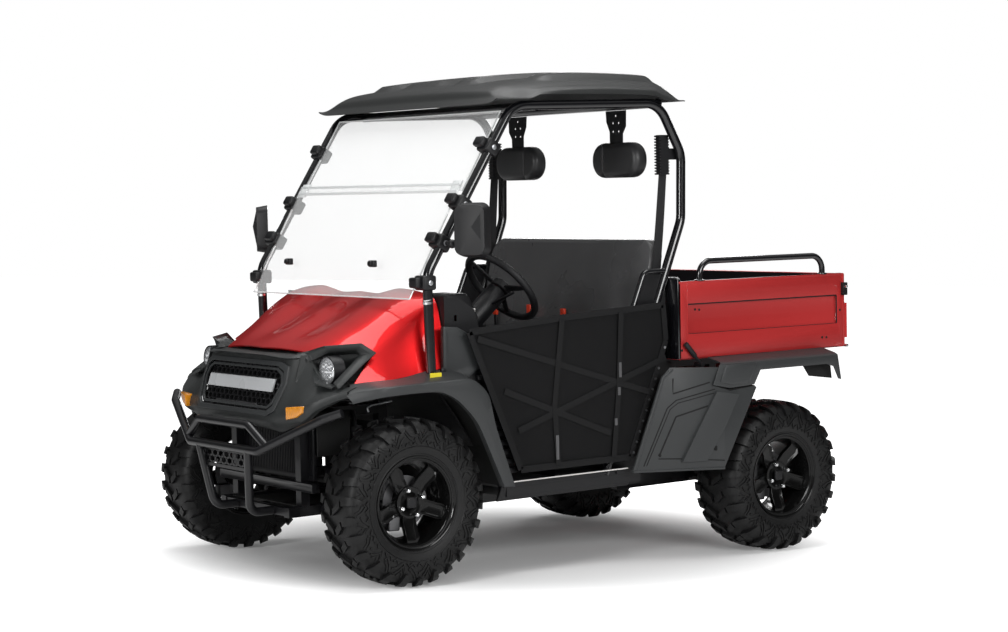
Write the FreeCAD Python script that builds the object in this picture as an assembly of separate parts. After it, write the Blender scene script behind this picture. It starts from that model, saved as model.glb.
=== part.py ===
import FreeCAD, Part

import math
import os

# Side by side utility vehicle with a bench seat, a roll cage and a tipping cargo bed.
# Millimetres. X points forward, Y to the vehicle's left, Z up. The origin is on the
# ground, midway between the axles. The bodywork is drawn level and then raked, because
# the vehicle stands with its nose a little lower than its tail. Wheels stay level.

V = FreeCAD.Vector

# Stance and running gear. The bodywork is drawn over axles at axle_z and then lifted to
# the axles' height on the tyres in use.
wheelbase = 1853.0
front_track = 1235.0
rear_track = 1254.0
rake_degrees = 2.18
overrun = 20.0
seat_gap = 0.3
axle_z = 315.0
joint_gap = 0.5

# How finely round bars are drawn
tube_sides = 8
hub_sides = 14
tube_step_degrees = 30.0

# Tyres and rims
tyre_radius = 315.0
front_tyre_width = 205.0
rear_tyre_width = 250.0
rim_radius = 174.0
rim_seat_radius = 160.0
rim_well_radius = 144.0
rim_wall = 5.0
rim_flange_width = 12.0
rim_width_share = 0.9
rim_face_thickness = 10.0
rim_face_inset = 48.0
rim_hub_radius = 62.0
rim_spokes = 5
rim_spoke_width = 44.0
rim_spoke_tip_width = 34.0
lug_height = 14.0
tyre_flats = 26
hub_radius = 44.0
hub_length = 60.0
cap_radius = 28.0
cap_height = 10.0

# Tyre section between the beads, as shares of its width and of the tread base's height
# above the rim seat, and the bands of it that carry lugs, counted from the right bead
tyre_section_shares = [(-0.47, 0.24), (-0.5, 0.55), (-0.47, 0.85), (-0.36, 0.98), (-0.09, 1.0),
                       (0.09, 1.0), (0.36, 0.98), (0.47, 0.85), (0.5, 0.55), (0.47, 0.24)]
inner_lug_bands = (4, 5)
outer_lug_bands = (7, 8)

# Steering
steer_arm = 118.0
steer_arm_inset = 30.0
steer_arm_width = 24.0
steer_arm_thickness = 12.0
kingpin_inset = 102.0
kingpin_radius = 20.0
kingpin_half_height = 70.0
spindle_radius = 24.0
tie_rod_radius = 9.0
tie_rod_eye_radius = 15.0
tie_rod_eye_thickness = 16.0
tie_rod_drop = 5.0
rack_radius = 17.0
rack_foot = 30.0
steer_wheel_radius = 165.0
steer_wheel_grip = 13.0
steer_wheel_x = 232.0
steer_wheel_y = 330.0
steer_wheel_z = 1080.0
steer_wheel_tilt_degrees = 40.0
steer_wheel_flats = 20
steer_hub_radius = 42.0
steer_hub_depth = 34.0
steer_spoke_width = 32.0
steer_spoke_thickness = 9.0
column_radius = 30.0
column_length = 250.0

# Chassis tubes
frame_tube = 38.0
cross_tube = 30.0
frame_bottom_z = 240.0
rail_y = 240.0
rail_front_x = 1205.0
rail_rear_x = -1215.0
outer_rail_y = 430.0
outer_rail_front_x = 434.0
outer_rail_rear_x = -711.0
sill_inset = 25.0
sill_front_x = 430.0
sill_rear_x = -250.0
front_post_x = 1130.0
cowl_post_x = 770.0
cowl_bar_z = 728.0
cowl_bar_height = 26.0
front_deck_z = 610.0
bed_rail_z = 690.0
mid_post_x = -430.0
rear_post_x = -1180.0
rear_rail_z = 190.0
front_arm_rail_z = 384.0
rear_arm_rail_z = 340.0

# Front guard made of bent tube
guard_tube_radius = 17.0
guard_bar_x = 1335.0
guard_bar_z = 506.0
guard_bar_y = 257.0
guard_loop_x = 1330.0
guard_loop_z = 600.0
guard_loop_y = 187.0
guard_wing_x = 1235.0
guard_wing_y = 560.0
guard_wing_z = 640.0
guard_tip_x = 1190.0
guard_tip_y = 625.0
guard_tip_z = 664.0
guard_bend = 45.0
guard_leg_y = 187.0
guard_foot_y = 135.0
guard_foot_x = 1302.0
guard_plate_height = 62.0
guard_plate_thickness = 4.0
guard_plate_hole = 24.0
guard_plate_columns = 6

# Front bodywork
panel_wall = 4.0
hood_front_x = 1206.0
hood_rear_x = 690.0
hood_half_width = 585.4
hood_rib = 26.0
hood_rib_y = 400.0
hood_height = 350.0
hood_base_z = 742.0
hood_front_corner_x = 1120.0
hood_front_corner_y = 321.0
lamp_notch_rear_x = 965.0
lamp_notch_rear_z = 871.0
lamp_notch_low_x = 1139.0
lamp_notch_low_z = 742.0
fascia_front_x = 1290.0
fascia_depth = 325.0
fascia_base_z = 585.0
fascia_height = 305.0
fascia_half_width = 560.0
fascia_tab = 24.0
grille_half_width = 250.0
grille_top_z = 836.0
grille_low_z = 652.0
grille_chamfer = 45.0
grille_slat = 8.0
grille_slats = 6
grille_thickness = 8.0
grille_frame = 14.0
headlamp_x = 1140.0
headlamp_y = 440.0
headlamp_z = 812.0
headlamp_radius = 52.0
headlamp_depth = 46.0
headlamp_cup_depth = 90.0
turn_lamp_x = 1262.0
turn_lamp_y = 411.0
turn_lamp_z = 657.0
turn_lamp_width = 92.0
turn_lamp_height = 38.0
turn_lamp_depth = 24.0

# Front wheel arch
arch_radius = 428.0
front_fender_outer_y = 700.0
front_fender_inner_y = 586.0
front_liner_y = 400.0

# Cab floor, seat and dash
floor_inset = 6.0
floor_wall = 5.0
floor_rear_x = -245.0
toe_inset = 28.0
foot_notch = 48.0
sill_strip = 16.0
dash_front_x = 684.0
dash_depth = 170.0
dash_base_z = 790.0
dash_height = 275.0
dash_inset = 42.0
dash_shelf = 26.0
seat_inset = 81.0
seat_base_front_x = 130.0
seat_base_rear_x = -330.0
seat_base_top_z = 742.0
seat_base_wall = 6.0
cushion_front_x = 175.0
cushion_rear_x = -368.0
cushion_height = 112.0
back_thickness = 68.0
back_low_x = -300.0
back_top_x = -385.0
back_top_z = 1252.0
back_corner = 90.0
headrest_x = -428.0
headrest_y = 336.0
headrest_z = 1582.0
headrest_width = 310.0
headrest_height = 150.0
headrest_thickness = 78.0
headrest_bracket_width = 84.0
headrest_bracket_wall = 4.0
headrest_bracket_inset = 52.0
pedal_x = 505.0
pedal_lean = 95.0
pedal_y = 385.0
pedal_z = 470.0
pedal_width = 60.0
pedal_height = 84.0
pedal_thickness = 9.0
pedal_spacing = 110.0

# Roll cage
cage_tube_radius = 19.0
cage_y = 608.0
cage_bend = 120.0
pillar_foot_x = 778.0
pillar_knee_x = 788.0
pillar_knee_z = 1158.0
pillar_top_x = 375.0
pillar_top_z = 1790.0
rear_pillar_top_x = -373.0
rear_pillar_top_z = 1806.0
rear_pillar_shoulder_x = -490.0
rear_pillar_shoulder_z = 1600.0
rear_pillar_waist_x = -484.0
rear_pillar_waist_z = 1330.0
rear_pillar_foot_x = -73.0
hip_guard_radius = 12.0
hip_guard_top_x = -268.0
hip_guard_top_z = 1168.0
hip_guard_low_x = -205.0
hip_guard_low_z = 960.0
hip_guard_foot_z = 740.0

# Roof
roof_front_x = 468.0
roof_rear_x = -495.0
roof_half_width = 650.0
roof_rim_z = 1798.0
roof_rise = 140.0
roof_rib = 22.0
roof_rib_half_length = 470.0

# Windscreen
screen_thickness = 5.0
screen_inset = 35.0
screen_offset = 12.0
screen_low_x = 838.0
screen_split_z = 1478.0
screen_top_z = 1770.0
screen_low_z = 1064.0
screen_overlap = 12.0
clamp_length = 56.0
clamp_depth = 52.0
clamp_bite = 14.0
clamp_wall = 7.0
clamp_gap = 0.3
clamp_heights = [1630.0, 1416.0, 1271.0, 1124.0]

# Mirrors
mirror_x = 685.0
mirror_arm_reach = 37.0
mirror_width = 198.0
mirror_low_z = 1226.0
mirror_high_z = 1432.0
mirror_depth = 46.0
mirror_arm_radius = 9.0
mirror_toe_degrees = 30.0

# Door nets
net_thickness = 4.0

# Rear side panels and flares
side_front_y = 665.0
side_rear_y = 765.0
flare_outer_y = 765.0
flare_inner_y = 676.3
flare_flange = 26.0
side_flange = 70.0

# Cargo bed
bed_front_x = -408.0
bed_rear_x = -1358.0
bed_half_width = 676.0
bed_floor_z = 762.0
bed_top_z = 1079.0
bed_wall = 22.0
bed_floor_wall = 4.0
bed_mat_height = 3.0
bed_recess = 6.0
bed_hinge_x = -1235.0
bed_hinge_z = 745.0
hinge_pin_radius = 10.0
tailgate_thickness = 26.0
tailgate_gap = 8.0
gate_pin_radius = 6.0
pin_clearance = 0.05
tailgate_hinge_rise = 14.0
bed_rail_radius = 12.5
bed_rail_top_z = 1160.0
bed_rail_front_x = -530.0
bed_rail_rear_x = -1236.0
bed_rail_bend = 60.0

# Power unit, exhaust and rear end
engine_length = 390.0
engine_width = 400.0
engine_height = 350.0
engine_front_x = -340.0
exhaust_radius = 62.0
exhaust_length = 330.0
arm_tube_radius = 13.0
arm_eye_radius = 17.0
arm_eye_length = 44.0
arm_spread = 110.0
arm_drop = 3.0
front_shock_share = 0.558
rear_shock_share = 0.66
rear_shock_top_z = 573.0
rear_shock_inset = 40.0
shock_radius = 26.0
shock_rod_radius = 9.0
axle_shaft_radius = 14.0
diff_half_width = 95.0
diff_radius = 85.0
receiver_outer = 63.5
receiver_wall = 6.35
receiver_length = 205.0
receiver_rear_x = -1362.0
receiver_pin_radius = 8.0
receiver_pin_inset = 50.0
tail_lamp_height = 150.0
tail_lamp_depth = 16.0

# Seat belts
belt_width = 46.0
belt_thickness = 3.0
belt_boot_x = -420.0
belt_boot_inset = 34.0
belt_boot_top_z = 1678.0
belt_boot_low_z = 1515.0
belt_side_inset = 67.0
belt_turn_x = -377.0
belt_turn_z = 1158.0
belt_end_z = 800.0

front_axle_x = wheelbase / 2
rear_axle_x = -wheelbase / 2
sill_tube_y = cage_y - sill_inset
floor_half_width = cage_y - floor_inset
toe_half_width = cage_y - toe_inset
dash_half_width = cage_y - dash_inset
seat_half_width = cage_y - seat_inset
screen_half_width = cage_y - screen_inset
mirror_inner_y = cage_y + mirror_arm_reach
mirror_outer_y = mirror_inner_y + mirror_width
belt_boot_y = cage_y - belt_boot_inset
belt_side_y = cage_y - belt_side_inset
pi_degrees = 180.0


def box(x0, x1, y0, y1, z0, z1):
    """An upright block between two corners."""
    return Part.makeBox(x1 - x0, y1 - y0, z1 - z0, V(x0, y0, z0))


def plate_y(points, y0, y1):
    """A plate with its outline in X and Z, from y0 to y1."""
    corners = [V(x, y0, z) for x, z in points]
    face = Part.Face(Part.makePolygon(corners + corners[:1]))
    return face.extrude(V(0, y1 - y0, 0))


def plate_x(points, x0, x1):
    """A plate with its outline in Y and Z, from x0 to x1."""
    corners = [V(x0, y, z) for y, z in points]
    face = Part.Face(Part.makePolygon(corners + corners[:1]))
    return face.extrude(V(x1 - x0, 0, 0))


def plate_z(points, z0, z1):
    """A plate with its outline in X and Y, from z0 to z1."""
    corners = [V(x, y, z0) for x, y in points]
    face = Part.Face(Part.makePolygon(corners + corners[:1]))
    return face.extrude(V(0, 0, z1 - z0))


def mirrored(shape):
    """The same piece on the other side of the vehicle."""
    return shape.mirror(V(0, 0, 0), V(0, 1, 0))


def both(shape):
    """A left-hand piece and its mirror image, as one compound."""
    return Part.makeCompound([shape, mirrored(shape)])


def flip(points):
    """A list of points on the other side of the vehicle."""
    return [V(p.x, -p.y, p.z) for p in points]


def rod(start, end, radius, sides=tube_sides):
    """A round bar between two points, as a prism."""
    return tube([start, end], radius, 0, sides)


def tube_stations(points, bend):
    """Centres and directions along straight runs joined by bends, with each step's turn."""
    into = (points[1] - points[0]).normalize()
    stations = [(points[0], into, None)]
    for before, corner, after in zip(points, points[1:], points[2:]):
        into = (corner - before).normalize()
        out = (after - corner).normalize()
        turn = into.getAngle(out)
        axis = into.cross(out).normalize()
        first = corner - into * bend * math.tan(turn / 2)
        middle = corner + (out - into).normalize() * (bend / math.cos(turn / 2))
        steps = math.ceil(math.degrees(turn) / tube_step_degrees)
        step = FreeCAD.Rotation(axis, math.degrees(turn) / steps)
        stations.append((first, into, None))
        for _ in range(steps):
            centre, direction = stations[-1][:2]
            stations.append((middle + step.multVec(centre - middle), step.multVec(direction), step))
    stations.append((points[-1], stations[-1][1], None))
    return stations


def tube(points, radius, bend, sides=tube_sides):
    """A bar along straight runs joined by bends, its skin made of strips that lie round it."""
    rings = []
    reach = radius / math.cos(math.pi / sides)
    direction = (points[1] - points[0]).normalize()
    across = direction.cross(V(0, 0, 1) if abs(direction.z) < 1 / 2 else V(0, 1, 0)).normalize()
    for centre, direction, step in tube_stations(points, bend):
        if step:
            across = step.multVec(across)
        beside = direction.cross(across)
        angles = [2 * math.pi * (i + 1 / 2) / sides for i in range(sides)]
        rings.append([centre + across * (reach * math.cos(a)) + beside * (reach * math.sin(a))
                      for a in angles])
    faces = [Part.Face(Part.makePolygon(ring + ring[:1])) for ring in (rings[0], rings[-1])]
    for ring, after in zip(rings, rings[1:]):
        for i in range(sides):
            j = (i + 1) % sides
            faces += facet([ring[i], ring[j], after[j], after[i]])
    return solid_of(faces)


def fused(shapes):
    """Welded pieces as one solid."""
    whole = shapes[0].multiFuse(shapes[1:])
    whole = whole.removeSplitter()
    return whole


def facet(points):
    """One flat face, or two triangles where four points aren't in one plane."""
    a, b, c = points[:3]
    if len(points) == 3:
        return [Part.Face(Part.makePolygon([a, b, c, a]))]
    d = points[3]
    normal = (b - a).cross(c - a)
    if abs(normal.normalize().dot(d - a)) < seat_gap / 1000:
        return [Part.Face(Part.makePolygon([a, b, c, d, a]))]
    if (c - a).Length < (d - b).Length:
        return facet([a, b, c]) + facet([a, c, d])
    return facet([a, b, d]) + facet([b, c, d])


def solid_of(faces):
    """A solid closed by its flat faces."""
    shell = Part.Shell(faces)
    shell.sewShape()
    solid = Part.Solid(shell)
    if solid.Volume < 0:
        solid.reverse()
    return solid


def panel(outer, inner):
    """A thin moulded panel between two grids of points, its outside and its inside."""
    rows = len(outer) - 1
    columns = len(outer[0]) - 1
    faces = []
    for i in range(rows):
        for j in range(columns):
            for grid in (outer, inner):
                faces += facet([grid[i][j], grid[i + 1][j], grid[i + 1][j + 1], grid[i][j + 1]])
    for i in range(rows):
        for j in (0, columns):
            faces += facet([outer[i][j], outer[i + 1][j], inner[i + 1][j], inner[i][j]])
    for j in range(columns):
        for i in (0, rows):
            faces += facet([outer[i][j], outer[i][j + 1], inner[i][j + 1], inner[i][j]])
    return solid_of(faces)


def space_over(grid, offset):
    """The space from a panel's outside outwards, to trim what stands behind or on it."""
    return panel(grid, [[p + offset for p in row] for row in grid])


def raked(shape):
    """A level body piece as it stands on the raked vehicle."""
    turned = shape.copy()
    turned.translate(V(0, 0, tyre_radius - axle_z))
    turned.rotate(V(front_axle_x, 0, tyre_radius), V(0, 1, 0), rake_degrees)
    return turned


def ring_point(radius, y, step, flats):
    """A point of a ring about the Y axis, with a flat centred at the bottom."""
    angle = 2 * math.pi * (step - 1 / 2) / flats - math.pi / 2
    return V(radius * math.cos(angle), y, radius * math.sin(angle))


def faceted_ring(section, flats):
    """A ring about the Y axis with flat facets, from (radius, y) points."""
    faces = []
    pairs = list(zip(section, section[1:] + section[:1]))
    for step in range(flats):
        for (r0, y0), (r1, y1) in pairs:
            corners = [ring_point(r0, y0, step, flats), ring_point(r1, y1, step, flats),
                       ring_point(r1, y1, step + 1, flats), ring_point(r0, y0, step + 1, flats)]
            faces += facet(corners)
    return solid_of(faces)


def tyre(width):
    """A tyre about the Y axis whose raised lugs alternate from side to side."""
    rise = 1 / math.cos(math.pi / tyre_flats)
    bore = (rim_seat_radius + seat_gap) * rise
    bead = width * rim_width_share / 2 - rim_flange_width - seat_gap
    edge = (rim_radius + seat_gap) * rise
    top = tyre_radius * rise
    span = top - lug_height - bore
    section = [(bore, -bead), (edge, -bead)]
    section += [(bore + up * span, across * width) for across, up in tyre_section_shares]
    section += [(edge, bead), (bore, bead)]
    raised = [(min(radius + lug_height, top), y) for radius, y in section]
    last = len(section) - 1

    def height(step, band):
        if step % 2 == 0:
            return band in inner_lug_bands
        return band in outer_lug_bands

    def corner(index, step, up):
        radius, y = raised[index] if up else section[index]
        return ring_point(radius, y, step, tyre_flats)

    faces = []
    for step in range(tyre_flats):
        for band in range(last):
            up = height(step, band)
            faces += facet([corner(band, step, up), corner(band + 1, step, up),
                            corner(band + 1, step + 1, up), corner(band, step + 1, up)])
            if up != height(step - 1, band):
                faces += facet([corner(band, step, False), corner(band + 1, step, False),
                                corner(band + 1, step, True), corner(band, step, True)])
            if band > 0 and up != height(step, band - 1):
                faces += facet([corner(band, step, False), corner(band, step + 1, False),
                                corner(band, step + 1, True), corner(band, step, True)])
        faces += facet([corner(last, step, False), corner(0, step, False),
                        corner(0, step + 1, False), corner(last, step + 1, False)])
    return solid_of(faces)


def rim(width):
    """A wheel about the Y axis, its spoked face towards +Y."""
    rise = 1 / math.cos(math.pi / tyre_flats)
    half = width * rim_width_share / 2
    seat = rim_seat_radius * rise
    flange = rim_radius * rise
    well = rim_well_radius * rise
    inner = well - rim_wall
    shoulder = half - rim_flange_width
    section = [(flange, -half), (flange, -shoulder), (seat, -shoulder), (well, 0), (seat, shoulder),
               (flange, shoulder), (flange, half), (seat - rim_wall, half), (inner, 0),
               (seat - rim_wall, -half)]
    barrel = faceted_ring(section, tyre_flats)
    face_y = half - rim_face_inset
    outer = inner + rim_wall / 2 + (seat - rim_wall - inner) * face_y / half
    face = V(0, face_y, 0)
    parts = [rod(face, face + V(0, rim_face_thickness, 0), rim_hub_radius, hub_sides),
             rod(face - V(0, hub_length, 0), face, hub_radius, hub_sides),
             rod(face, face + V(0, cap_height + rim_face_thickness, 0), cap_radius, hub_sides)]
    for index in range(rim_spokes):
        spoke = plate_y([(-rim_spoke_width / 2, 0), (rim_spoke_width / 2, 0),
                         (rim_spoke_tip_width / 2, outer), (-rim_spoke_tip_width / 2, outer)],
                        face_y, face_y + rim_face_thickness)
        spoke.rotate(V(0, 0, 0), V(0, 1, 0), 2 * pi_degrees * index / rim_spokes)
        parts.append(spoke)
    return fused([barrel] + parts)


def wheel_place(shape, x, y, side):
    """A wheel piece, drawn for the left side, at its axle end."""
    placed = shape.copy() if side > 0 else mirrored(shape)
    placed.translate(V(x, side * y, tyre_radius))
    return placed


def side_tube(x0, x1, y, z0, z1):
    """A pair of frame tubes, one on each side."""
    half = frame_tube / 2
    return [box(x0, x1, side * y - half, side * y + half, z0, z1) for side in (-1, 1)]


def cross_bar(x, y, z):
    """A frame tube from side to side, centred on the tubes that it meets."""
    half = cross_tube / 2
    return box(x - half, x + half, -y, y, z - half, z + half)


def main_frame():
    """The lower chassis of square tube: its rails, outriggers and sills."""
    t = frame_tube
    z0 = frame_bottom_z
    z1 = z0 + t
    half = t / 2
    y = rail_y
    parts = side_tube(mid_post_x + half + seat_gap, rail_front_x, y, z0, z1)
    parts.append(cross_bar(rail_front_x - half, y, z0 + half))
    parts += side_tube(outer_rail_rear_x, outer_rail_front_x, outer_rail_y, z0, z1)
    for x in (outer_rail_rear_x, outer_rail_front_x - t):
        parts.append(box(x, x + t, -outer_rail_y, outer_rail_y, z0, z1))
    for x in (sill_rear_x, sill_front_x - t):
        parts.append(box(x, x + t, -sill_tube_y, sill_tube_y, z1, z1 + t))
    parts += side_tube(sill_rear_x, sill_front_x, sill_tube_y, z1, z1 + t)
    return fused(parts)


def front_frame():
    """The front bay that stands on the lower rails, with the cowl bar across its rear."""
    t = frame_tube
    half = t / 2
    low = frame_bottom_z + t + seat_gap
    y = rail_y
    parts = side_tube(front_post_x - half, front_post_x + half, y, low, front_deck_z + t)
    parts += side_tube(cowl_post_x - half, cowl_post_x + half, y, low, cowl_bar_z)
    for z in (front_deck_z, front_arm_rail_z):
        parts += side_tube(cowl_post_x, front_post_x, y, z, z + t)
    for x in (front_post_x, cowl_post_x):
        parts.append(cross_bar(x, y, front_deck_z + half))
    parts.append(box(cowl_post_x - half, cowl_post_x + half, -cage_y - half, cage_y + half,
                     cowl_bar_z, cowl_bar_z + cowl_bar_height))
    return fused(parts)


def rear_frame():
    """The rear bay behind the cab: posts, suspension and bed rails, and the hinge ears."""
    t = frame_tube
    half = t / 2
    y = rail_y
    parts = []
    for x in (mid_post_x, rear_post_x):
        parts += side_tube(x - half, x + half, y, rear_rail_z, bed_rail_z + t)
        for z in (rear_rail_z, bed_rail_z):
            parts.append(cross_bar(x, y, z + half))
    for z in (rear_rail_z, rear_arm_rail_z, bed_rail_z):
        parts += side_tube(rail_rear_x, mid_post_x, y, z, z + t)
    shock_x = rear_axle_x - rear_shock_inset
    parts += side_tube(shock_x - half, shock_x + half, y, rear_arm_rail_z, bed_rail_z + half)
    ear_wall = half / 3
    reach = half / 2 + joint_gap + ear_wall
    for side in (-1, 1):
        for step in (-1, 1):
            at = side * y + step * (reach - ear_wall / 2)
            parts.append(box(bed_hinge_x, rail_rear_x + overrun, at - ear_wall / 2,
                             at + ear_wall / 2, bed_rail_z, bed_hinge_z))
            parts.append(Part.makeCylinder(hinge_pin_radius + ear_wall / 2, ear_wall,
                                           V(bed_hinge_x, at - ear_wall / 2, bed_hinge_z),
                                           V(0, 1, 0)))
        parts.append(Part.makeCylinder(hinge_pin_radius, reach * 2,
                                       V(bed_hinge_x, side * y - reach, bed_hinge_z), V(0, 1, 0)))
    return fused(parts)


def front_guard():
    """The bent tube guard in front of the fascia, with its perforated plate."""
    r = guard_tube_radius
    low = [V(guard_tip_x, -guard_tip_y, guard_tip_z), V(guard_wing_x, -guard_wing_y, guard_wing_z),
           V(guard_bar_x, -guard_bar_y, guard_bar_z)]
    lower = tube(low + list(reversed(flip(low))), r, guard_bend)
    foot = V(guard_bar_x - r, guard_bar_y + (guard_loop_z - guard_bar_z) / 2, guard_bar_z + r)
    top = V(guard_loop_x, guard_loop_y, guard_loop_z)
    loop = tube([foot, top] + flip([top, foot]), r, guard_bend)
    foot_z = frame_bottom_z + frame_tube / 2
    leg = tube([V(guard_bar_x, guard_leg_y, guard_bar_z), V(guard_foot_x, guard_foot_y, foot_z),
                V(rail_front_x - (frame_tube - cross_tube) / 2 + seat_gap, guard_foot_y, foot_z)],
               r, guard_bend)
    plate = box(guard_bar_x - r, guard_bar_x - r + guard_plate_thickness, -guard_leg_y, guard_leg_y,
                guard_bar_z - guard_plate_height, guard_bar_z)
    pitch = guard_leg_y * 2 / guard_plate_columns
    holes = [Part.makeCylinder(guard_plate_hole / 2, overrun * 2,
                               V(guard_bar_x - r - overrun, (i + 1 / 2) * pitch - guard_leg_y,
                                 guard_bar_z - guard_plate_height / 2), V(1, 0, 0))
             for i in range(1, guard_plate_columns - 1)]
    return fused([lower, loop, plate.cut(Part.makeCompound(holes)), leg, mirrored(leg)])


# Half outlines of the hood across the vehicle, from the middle out, at stations from
# the front edge to the rear edge, as shares of its half width and of its height
hood_stations_shares = [0.0, 0.205, 0.455, 0.705, 1.0]
hood_across_shares = [
    [(0.0, 0.33), (0.17, 0.33), (0.34, 0.315), (0.52, 0.275), (0.72, 0.165), (0.93, 0.0)],
    [(0.0, 0.49), (0.21, 0.475), (0.40, 0.465), (0.59, 0.41), (0.81, 0.265), (0.965, 0.03)],
    [(0.0, 0.66), (0.22, 0.625), (0.45, 0.645), (0.655, 0.58), (0.855, 0.38), (0.99, 0.065)],
    [(0.0, 0.84), (0.22, 0.81), (0.48, 0.865), (0.72, 0.81), (0.89, 0.58), (1.0, 0.105)],
    [(0.0, 0.95), (0.22, 0.935), (0.47, 1.0), (0.74, 0.965), (0.90, 0.85), (1.0, 0.16)]]


def hood():
    """The moulded hood: a shell with two ridges, cut away round the headlamps."""
    outer = []
    length = hood_front_x - hood_rear_x
    for along, across in zip(hood_stations_shares, hood_across_shares):
        x = hood_front_x - along * length
        half = [V(x, y * hood_half_width, hood_base_z + z * hood_height) for y, z in across]
        outer.append(list(reversed(flip(half[1:]))) + half)
    shell = panel(outer, hollowed(outer))
    rib = box(cowl_post_x - hood_rib / 2, cowl_post_x + hood_rib / 2, hood_rib_y - hood_rib / 2,
              hood_rib_y + hood_rib / 2, cowl_bar_z + cowl_bar_height + seat_gap,
              hood_base_z + hood_height * 2)
    rib = rib.cut(space_over(outer, V(0, 0, hood_height * 2)))
    shell = fused([shell, rib, mirrored(rib)])
    notch = plate_y([(hood_front_x + overrun, lamp_notch_rear_z),
                     (lamp_notch_rear_x, lamp_notch_rear_z),
                     (lamp_notch_low_x, lamp_notch_low_z - overrun),
                     (hood_front_x + overrun, lamp_notch_low_z - overrun)],
                    hood_front_corner_y, hood_half_width + overrun)
    front = plate_z([(hood_front_corner_x, hood_front_corner_y), (hood_front_x, 0),
                     (hood_front_corner_x, -hood_front_corner_y),
                     (hood_front_corner_x - overrun, -hood_half_width - overrun),
                     (hood_front_x + overrun, -hood_half_width - overrun),
                     (hood_front_x + overrun, hood_half_width + overrun),
                     (hood_front_corner_x - overrun, hood_half_width + overrun)],
                    hood_base_z - overrun, hood_base_z + hood_height + overrun)
    return shell.cut(notch).cut(mirrored(notch)).cut(front)


def hollowed(grid):
    """The inside of a panel that is open below: its points moved in and down by the wall."""
    inner = []
    for row in grid:
        line = [V(p.x, p.y, p.z - panel_wall) for p in row]
        for end, sign in ((0, 1), (-1, -1)):
            line[end] = V(row[end].x, row[end].y + sign * panel_wall, row[end].z)
        inner.append(line)
    return inner


# The fascia's outline seen from the side, at stations across its half width
fascia_across_shares = [0.0, 0.48, 0.76, 1.0]
fascia_profile_shares = [
    [(0.46, 0.91), (0.24, 0.87), (0.0, 0.18), (0.10, 0.0)],
    [(0.56, 0.91), (0.27, 0.86), (0.02, 0.18), (0.12, 0.0)],
    [(0.70, 0.93), (0.36, 0.89), (0.085, 0.20), (0.17, 0.07)],
    [(0.98, 0.90), (0.60, 0.83), (0.235, 0.44), (0.265, 0.33)]]


def fascia_grid():
    """The points of the fascia's outside."""
    grid = []
    for across, profile in zip(fascia_across_shares, fascia_profile_shares):
        y = across * fascia_half_width
        grid.append([V(fascia_front_x - d * fascia_depth, y, fascia_base_z + h * fascia_height)
                     for d, h in profile])
    return [flip(row) for row in reversed(grid[1:])] + grid


def fascia():
    """The front panel round the grille and lamps, with its lamp cups and frame tabs."""
    outer = fascia_grid()
    inner = [[V(p.x - panel_wall * 2, p.y, p.z - panel_wall / 2) for p in row] for row in outer]
    ahead = space_over(outer, V(fascia_depth, 0, 0))
    radius = headlamp_radius + clamp_gap
    back = headlamp_x - headlamp_depth / 2
    cup = Part.makeCylinder(radius + panel_wall, headlamp_cup_depth,
                            V(back, headlamp_y, headlamp_z), V(1, 0, 0))
    tab = box(front_post_x + frame_tube / 2 + seat_gap, fascia_front_x, rail_y - fascia_tab / 2,
              rail_y + fascia_tab / 2, front_deck_z, front_deck_z + fascia_tab)
    extra = cup.cut(ahead)
    tab = tab.cut(ahead)
    shell = fused([panel(outer, inner), extra, mirrored(extra), tab, mirrored(tab)])
    opening = plate_x(grille_outline(0), fascia_front_x - fascia_depth / 2, fascia_front_x + overrun)
    lamp = Part.makeCylinder(radius, fascia_depth, V(back - overrun, headlamp_y, headlamp_z),
                             V(1, 0, 0))
    shell = shell.cut(opening).cut(lamp).cut(mirrored(lamp))
    return max(shell.Solids, key=lambda solid: solid.Volume)


def grille_outline(inset):
    """The grille's outline in Y and Z: a rectangle with its corners cut off."""
    w = grille_half_width - inset
    top = grille_top_z - inset
    low = grille_low_z + inset
    c = grille_chamfer
    return [(w - c / 2, top), (w, top - c / 2), (w, low + c), (w - c, low), (c - w, low),
            (-w, low + c), (-w, top - c / 2), (c / 2 - w, top)]


def grille_slope():
    """How far the grille leans back for each millimetre that it rises."""
    return (fascia_profile_shares[0][1][0] * fascia_depth
            / ((fascia_profile_shares[0][1][1] - fascia_profile_shares[0][2][1]) * fascia_height))


def grille():
    """The grille: a frame with level slats and a blank bar, leaning as the fascia does."""
    front = fascia_front_x - panel_wall
    back = front - grille_thickness
    inner = plate_x(grille_outline(grille_frame), back - overrun, front + overrun)
    whole = plate_x(grille_outline(clamp_gap), back, front)
    pitch = (grille_top_z - grille_low_z) / grille_slats
    parts = [whole.cut(inner)]
    for index in range(1, grille_slats):
        z = grille_low_z + index * pitch
        tall = grille_slat * (3 if index == grille_slats // 2 else 1)
        parts.append(box(back, front, -grille_half_width, grille_half_width, z - tall / 2,
                         z + tall / 2).common(whole))
    matrix = FreeCAD.Matrix()
    matrix.A13 = -grille_slope()
    matrix.A14 = grille_slope() * (fascia_base_z + fascia_profile_shares[0][2][1] * fascia_height)
    return fused(parts).transformGeometry(matrix)


def headlamp():
    """One round headlamp lens and bowl."""
    return Part.makeCylinder(headlamp_radius, headlamp_depth,
                             V(headlamp_x - headlamp_depth / 2, headlamp_y, headlamp_z), V(1, 0, 0))


def turn_lamp():
    """One amber lamp below the headlamp, whose back follows the fascia."""
    block = box(turn_lamp_x - turn_lamp_depth * 2, turn_lamp_x + turn_lamp_depth,
                turn_lamp_y - turn_lamp_width / 2, turn_lamp_y + turn_lamp_width / 2,
                turn_lamp_z - turn_lamp_height / 2, turn_lamp_z + turn_lamp_height / 2)
    grid = [[p + V(seat_gap, 0, 0) for p in row] for row in fascia_grid()]
    return block.common(space_over(grid, V(fascia_depth, 0, 0)))


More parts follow.
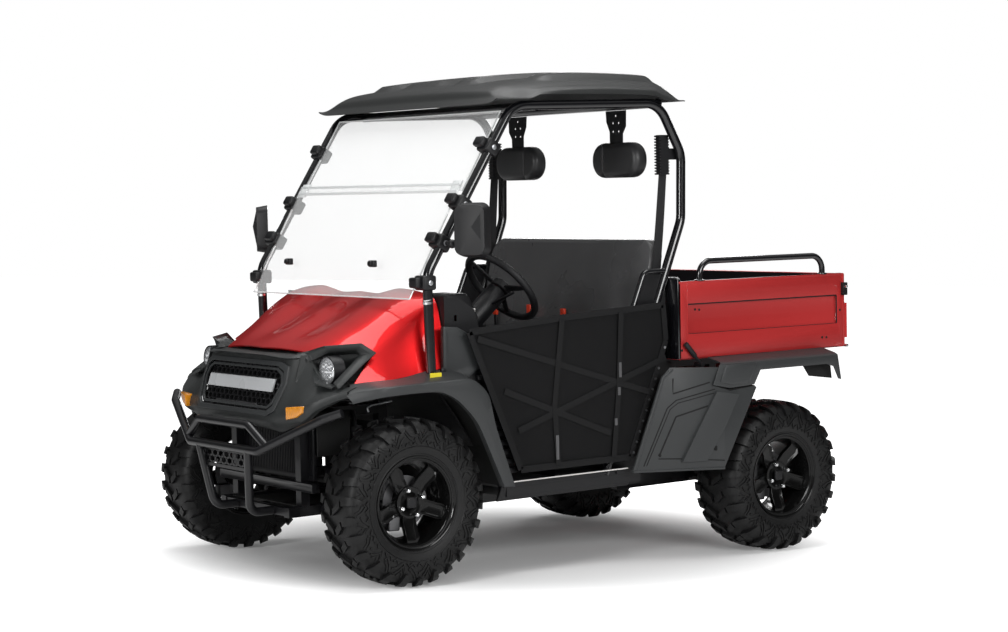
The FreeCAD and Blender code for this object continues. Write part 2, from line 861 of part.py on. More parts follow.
# The front arch from its front end to its rear end: the wheel-side edge, the top of the
# lip and the edge beside the hood, as shares of the arch's radius about the axle
front_arch_shares = [(0.64, 0.902), (0.31, 0.951), (-0.05, 0.965), (-0.30, 0.955),
                     (-0.424, 0.907), (-0.634, 0.671), (-0.812, 0.343), (-1.027, 0.054)]
front_lip_shares = [(0.70, 0.955), (0.31, 1.005), (-0.05, 1.02), (-0.30, 1.01),
                    (-0.52, 0.96), (-0.745, 0.75), (-0.905, 0.47), (-1.095, 0.04)]
front_top_shares = [(0.48, 1.03), (0.31, 1.045), (-0.05, 1.055), (-0.36, 1.105),
                    (-0.64, 1.085), (-0.80, 0.80), (-0.93, 0.49), (-1.115, 0.04)]


def arch_points(shares, x, radius, y):
    """Points round an axle at one distance from the vehicle's middle."""
    return [V(x + dx * radius, y, axle_z + dz * radius) for dx, dz in shares]


def inset_points(points, x, wall):
    """The same points moved towards the axle by a wall's thickness."""
    return [p - (p - V(x, p.y, axle_z)).normalize() * wall for p in points]


def fender_skin(x, radius, arch, lip, top, inward, outer_y, inner_y):
    """A wheel-arch panel: an outer lip and a top that slopes up to its inner edge."""
    rows = [arch_points(arch, x, radius, outer_y), arch_points(lip, x, radius, outer_y),
            [p - V(0, share * (outer_y - inner_y), 0)
             for p, share in zip(arch_points(top, x, radius, outer_y), inward)]]
    back = V(0, -panel_wall, 0)
    under = [inset_points(row, x, panel_wall) for row in rows]
    inner = [[p + back for p in rows[0]], [p + back for p in under[1]], under[2]]
    return panel(rows, inner)


def arch_liner(x, radius, arch, outer_y, inner_y):
    """The curved sheet over a wheel, inboard of its arch."""
    rows = [arch_points(arch, x, radius, y) for y in (outer_y, inner_y)]
    return panel(rows, [inset_points(row, x, panel_wall) for row in rows])


def front_fender():
    """The left front fender with its wheel liner."""
    inward = [1] * len(front_top_shares)
    shell = fender_skin(front_axle_x, arch_radius, front_arch_shares, front_lip_shares,
                        front_top_shares, inward, front_fender_outer_y, front_fender_inner_y)
    liner = arch_liner(front_axle_x, arch_radius, front_arch_shares, front_fender_outer_y
                       - panel_wall - seat_gap, front_liner_y)
    foot, knee = cage_pillar_points()[:2]
    hole = rod(foot, foot + (knee - foot) / 2, cage_tube_radius + clamp_gap)
    return Part.makeCompound([shell.cut(hole), liner])


# The cab floor from its rear edge to the top of the toe board
floor_shares = [(0.0, 0.0), (0.700, 0.0), (0.800, 0.31), (0.905, 0.62), (1.0, 0.88)]
floor_length = 990.0
floor_rise = 470.0


def floor_pan():
    """The cab's moulded floor, which slopes up as a toe board behind the arches."""
    base = frame_bottom_z + frame_tube * 2 + seat_gap
    top = [(floor_rear_x + dx * floor_length, base + floor_wall + dz * floor_rise)
           for dx, dz in floor_shares]
    under = [(x + floor_wall, z - floor_wall) for x, z in top]
    under[0] = (top[0][0], base)
    toe = plate_y(top + list(reversed(under)), -toe_half_width, toe_half_width)
    flat = box(top[0][0], top[1][0], -floor_half_width, floor_half_width, base, base + floor_wall)
    strip = box(top[0][0], top[1][0], floor_half_width, floor_half_width + floor_wall, base,
                base + floor_wall + sill_strip)
    notch = box(rear_pillar_foot_x - foot_notch, rear_pillar_foot_x + foot_notch,
                cage_y - cage_tube_radius - seat_gap, cage_y + overrun * 2, base - overrun,
                base + frame_tube)
    pan = fused([toe, flat, strip, mirrored(strip)])
    return pan.cut(notch).cut(mirrored(notch))


dash_profile_shares = [(0.0, 0.0), (0.0, 1.0), (0.45, 0.96), (0.85, 0.80), (1.0, 0.45), (0.62, 0.0)]


def dashboard():
    """The dash moulding behind the hood, with the shelf that stands on the cowl bar."""
    points = [(dash_front_x - dx * dash_depth, dash_base_z + dz * dash_height)
              for dx, dz in dash_profile_shares]
    dash = plate_y(points, -dash_half_width, dash_half_width)
    low = cowl_bar_z + cowl_bar_height + seat_gap
    shelf = box(dash_front_x - dash_shelf, cowl_post_x + frame_tube / 2, -dash_half_width,
                dash_half_width, low, low + dash_shelf)
    rise = box(dash_front_x - dash_shelf, dash_front_x, -dash_half_width, dash_half_width, low,
               dash_base_z)
    peg = box(cowl_post_x - hood_rib, cowl_post_x + hood_rib, hood_rib_y - hood_rib,
              hood_rib_y + hood_rib, low - overrun, low + dash_shelf + overrun)
    return fused([dash, shelf, rise]).cut(peg).cut(mirrored(peg))


def wheel_axis():
    """The direction from the dash to the driver along the steering column."""
    tilt = math.radians(steer_wheel_tilt_degrees)
    return V(-math.cos(tilt), 0, math.sin(tilt))


def steering_wheel():
    """The steering wheel: a grip ring, three spokes and a hub."""
    r = steer_wheel_radius
    g = steer_wheel_grip
    section = [(r + g, -g / 2), (r + g, g / 2), (r, g), (r - g, g / 2), (r - g, -g / 2), (r, -g)]
    ring = faceted_ring(section, steer_wheel_flats)
    hub = Part.makeCylinder(steer_hub_radius, steer_hub_depth, V(0, g - steer_hub_depth, 0),
                            V(0, 1, 0))
    parts = [ring, hub]
    for turn in (0, 1, 2):
        spoke = box(0, r, -steer_spoke_thickness / 2, steer_spoke_thickness / 2,
                    -steer_spoke_width / 2, steer_spoke_width / 2)
        spoke.rotate(V(0, 0, 0), V(0, 1, 0), pi_degrees / 2 + turn * 2 * pi_degrees / 3)
        parts.append(spoke)
    wheel = fused(parts)
    wheel.rotate(V(0, 0, 0), V(0, 0, 1), pi_degrees / 2)
    wheel.rotate(V(0, 0, 0), V(0, 1, 0), steer_wheel_tilt_degrees)
    wheel.translate(V(steer_wheel_x, steer_wheel_y, steer_wheel_z))
    return wheel


def steering_column():
    """The column cover between the dash and the steering wheel."""
    axis = wheel_axis()
    centre = V(steer_wheel_x, steer_wheel_y, steer_wheel_z)
    start = centre - axis * (steer_hub_depth - steer_wheel_grip + joint_gap)
    column = rod(start, start - axis * column_length, column_radius)
    shaft = rod(start - axis * column_length, start - axis * (column_length + dash_depth * 2),
                column_radius / 2)
    return fused([column, shaft]).cut(dashboard())


def pedals():
    """Accelerator and brake pedals, whose arms hang from the dash."""
    parts = []
    high = dash_base_z - seat_gap
    middle = pedal_z + pedal_height / 2
    for step in (0, 1):
        y = pedal_y - step * pedal_spacing
        pad = box(pedal_x - pedal_thickness, pedal_x, y - pedal_width / 2, y + pedal_width / 2,
                  pedal_z, pedal_z + pedal_height)
        arm = plate_y([(pedal_x - pedal_thickness, middle), (pedal_x + pedal_thickness, middle),
                       (pedal_x + pedal_thickness + pedal_lean, high), (pedal_x + pedal_lean, high)],
                      y - pedal_thickness, y + pedal_thickness)
        parts.append(fused([pad, arm]))
    return Part.makeCompound(parts)


def seat_base():
    """The moulded box under the bench seat."""
    w = seat_base_wall
    top = seat_base_top_z - seat_gap
    low = frame_bottom_z + frame_tube * 2 + floor_wall + seat_gap * 2
    outer = box(seat_base_rear_x, seat_base_front_x, -seat_half_width, seat_half_width, low, top)
    inner = box(seat_base_rear_x - overrun, seat_base_front_x - w, w - seat_half_width,
                seat_half_width - w, low - overrun, top - w)
    return outer.cut(inner)


def seat_cushion():
    """The bench seat's cushion."""
    low = seat_base_top_z
    high = low + cushion_height
    r = cushion_height / 3
    return plate_y([(cushion_rear_x, low), (cushion_front_x - r, low), (cushion_front_x, low + r),
                    (cushion_front_x, high - r), (cushion_front_x - r, high),
                    (cushion_rear_x, high)], -seat_half_width, seat_half_width)


def seat_back():
    """The bench seat's backrest, with its upper corners rounded off."""
    low = seat_base_top_z + cushion_height + seat_gap
    lean = (back_top_x - back_low_x) / (back_top_z - low)
    c = back_corner
    front = []
    for y, drop in ((-seat_half_width, c), (c / 3 - seat_half_width, c / 3), (c - seat_half_width, 0),
                    (seat_half_width - c, 0), (seat_half_width - c / 3, c / 3), (seat_half_width, c)):
        top = back_top_z - drop
        x = back_low_x + lean * (top - low)
        front.append([V(back_low_x, y, low), V(x, y, top)])
    rear = [[V(a.x - back_thickness, a.y, a.z), V(b.x - back_thickness / 2, b.y, b.z)]
            for a, b in front]
    return panel(front, rear)


def headrest():
    """One headrest pad."""
    w = headrest_width / 2
    h = headrest_height / 2
    c = headrest_height / 3
    points = [(w - c, h), (w, h - c), (w, c - h), (w - c, -h), (c - w, -h), (-w, c - h),
              (-w, h - c), (c - w, h)]
    pad = plate_x(points, headrest_x, headrest_x + headrest_thickness)
    pad.translate(V(0, headrest_y, headrest_z))
    return pad


def headrest_bracket():
    """The plate that hangs one headrest from the cage."""
    w = headrest_bracket_width / 2
    high = rear_pillar_top_z - cage_tube_radius - seat_gap
    x = headrest_x + headrest_bracket_inset
    low = headrest_z + headrest_height / 2 + seat_gap
    return box(x, x + headrest_bracket_wall, headrest_y - w, headrest_y + w, low, high)


def cage_pillar_points():
    """The left front pillar and roof rail, from the cowl bar to the rear pillar's foot."""
    y = cage_y
    foot_z = cowl_bar_z + cowl_bar_height + seat_gap * 2
    sill = frame_bottom_z + frame_tube * 2
    return [V(pillar_foot_x, y, foot_z), V(pillar_knee_x, y, pillar_knee_z),
            V(pillar_top_x, y, pillar_top_z), V(rear_pillar_top_x, y, rear_pillar_top_z),
            V(rear_pillar_shoulder_x, y, rear_pillar_shoulder_z),
            V(rear_pillar_waist_x, y, rear_pillar_waist_z),
            V(rear_pillar_foot_x, y, sill) + V(pillar_foot_run().x, 0, pillar_foot_run().z)]


def pillar_foot_run():
    """The rear pillar's last stretch, which is trimmed level on the sill."""
    fall = frame_tube / 2
    rise = rear_pillar_waist_z - frame_bottom_z - frame_tube * 2
    return V((rear_pillar_foot_x - rear_pillar_waist_x) * fall / rise, 0, -fall)


def pillar_low_x(z):
    """Where the rear pillar's lower run is at a height."""
    share = (rear_pillar_waist_z - z) / (rear_pillar_waist_z - frame_bottom_z - frame_tube * 2)
    return rear_pillar_waist_x + share * (rear_pillar_foot_x - rear_pillar_waist_x)


def roll_cage():
    """The cage: a bent side frame each side with its hip guard, and the cross bars."""
    y = cage_y
    side = tube(cage_pillar_points(), cage_tube_radius, cage_bend)
    sill = frame_bottom_z + frame_tube * 2 + seat_gap
    below = box(rear_pillar_foot_x - foot_notch, rear_pillar_foot_x + foot_notch, y - frame_tube,
                y + frame_tube, sill - frame_tube, sill)
    side = side.cut(below)
    hip = tube([V(pillar_low_x(hip_guard_top_z), y, hip_guard_top_z),
                V(hip_guard_top_x, y, hip_guard_top_z), V(hip_guard_low_x, y, hip_guard_low_z),
                V(pillar_low_x(hip_guard_foot_z), y, hip_guard_foot_z)],
               hip_guard_radius, hip_guard_radius * 3)
    parts = [side, mirrored(side), hip, mirrored(hip)]
    for x, z in ((pillar_top_x - cage_bend, pillar_top_z), (rear_pillar_top_x, rear_pillar_top_z)):
        parts.append(rod(V(x, -y, z), V(x, y, z), cage_tube_radius))
    return fused(parts)


# Roof outlines across the vehicle at stations from front to rear, from the middle out
roof_stations_shares = [0.0, 0.12, 0.5, 0.88, 1.0]
roof_across_shares = [
    [(0.0, 0.10), (0.45, 0.09), (0.85, 0.05), (1.0, 0.0)],
    [(0.0, 0.60), (0.45, 0.58), (0.85, 0.40), (0.97, 0.10)],
    [(0.0, 1.0), (0.45, 0.96), (0.85, 0.75), (0.97, 0.20)],
    [(0.0, 0.85), (0.45, 0.82), (0.85, 0.60), (0.97, 0.16)],
    [(0.0, 0.12), (0.45, 0.11), (0.85, 0.06), (0.98, 0.0)]]


def roof():
    """The moulded roof shell, with the two ribs that stand on the cage's cross bars."""
    outer = []
    length = roof_front_x - roof_rear_x
    for along, across in zip(roof_stations_shares, roof_across_shares):
        x = roof_front_x - along * length
        half = [V(x, y * roof_half_width, roof_rim_z + z * roof_rise + cage_tube_radius)
                for y, z in across]
        outer.append(list(reversed(flip(half[1:]))) + half)
    parts = [panel(outer, hollowed(outer))]
    above = space_over(outer, V(0, 0, roof_rise * 2))
    for x, z in ((pillar_top_x - cage_bend, pillar_top_z), (rear_pillar_top_x, rear_pillar_top_z)):
        rib = box(x - roof_rib / 2, x + roof_rib / 2, -roof_rib_half_length, roof_rib_half_length,
                  z + cage_tube_radius + seat_gap, z + roof_rise * 2)
        parts.append(rib.cut(above))
    return fused(parts)


def pillar_x(z):
    """Where the front pillar's centre line is at a height."""
    share = (z - pillar_knee_z) / (pillar_top_z - pillar_knee_z)
    return pillar_knee_x + share * (pillar_top_x - pillar_knee_x)


def screen_x(z):
    """Where the inner face of the screen is at a height."""
    if z >= screen_split_z:
        return pillar_x(z) + screen_offset
    share = (screen_split_z - z) / (screen_split_z - screen_low_z)
    start = pillar_x(screen_split_z) + screen_offset
    return start + share * (screen_low_x - start)


def upper_screen(gap):
    """The upper pane, grown by a gap where a clamp is cut to take it."""
    low = screen_split_z - screen_overlap
    x0 = pillar_x(low) + screen_offset
    x1 = screen_x(screen_top_z)
    return plate_y([(x0 - gap, low), (x0 + screen_thickness + gap, low),
                    (x1 + screen_thickness + gap, screen_top_z), (x1 - gap, screen_top_z)],
                   -screen_half_width - gap, screen_half_width + gap)


def lower_screen(gap):
    """The lower pane, which leans out to the hood and overlaps the upper one."""
    step = screen_thickness * 2 + clamp_gap
    x0 = screen_low_x + step
    x1 = screen_x(screen_split_z) + step
    return plate_y([(x0 - gap, screen_low_z), (x0 + screen_thickness + gap, screen_low_z),
                    (x1 + screen_thickness + gap, screen_split_z + screen_overlap),
                    (x1 - gap, screen_split_z + screen_overlap)],
                   -screen_half_width - gap, screen_half_width + gap)


def clamp(z):
    """One clamp that holds a pane's edge to the left pillar."""
    x0 = min(pillar_x(z), pillar_knee_x) - clamp_depth / 2
    x1 = screen_x(z) + clamp_depth / 2
    y0 = screen_half_width - clamp_bite
    y1 = cage_y + cage_tube_radius + clamp_wall
    block = box(x0, x1, y0, y1, z - clamp_length / 2, z + clamp_length / 2)
    pillar = tube(cage_pillar_points()[:3], cage_tube_radius + clamp_gap, cage_bend)
    return block.cut(pillar).cut(upper_screen(clamp_gap)).cut(lower_screen(clamp_gap))


def clamps():
    """The four clamps of each pillar."""
    left = [clamp(z) for z in clamp_heights]
    return Part.makeCompound(left + [mirrored(shape) for shape in left])


def mirror_left():
    """The left mirror's housing and its arm from the pillar."""
    y0 = mirror_inner_y
    y1 = mirror_outer_y
    c = (y1 - y0) / 6
    head = plate_x([(y0 + c, mirror_low_z), (y1 - c, mirror_low_z), (y1, mirror_low_z + c),
                    (y1, mirror_high_z - c), (y1 - c, mirror_high_z), (y0 + c, mirror_high_z),
                    (y0, mirror_high_z - c), (y0, mirror_low_z + c)],
                   mirror_x, mirror_x + mirror_depth)
    middle = (y0 + y1) / 2
    head.rotate(V(mirror_x + mirror_depth / 2, middle, 0), V(0, 0, 1), mirror_toe_degrees)
    y = cage_y + cage_tube_radius + clamp_wall + seat_gap
    z = clamp_heights[2]
    arm = box(mirror_x + mirror_depth / 3, mirror_x + mirror_depth * 2 / 3, y, middle,
              z - mirror_arm_radius, z + mirror_arm_radius)
    return fused([head, arm])


# The door net's corners, as shares of the door opening's length and height
net_shares = [(1.0, 0.905), (0.555, 0.958), (0.0, 1.0), (-0.012, 0.763), (0.19, 0.0), (0.76, 0.005)]
net_front_x = 617.0
net_rear_x = -358.0
net_low_z = 380.0
net_high_z = 987.0


def door_net():
    """The left door net."""
    length = net_front_x - net_rear_x
    height = net_high_z - net_low_z
    points = [(net_rear_x + dx * length, net_low_z + dz * height) for dx, dz in net_shares]
    y = cage_y + cage_tube_radius + seat_gap
    return plate_y(points, y, y + net_thickness)


# The rear side panel's outline seen from the left, and its distance from the middle as a
# share of the way from its front edge to its flared rear edge
side_length = 640.0
side_height = 430.0
side_low_x = -158.0
side_low_z = 316.0
side_panel_shares = [(0.0, 0.03, 0.0), (0.64, 0.0, 1.0), (0.93, 0.74, 1.0), (0.70, 0.70, 1.0),
                     (0.66, 0.90, 0.6), (0.28, 0.975, 0.0)]


def side_panel():
    """The left rear side panel between the door and the rear wheel."""
    def place(share, back):
        dx, dz, out = share
        y = side_front_y + out * (side_rear_y - side_front_y)
        return V(side_low_x - dx * side_length, y - back, side_low_z + dz * side_height)
    low_front, low_rear, rear_high, seam, cap, top_front = side_panel_shares
    outer = [place(s, 0) for s in (low_front, low_rear, rear_high, seam, cap, top_front)]
    inner = [place(s, panel_wall) for s in (low_front, low_rear, rear_high, seam, cap, top_front)]
    faces = []
    triangles = [(0, 1, 5), (1, 3, 5), (1, 2, 3), (3, 4, 5)]
    for i, j, k in triangles:
        faces += facet([outer[i], outer[j], outer[k]])
        faces += facet([inner[i], inner[k], inner[j]])
    for i in range(len(outer)):
        j = (i + 1) % len(outer)
        faces += facet([outer[i], inner[i], inner[j], outer[j]])
    x = side_low_x - panel_wall * 2
    y = floor_half_width + floor_wall + seat_gap
    low = place(low_front, 0)
    rear = place(low_rear, 0)
    slope = (rear.y - low.y) / (low.x - rear.x)
    near = low.y + slope * (low.x - x) - panel_wall / 2
    flange = plate_z([(x, y), (x, near), (x - side_flange, near + slope * side_flange),
                      (x - side_flange, y)], low.z + panel_wall, low.z + panel_wall * 2)
    return fused([solid_of(faces), flange])


# The rear flare from its front leg to its rear tip, about the rear axle
flare_arch_shares = [(0.43, 0.765), (0.34, 0.90), (0.27, 0.915), (-0.37, 0.91), (-0.50, 0.86),
                     (-0.80, 0.745)]
flare_lip_shares = [(0.86, 0.765), (0.80, 0.90), (0.40, 1.01), (-0.37, 1.0), (-0.58, 0.97),
                    (-0.82, 0.80)]
flare_top_shares = [(0.90, 0.80), (0.84, 0.93), (0.44, 1.032), (-0.37, 1.032), (-0.60, 1.025),
                    (-0.78, 1.01)]
flare_inward_shares = [0.1, 0.3, 1.0, 1.0, 1.0, 1.0]


def rear_flare():
    """The left rear flare, with the flange that is bolted to the bed's side."""
    shell = fender_skin(rear_axle_x, arch_radius, flare_arch_shares, flare_lip_shares,
                        flare_top_shares, flare_inward_shares, flare_outer_y, flare_inner_y)
    front, rear = flare_top_shares[2], flare_top_shares[3]
    high = axle_z + front[1] * arch_radius
    flange = box(rear_axle_x + rear[0] * arch_radius, rear_axle_x + front[0] * arch_radius,
                 flare_inner_y, flare_inner_y + panel_wall, high - panel_wall, high + flare_flange)
    return fused([shell, flange])


def bed():
    """The cargo bed: floor, side walls with a stamped recess, front wall and sub-frame."""
    w = bed_wall
    gate = bed_rear_x + tailgate_thickness + tailgate_gap
    floor = box(gate, bed_front_x, -bed_half_width, bed_half_width, bed_floor_z,
                bed_floor_z + bed_floor_wall)
    side = box(bed_rear_x, bed_front_x, bed_half_width - w, bed_half_width, bed_floor_z, bed_top_z)
    length = bed_front_x - bed_rear_x
    height = bed_top_z - bed_floor_z
    recess = box(bed_rear_x + length / 18, bed_front_x - length / 18, bed_half_width - bed_recess,
                 bed_half_width + overrun, bed_floor_z + height / 3, bed_top_z - height / 4)
    side = side.cut(recess)
    front = box(bed_front_x - w, bed_front_x, -bed_half_width, bed_half_width, bed_floor_z, bed_top_z)
    half = frame_tube / 2
    mat = box(gate + overrun, bed_front_x - w - overrun, w + overrun - bed_half_width,
              bed_half_width - w - overrun, bed_floor_z, bed_floor_z + bed_floor_wall + bed_mat_height)
    parts = [floor, side, mirrored(side), front, mat]
    base = bed_rail_z + frame_tube + seat_gap
    for y in (-rail_y, rail_y):
        runner = box(bed_hinge_x - half, bed_front_x - w, y - half / 2, y + half / 2, base,
                     bed_floor_z)
        parts.append(runner)
    whole = fused(parts)
    bore = Part.makeCylinder(hinge_pin_radius + pin_clearance, bed_half_width * 2,
                             V(bed_hinge_x, -bed_half_width, bed_hinge_z), V(0, 1, 0))
    gate_x, gate_z = tailgate_axis()
    gate_bore = Part.makeCylinder(gate_pin_radius + pin_clearance, bed_half_width * 2,
                                  V(gate_x, -bed_half_width, gate_z), V(0, 1, 0))
    near = box(bed_rear_x - overrun, bed_front_x, -bed_half_width + w / 4, bed_half_width - w / 4,
               bed_rail_z, bed_top_z)
    return whole.cut(bore).cut(gate_bore.common(near))


def tailgate_axis():
    """X and Z of the tailgate's hinge line."""
    return bed_rear_x + tailgate_thickness / 2, bed_floor_z + tailgate_hinge_rise


def tailgate():
    """The tailgate between the bed's side walls, with its two hinge pins."""
    y = bed_half_width - bed_wall - tailgate_gap
    gate = box(bed_rear_x, bed_rear_x + tailgate_thickness, -y, y, bed_floor_z, bed_top_z)
    x, z = tailgate_axis()
    reach = bed_half_width - bed_wall / 2
    pin = Part.makeCylinder(gate_pin_radius, reach * 2, V(x, -reach, z), V(0, 1, 0))
    return fused([gate, pin])


def bed_side_rail():
    """The left bent rail on top of the bed's side."""
    y = bed_half_width - bed_wall / 2
    z = bed_top_z
    return tube([V(bed_rail_front_x, y, z), V(bed_rail_front_x, y, bed_rail_top_z),
                 V(bed_rail_rear_x, y, bed_rail_top_z), V(bed_rail_rear_x, y, z)],
                bed_rail_radius, bed_rail_bend)


def engine():
    """The power unit as one plain block."""
    c = engine_height / 8
    x1 = engine_front_x
    x0 = x1 - engine_length
    z0 = frame_bottom_z + frame_tube + seat_gap
    z1 = z0 + engine_height
    return plate_y([(x0, z0), (x1, z0), (x1, z1 - c), (x1 - c, z1), (x0 + c, z1), (x0, z1 - c)],
                   -engine_width / 2, engine_width / 2)


def exhaust():
    """The silencer below the rear cross bar of the chassis."""
    z = bed_rail_z + frame_tube / 2 - cross_tube / 2 - exhaust_radius - seat_gap
    return Part.makeCylinder(exhaust_radius, exhaust_length, V(rear_post_x, -exhaust_length / 2, z),
                             V(0, 1, 0))


def knuckle():
    """The left front knuckle: kingpin boss, spindle and steering arm, about its wheel."""
    y = front_track / 2 - kingpin_inset
    post = Part.makeCylinder(kingpin_radius, kingpin_half_height * 2,
                             V(front_axle_x, y, tyre_radius - kingpin_half_height), V(0, 0, 1))
    face_y = front_track / 2 + front_tyre_width * rim_width_share / 2 - rim_face_inset
    end = face_y - hub_length - joint_gap
    spindle = rod(V(front_axle_x, y, tyre_radius), V(front_axle_x, end, tyre_radius), spindle_radius)
    w = steer_arm_width / 2
    z = steer_arm_z()
    arm = plate_z([(front_axle_x, y - w), (front_axle_x, y + w),
                   (front_axle_x - steer_arm - w, y - steer_arm_inset + w),
                   (front_axle_x - steer_arm - w, y - steer_arm_inset - w)], z,
                  z + steer_arm_thickness)
    return fused([post, spindle, arm])


def steer_arm_z():
    """The underside of the steering arms."""
    return tyre_radius + steer_arm_thickness


def rack_z():
    """The height of the rack bar's centre line."""
    return steer_arm_z() - tie_rod_drop - tie_rod_eye_thickness / 2


def tie_rods():
    """The sliding rack bar and both tie rods, whose eyes lie under the steering arms."""
    x = front_axle_x - steer_arm
    y = front_track / 2 - kingpin_inset - steer_arm_inset
    z = rack_z()
    eye = Part.makeCylinder(tie_rod_eye_radius, tie_rod_eye_thickness,
                            V(x, y, z - tie_rod_eye_thickness / 2), V(0, 0, 1))
    bar = Part.makeCylinder(tie_rod_radius, y * 2, V(x, -y, z), V(0, 1, 0))
    return fused([eye, mirrored(eye), bar])


def rack_housing():
    """The rack housing, a sleeve round the sliding bar on two feet."""
    x = front_axle_x - steer_arm
    z = rack_z()
    half = rail_y + rack_foot / 2
    parts = [Part.makeCylinder(rack_radius, half * 2, V(x, -half, z), V(0, 1, 0))]
    for y in (-rail_y, rail_y):
        parts.append(box(x - rack_foot / 2, x + rack_foot / 2, y - rack_foot / 2, y + rack_foot / 2,
                         frame_bottom_z, z))
    bore = Part.makeCylinder(tie_rod_radius + joint_gap / 5, half * 2 + overrun * 2,
                             V(x, -half - overrun, z), V(0, 1, 0))
    top = frame_bottom_z + frame_tube + seat_gap
    below = raked(box(cowl_post_x, front_post_x, -front_track, front_track, -overrun, top))
    return fused(parts).cut(bore).cut(below)


def wishbone(x, tip_y, tip_z, frame_z, shock_share):
    """One left wishbone: two tubes from their eyes on the frame that meet at the wheel."""
    tip = V(x, tip_y, tip_z)
    y = rail_y + frame_tube / 2 + arm_eye_radius + seat_gap
    parts = []
    for spread in (-arm_spread, arm_spread):
        eye = V(x + spread, y, frame_z)
        half = V(arm_eye_length / 2, 0, 0)
        parts.append(rod(eye - half, eye + half, arm_eye_radius))
        parts.append(rod(eye, tip, arm_tube_radius))
    if shock_share:
        at = tip + (V(x, y, frame_z) - tip) * shock_share
        half = V(shock_share * arm_spread, 0, 0)
        parts.append(rod(at - half, at + half, arm_tube_radius))
    return fused(parts)


def raked_z(x, z):
    """The height on the raked vehicle of a point of the level body."""
    return raked(Part.Vertex(V(x, 0, z))).Point.z


def front_suspension():
    """Upper and lower wishbones at the front."""
    y = front_track / 2 - kingpin_inset
    low = tyre_radius - kingpin_half_height - arm_tube_radius - arm_drop
    high = tyre_radius + kingpin_half_height + arm_tube_radius + joint_gap
    half = frame_tube / 2
    lower = wishbone(front_axle_x, y, low, raked_z(front_axle_x, frame_bottom_z + half),
                     front_shock_share)
    upper = wishbone(front_axle_x, y, high, raked_z(front_axle_x, front_arm_rail_z + half), 0)
    return Part.makeCompound([lower, mirrored(lower), upper, mirrored(upper)])


def rear_hub_y():
    """The middle of the rear hub carriers."""
    face_y = rear_track / 2 + rear_tyre_width * rim_width_share / 2 - rim_face_inset
    return face_y - hub_length - joint_gap - hub_radius


def rear_suspension():
    """The rear wishbones and hub carriers."""
    y = rear_hub_y()
    low = tyre_radius - kingpin_half_height
    high = tyre_radius + kingpin_half_height
    half = frame_tube / 2
    carrier = box(rear_axle_x - hub_radius, rear_axle_x + hub_radius, y - hub_radius / 2,
                  y + hub_radius, low - arm_tube_radius, high + arm_tube_radius)
    lower = wishbone(rear_axle_x, y, low, raked_z(rear_axle_x, rear_rail_z + half),
                     rear_shock_share)
    upper = wishbone(rear_axle_x, y, high, raked_z(rear_axle_x, rear_arm_rail_z + half), 0)
    corner = fused([carrier, lower, upper])
    return Part.makeCompound([corner, mirrored(corner)])


def shock(x, y_low, z_low, y_high, z_high):
    """One coil-over damper as a spring's outline on its rod."""
    low = V(x, y_low, z_low)
    high = V(x, y_high, z_high)
    axis = (high - low)
    length = axis.Length
    axis.normalize()
    spring = rod(low + axis * (length / 5), high - axis * (length / 6), shock_radius)
    return fused([spring, rod(low, high, shock_rod_radius)])


def shocks():
    """All four dampers, from the lower wishbones to the frame."""
    parts = []
    y = rail_y + frame_tube / 2 + shock_rod_radius
    eye_y = rail_y + frame_tube / 2 + arm_eye_radius + seat_gap
    front_low = tyre_radius - kingpin_half_height - arm_tube_radius - arm_drop
    rear_low = tyre_radius - kingpin_half_height
    for x, back, tip_y, tip_z, rail_z, top, share in (
            (front_axle_x, 0, front_track / 2 - kingpin_inset, front_low, frame_bottom_z,
             front_deck_z + frame_tube / 2, front_shock_share),
            (rear_axle_x, rear_shock_inset, rear_hub_y(), rear_low, rear_rail_z, rear_shock_top_z,
             rear_shock_share)):
        top_z = raked_z(x - back, top)
        low_y = tip_y + share * (eye_y - tip_y)
        frame_z = raked_z(x, rail_z + frame_tube / 2)
        z = tip_z + share * (frame_z - tip_z) + arm_tube_radius
        lean = shock_rod_radius * (low_y - y) / (top_z - z)
        damper = shock(x - back, low_y, z + lean + seat_gap, y, top_z)
        parts += [damper, mirrored(damper)]
    return Part.makeCompound(parts)


def final_drives():
    """The rear final drive on its cross mount, with its axle shafts."""
    case = Part.makeCylinder(diff_radius, diff_half_width * 2, V(rear_axle_x, -diff_half_width,
                                                                tyre_radius), V(0, 1, 0))
    reach = rail_y - frame_tube / 2 - seat_gap
    z = raked_z(rear_axle_x, rear_rail_z + frame_tube / 2)
    mount = box(rear_axle_x - frame_tube / 2, rear_axle_x + frame_tube / 2, -reach, reach,
                z - frame_tube / 4, z + frame_tube / 4)
    end = rear_hub_y() - hub_radius / 2 - seat_gap
    shaft = rod(V(rear_axle_x, -end, tyre_radius), V(rear_axle_x, end, tyre_radius),
                axle_shaft_radius)
    return fused([case, mount, shaft])


def receiver():
    """The square trailer receiver on the rear cross bar, with its cross hole for a pin."""
    half = receiver_outer / 2
    inner = half - receiver_wall
    x0 = receiver_rear_x
    x1 = receiver_rear_x + receiver_length
    z = rear_rail_z + frame_tube / 2 + cross_tube / 2 + half + seat_gap
    outside = box(x0, x1, -half, half, z - half, z + half)
    hole = box(x0 - overrun, x1 + overrun, -inner, inner, z - inner, z + inner)
    pin = Part.makeCylinder(receiver_pin_radius, receiver_outer + overrun * 2,
                            V(x0 + receiver_pin_inset, -half - overrun, z), V(0, 1, 0))
    return outside.cut(hole).cut(pin)


def tail_lamp():
    """The left tail lamp on the end of the bed's side wall."""
    y = bed_half_width - bed_wall
    z = bed_top_z - tail_lamp_height * 2
    return box(bed_rear_x - tail_lamp_depth, bed_rear_x - seat_gap, y, y + bed_wall, z + bed_wall,
               z + bed_wall + tail_lamp_height)


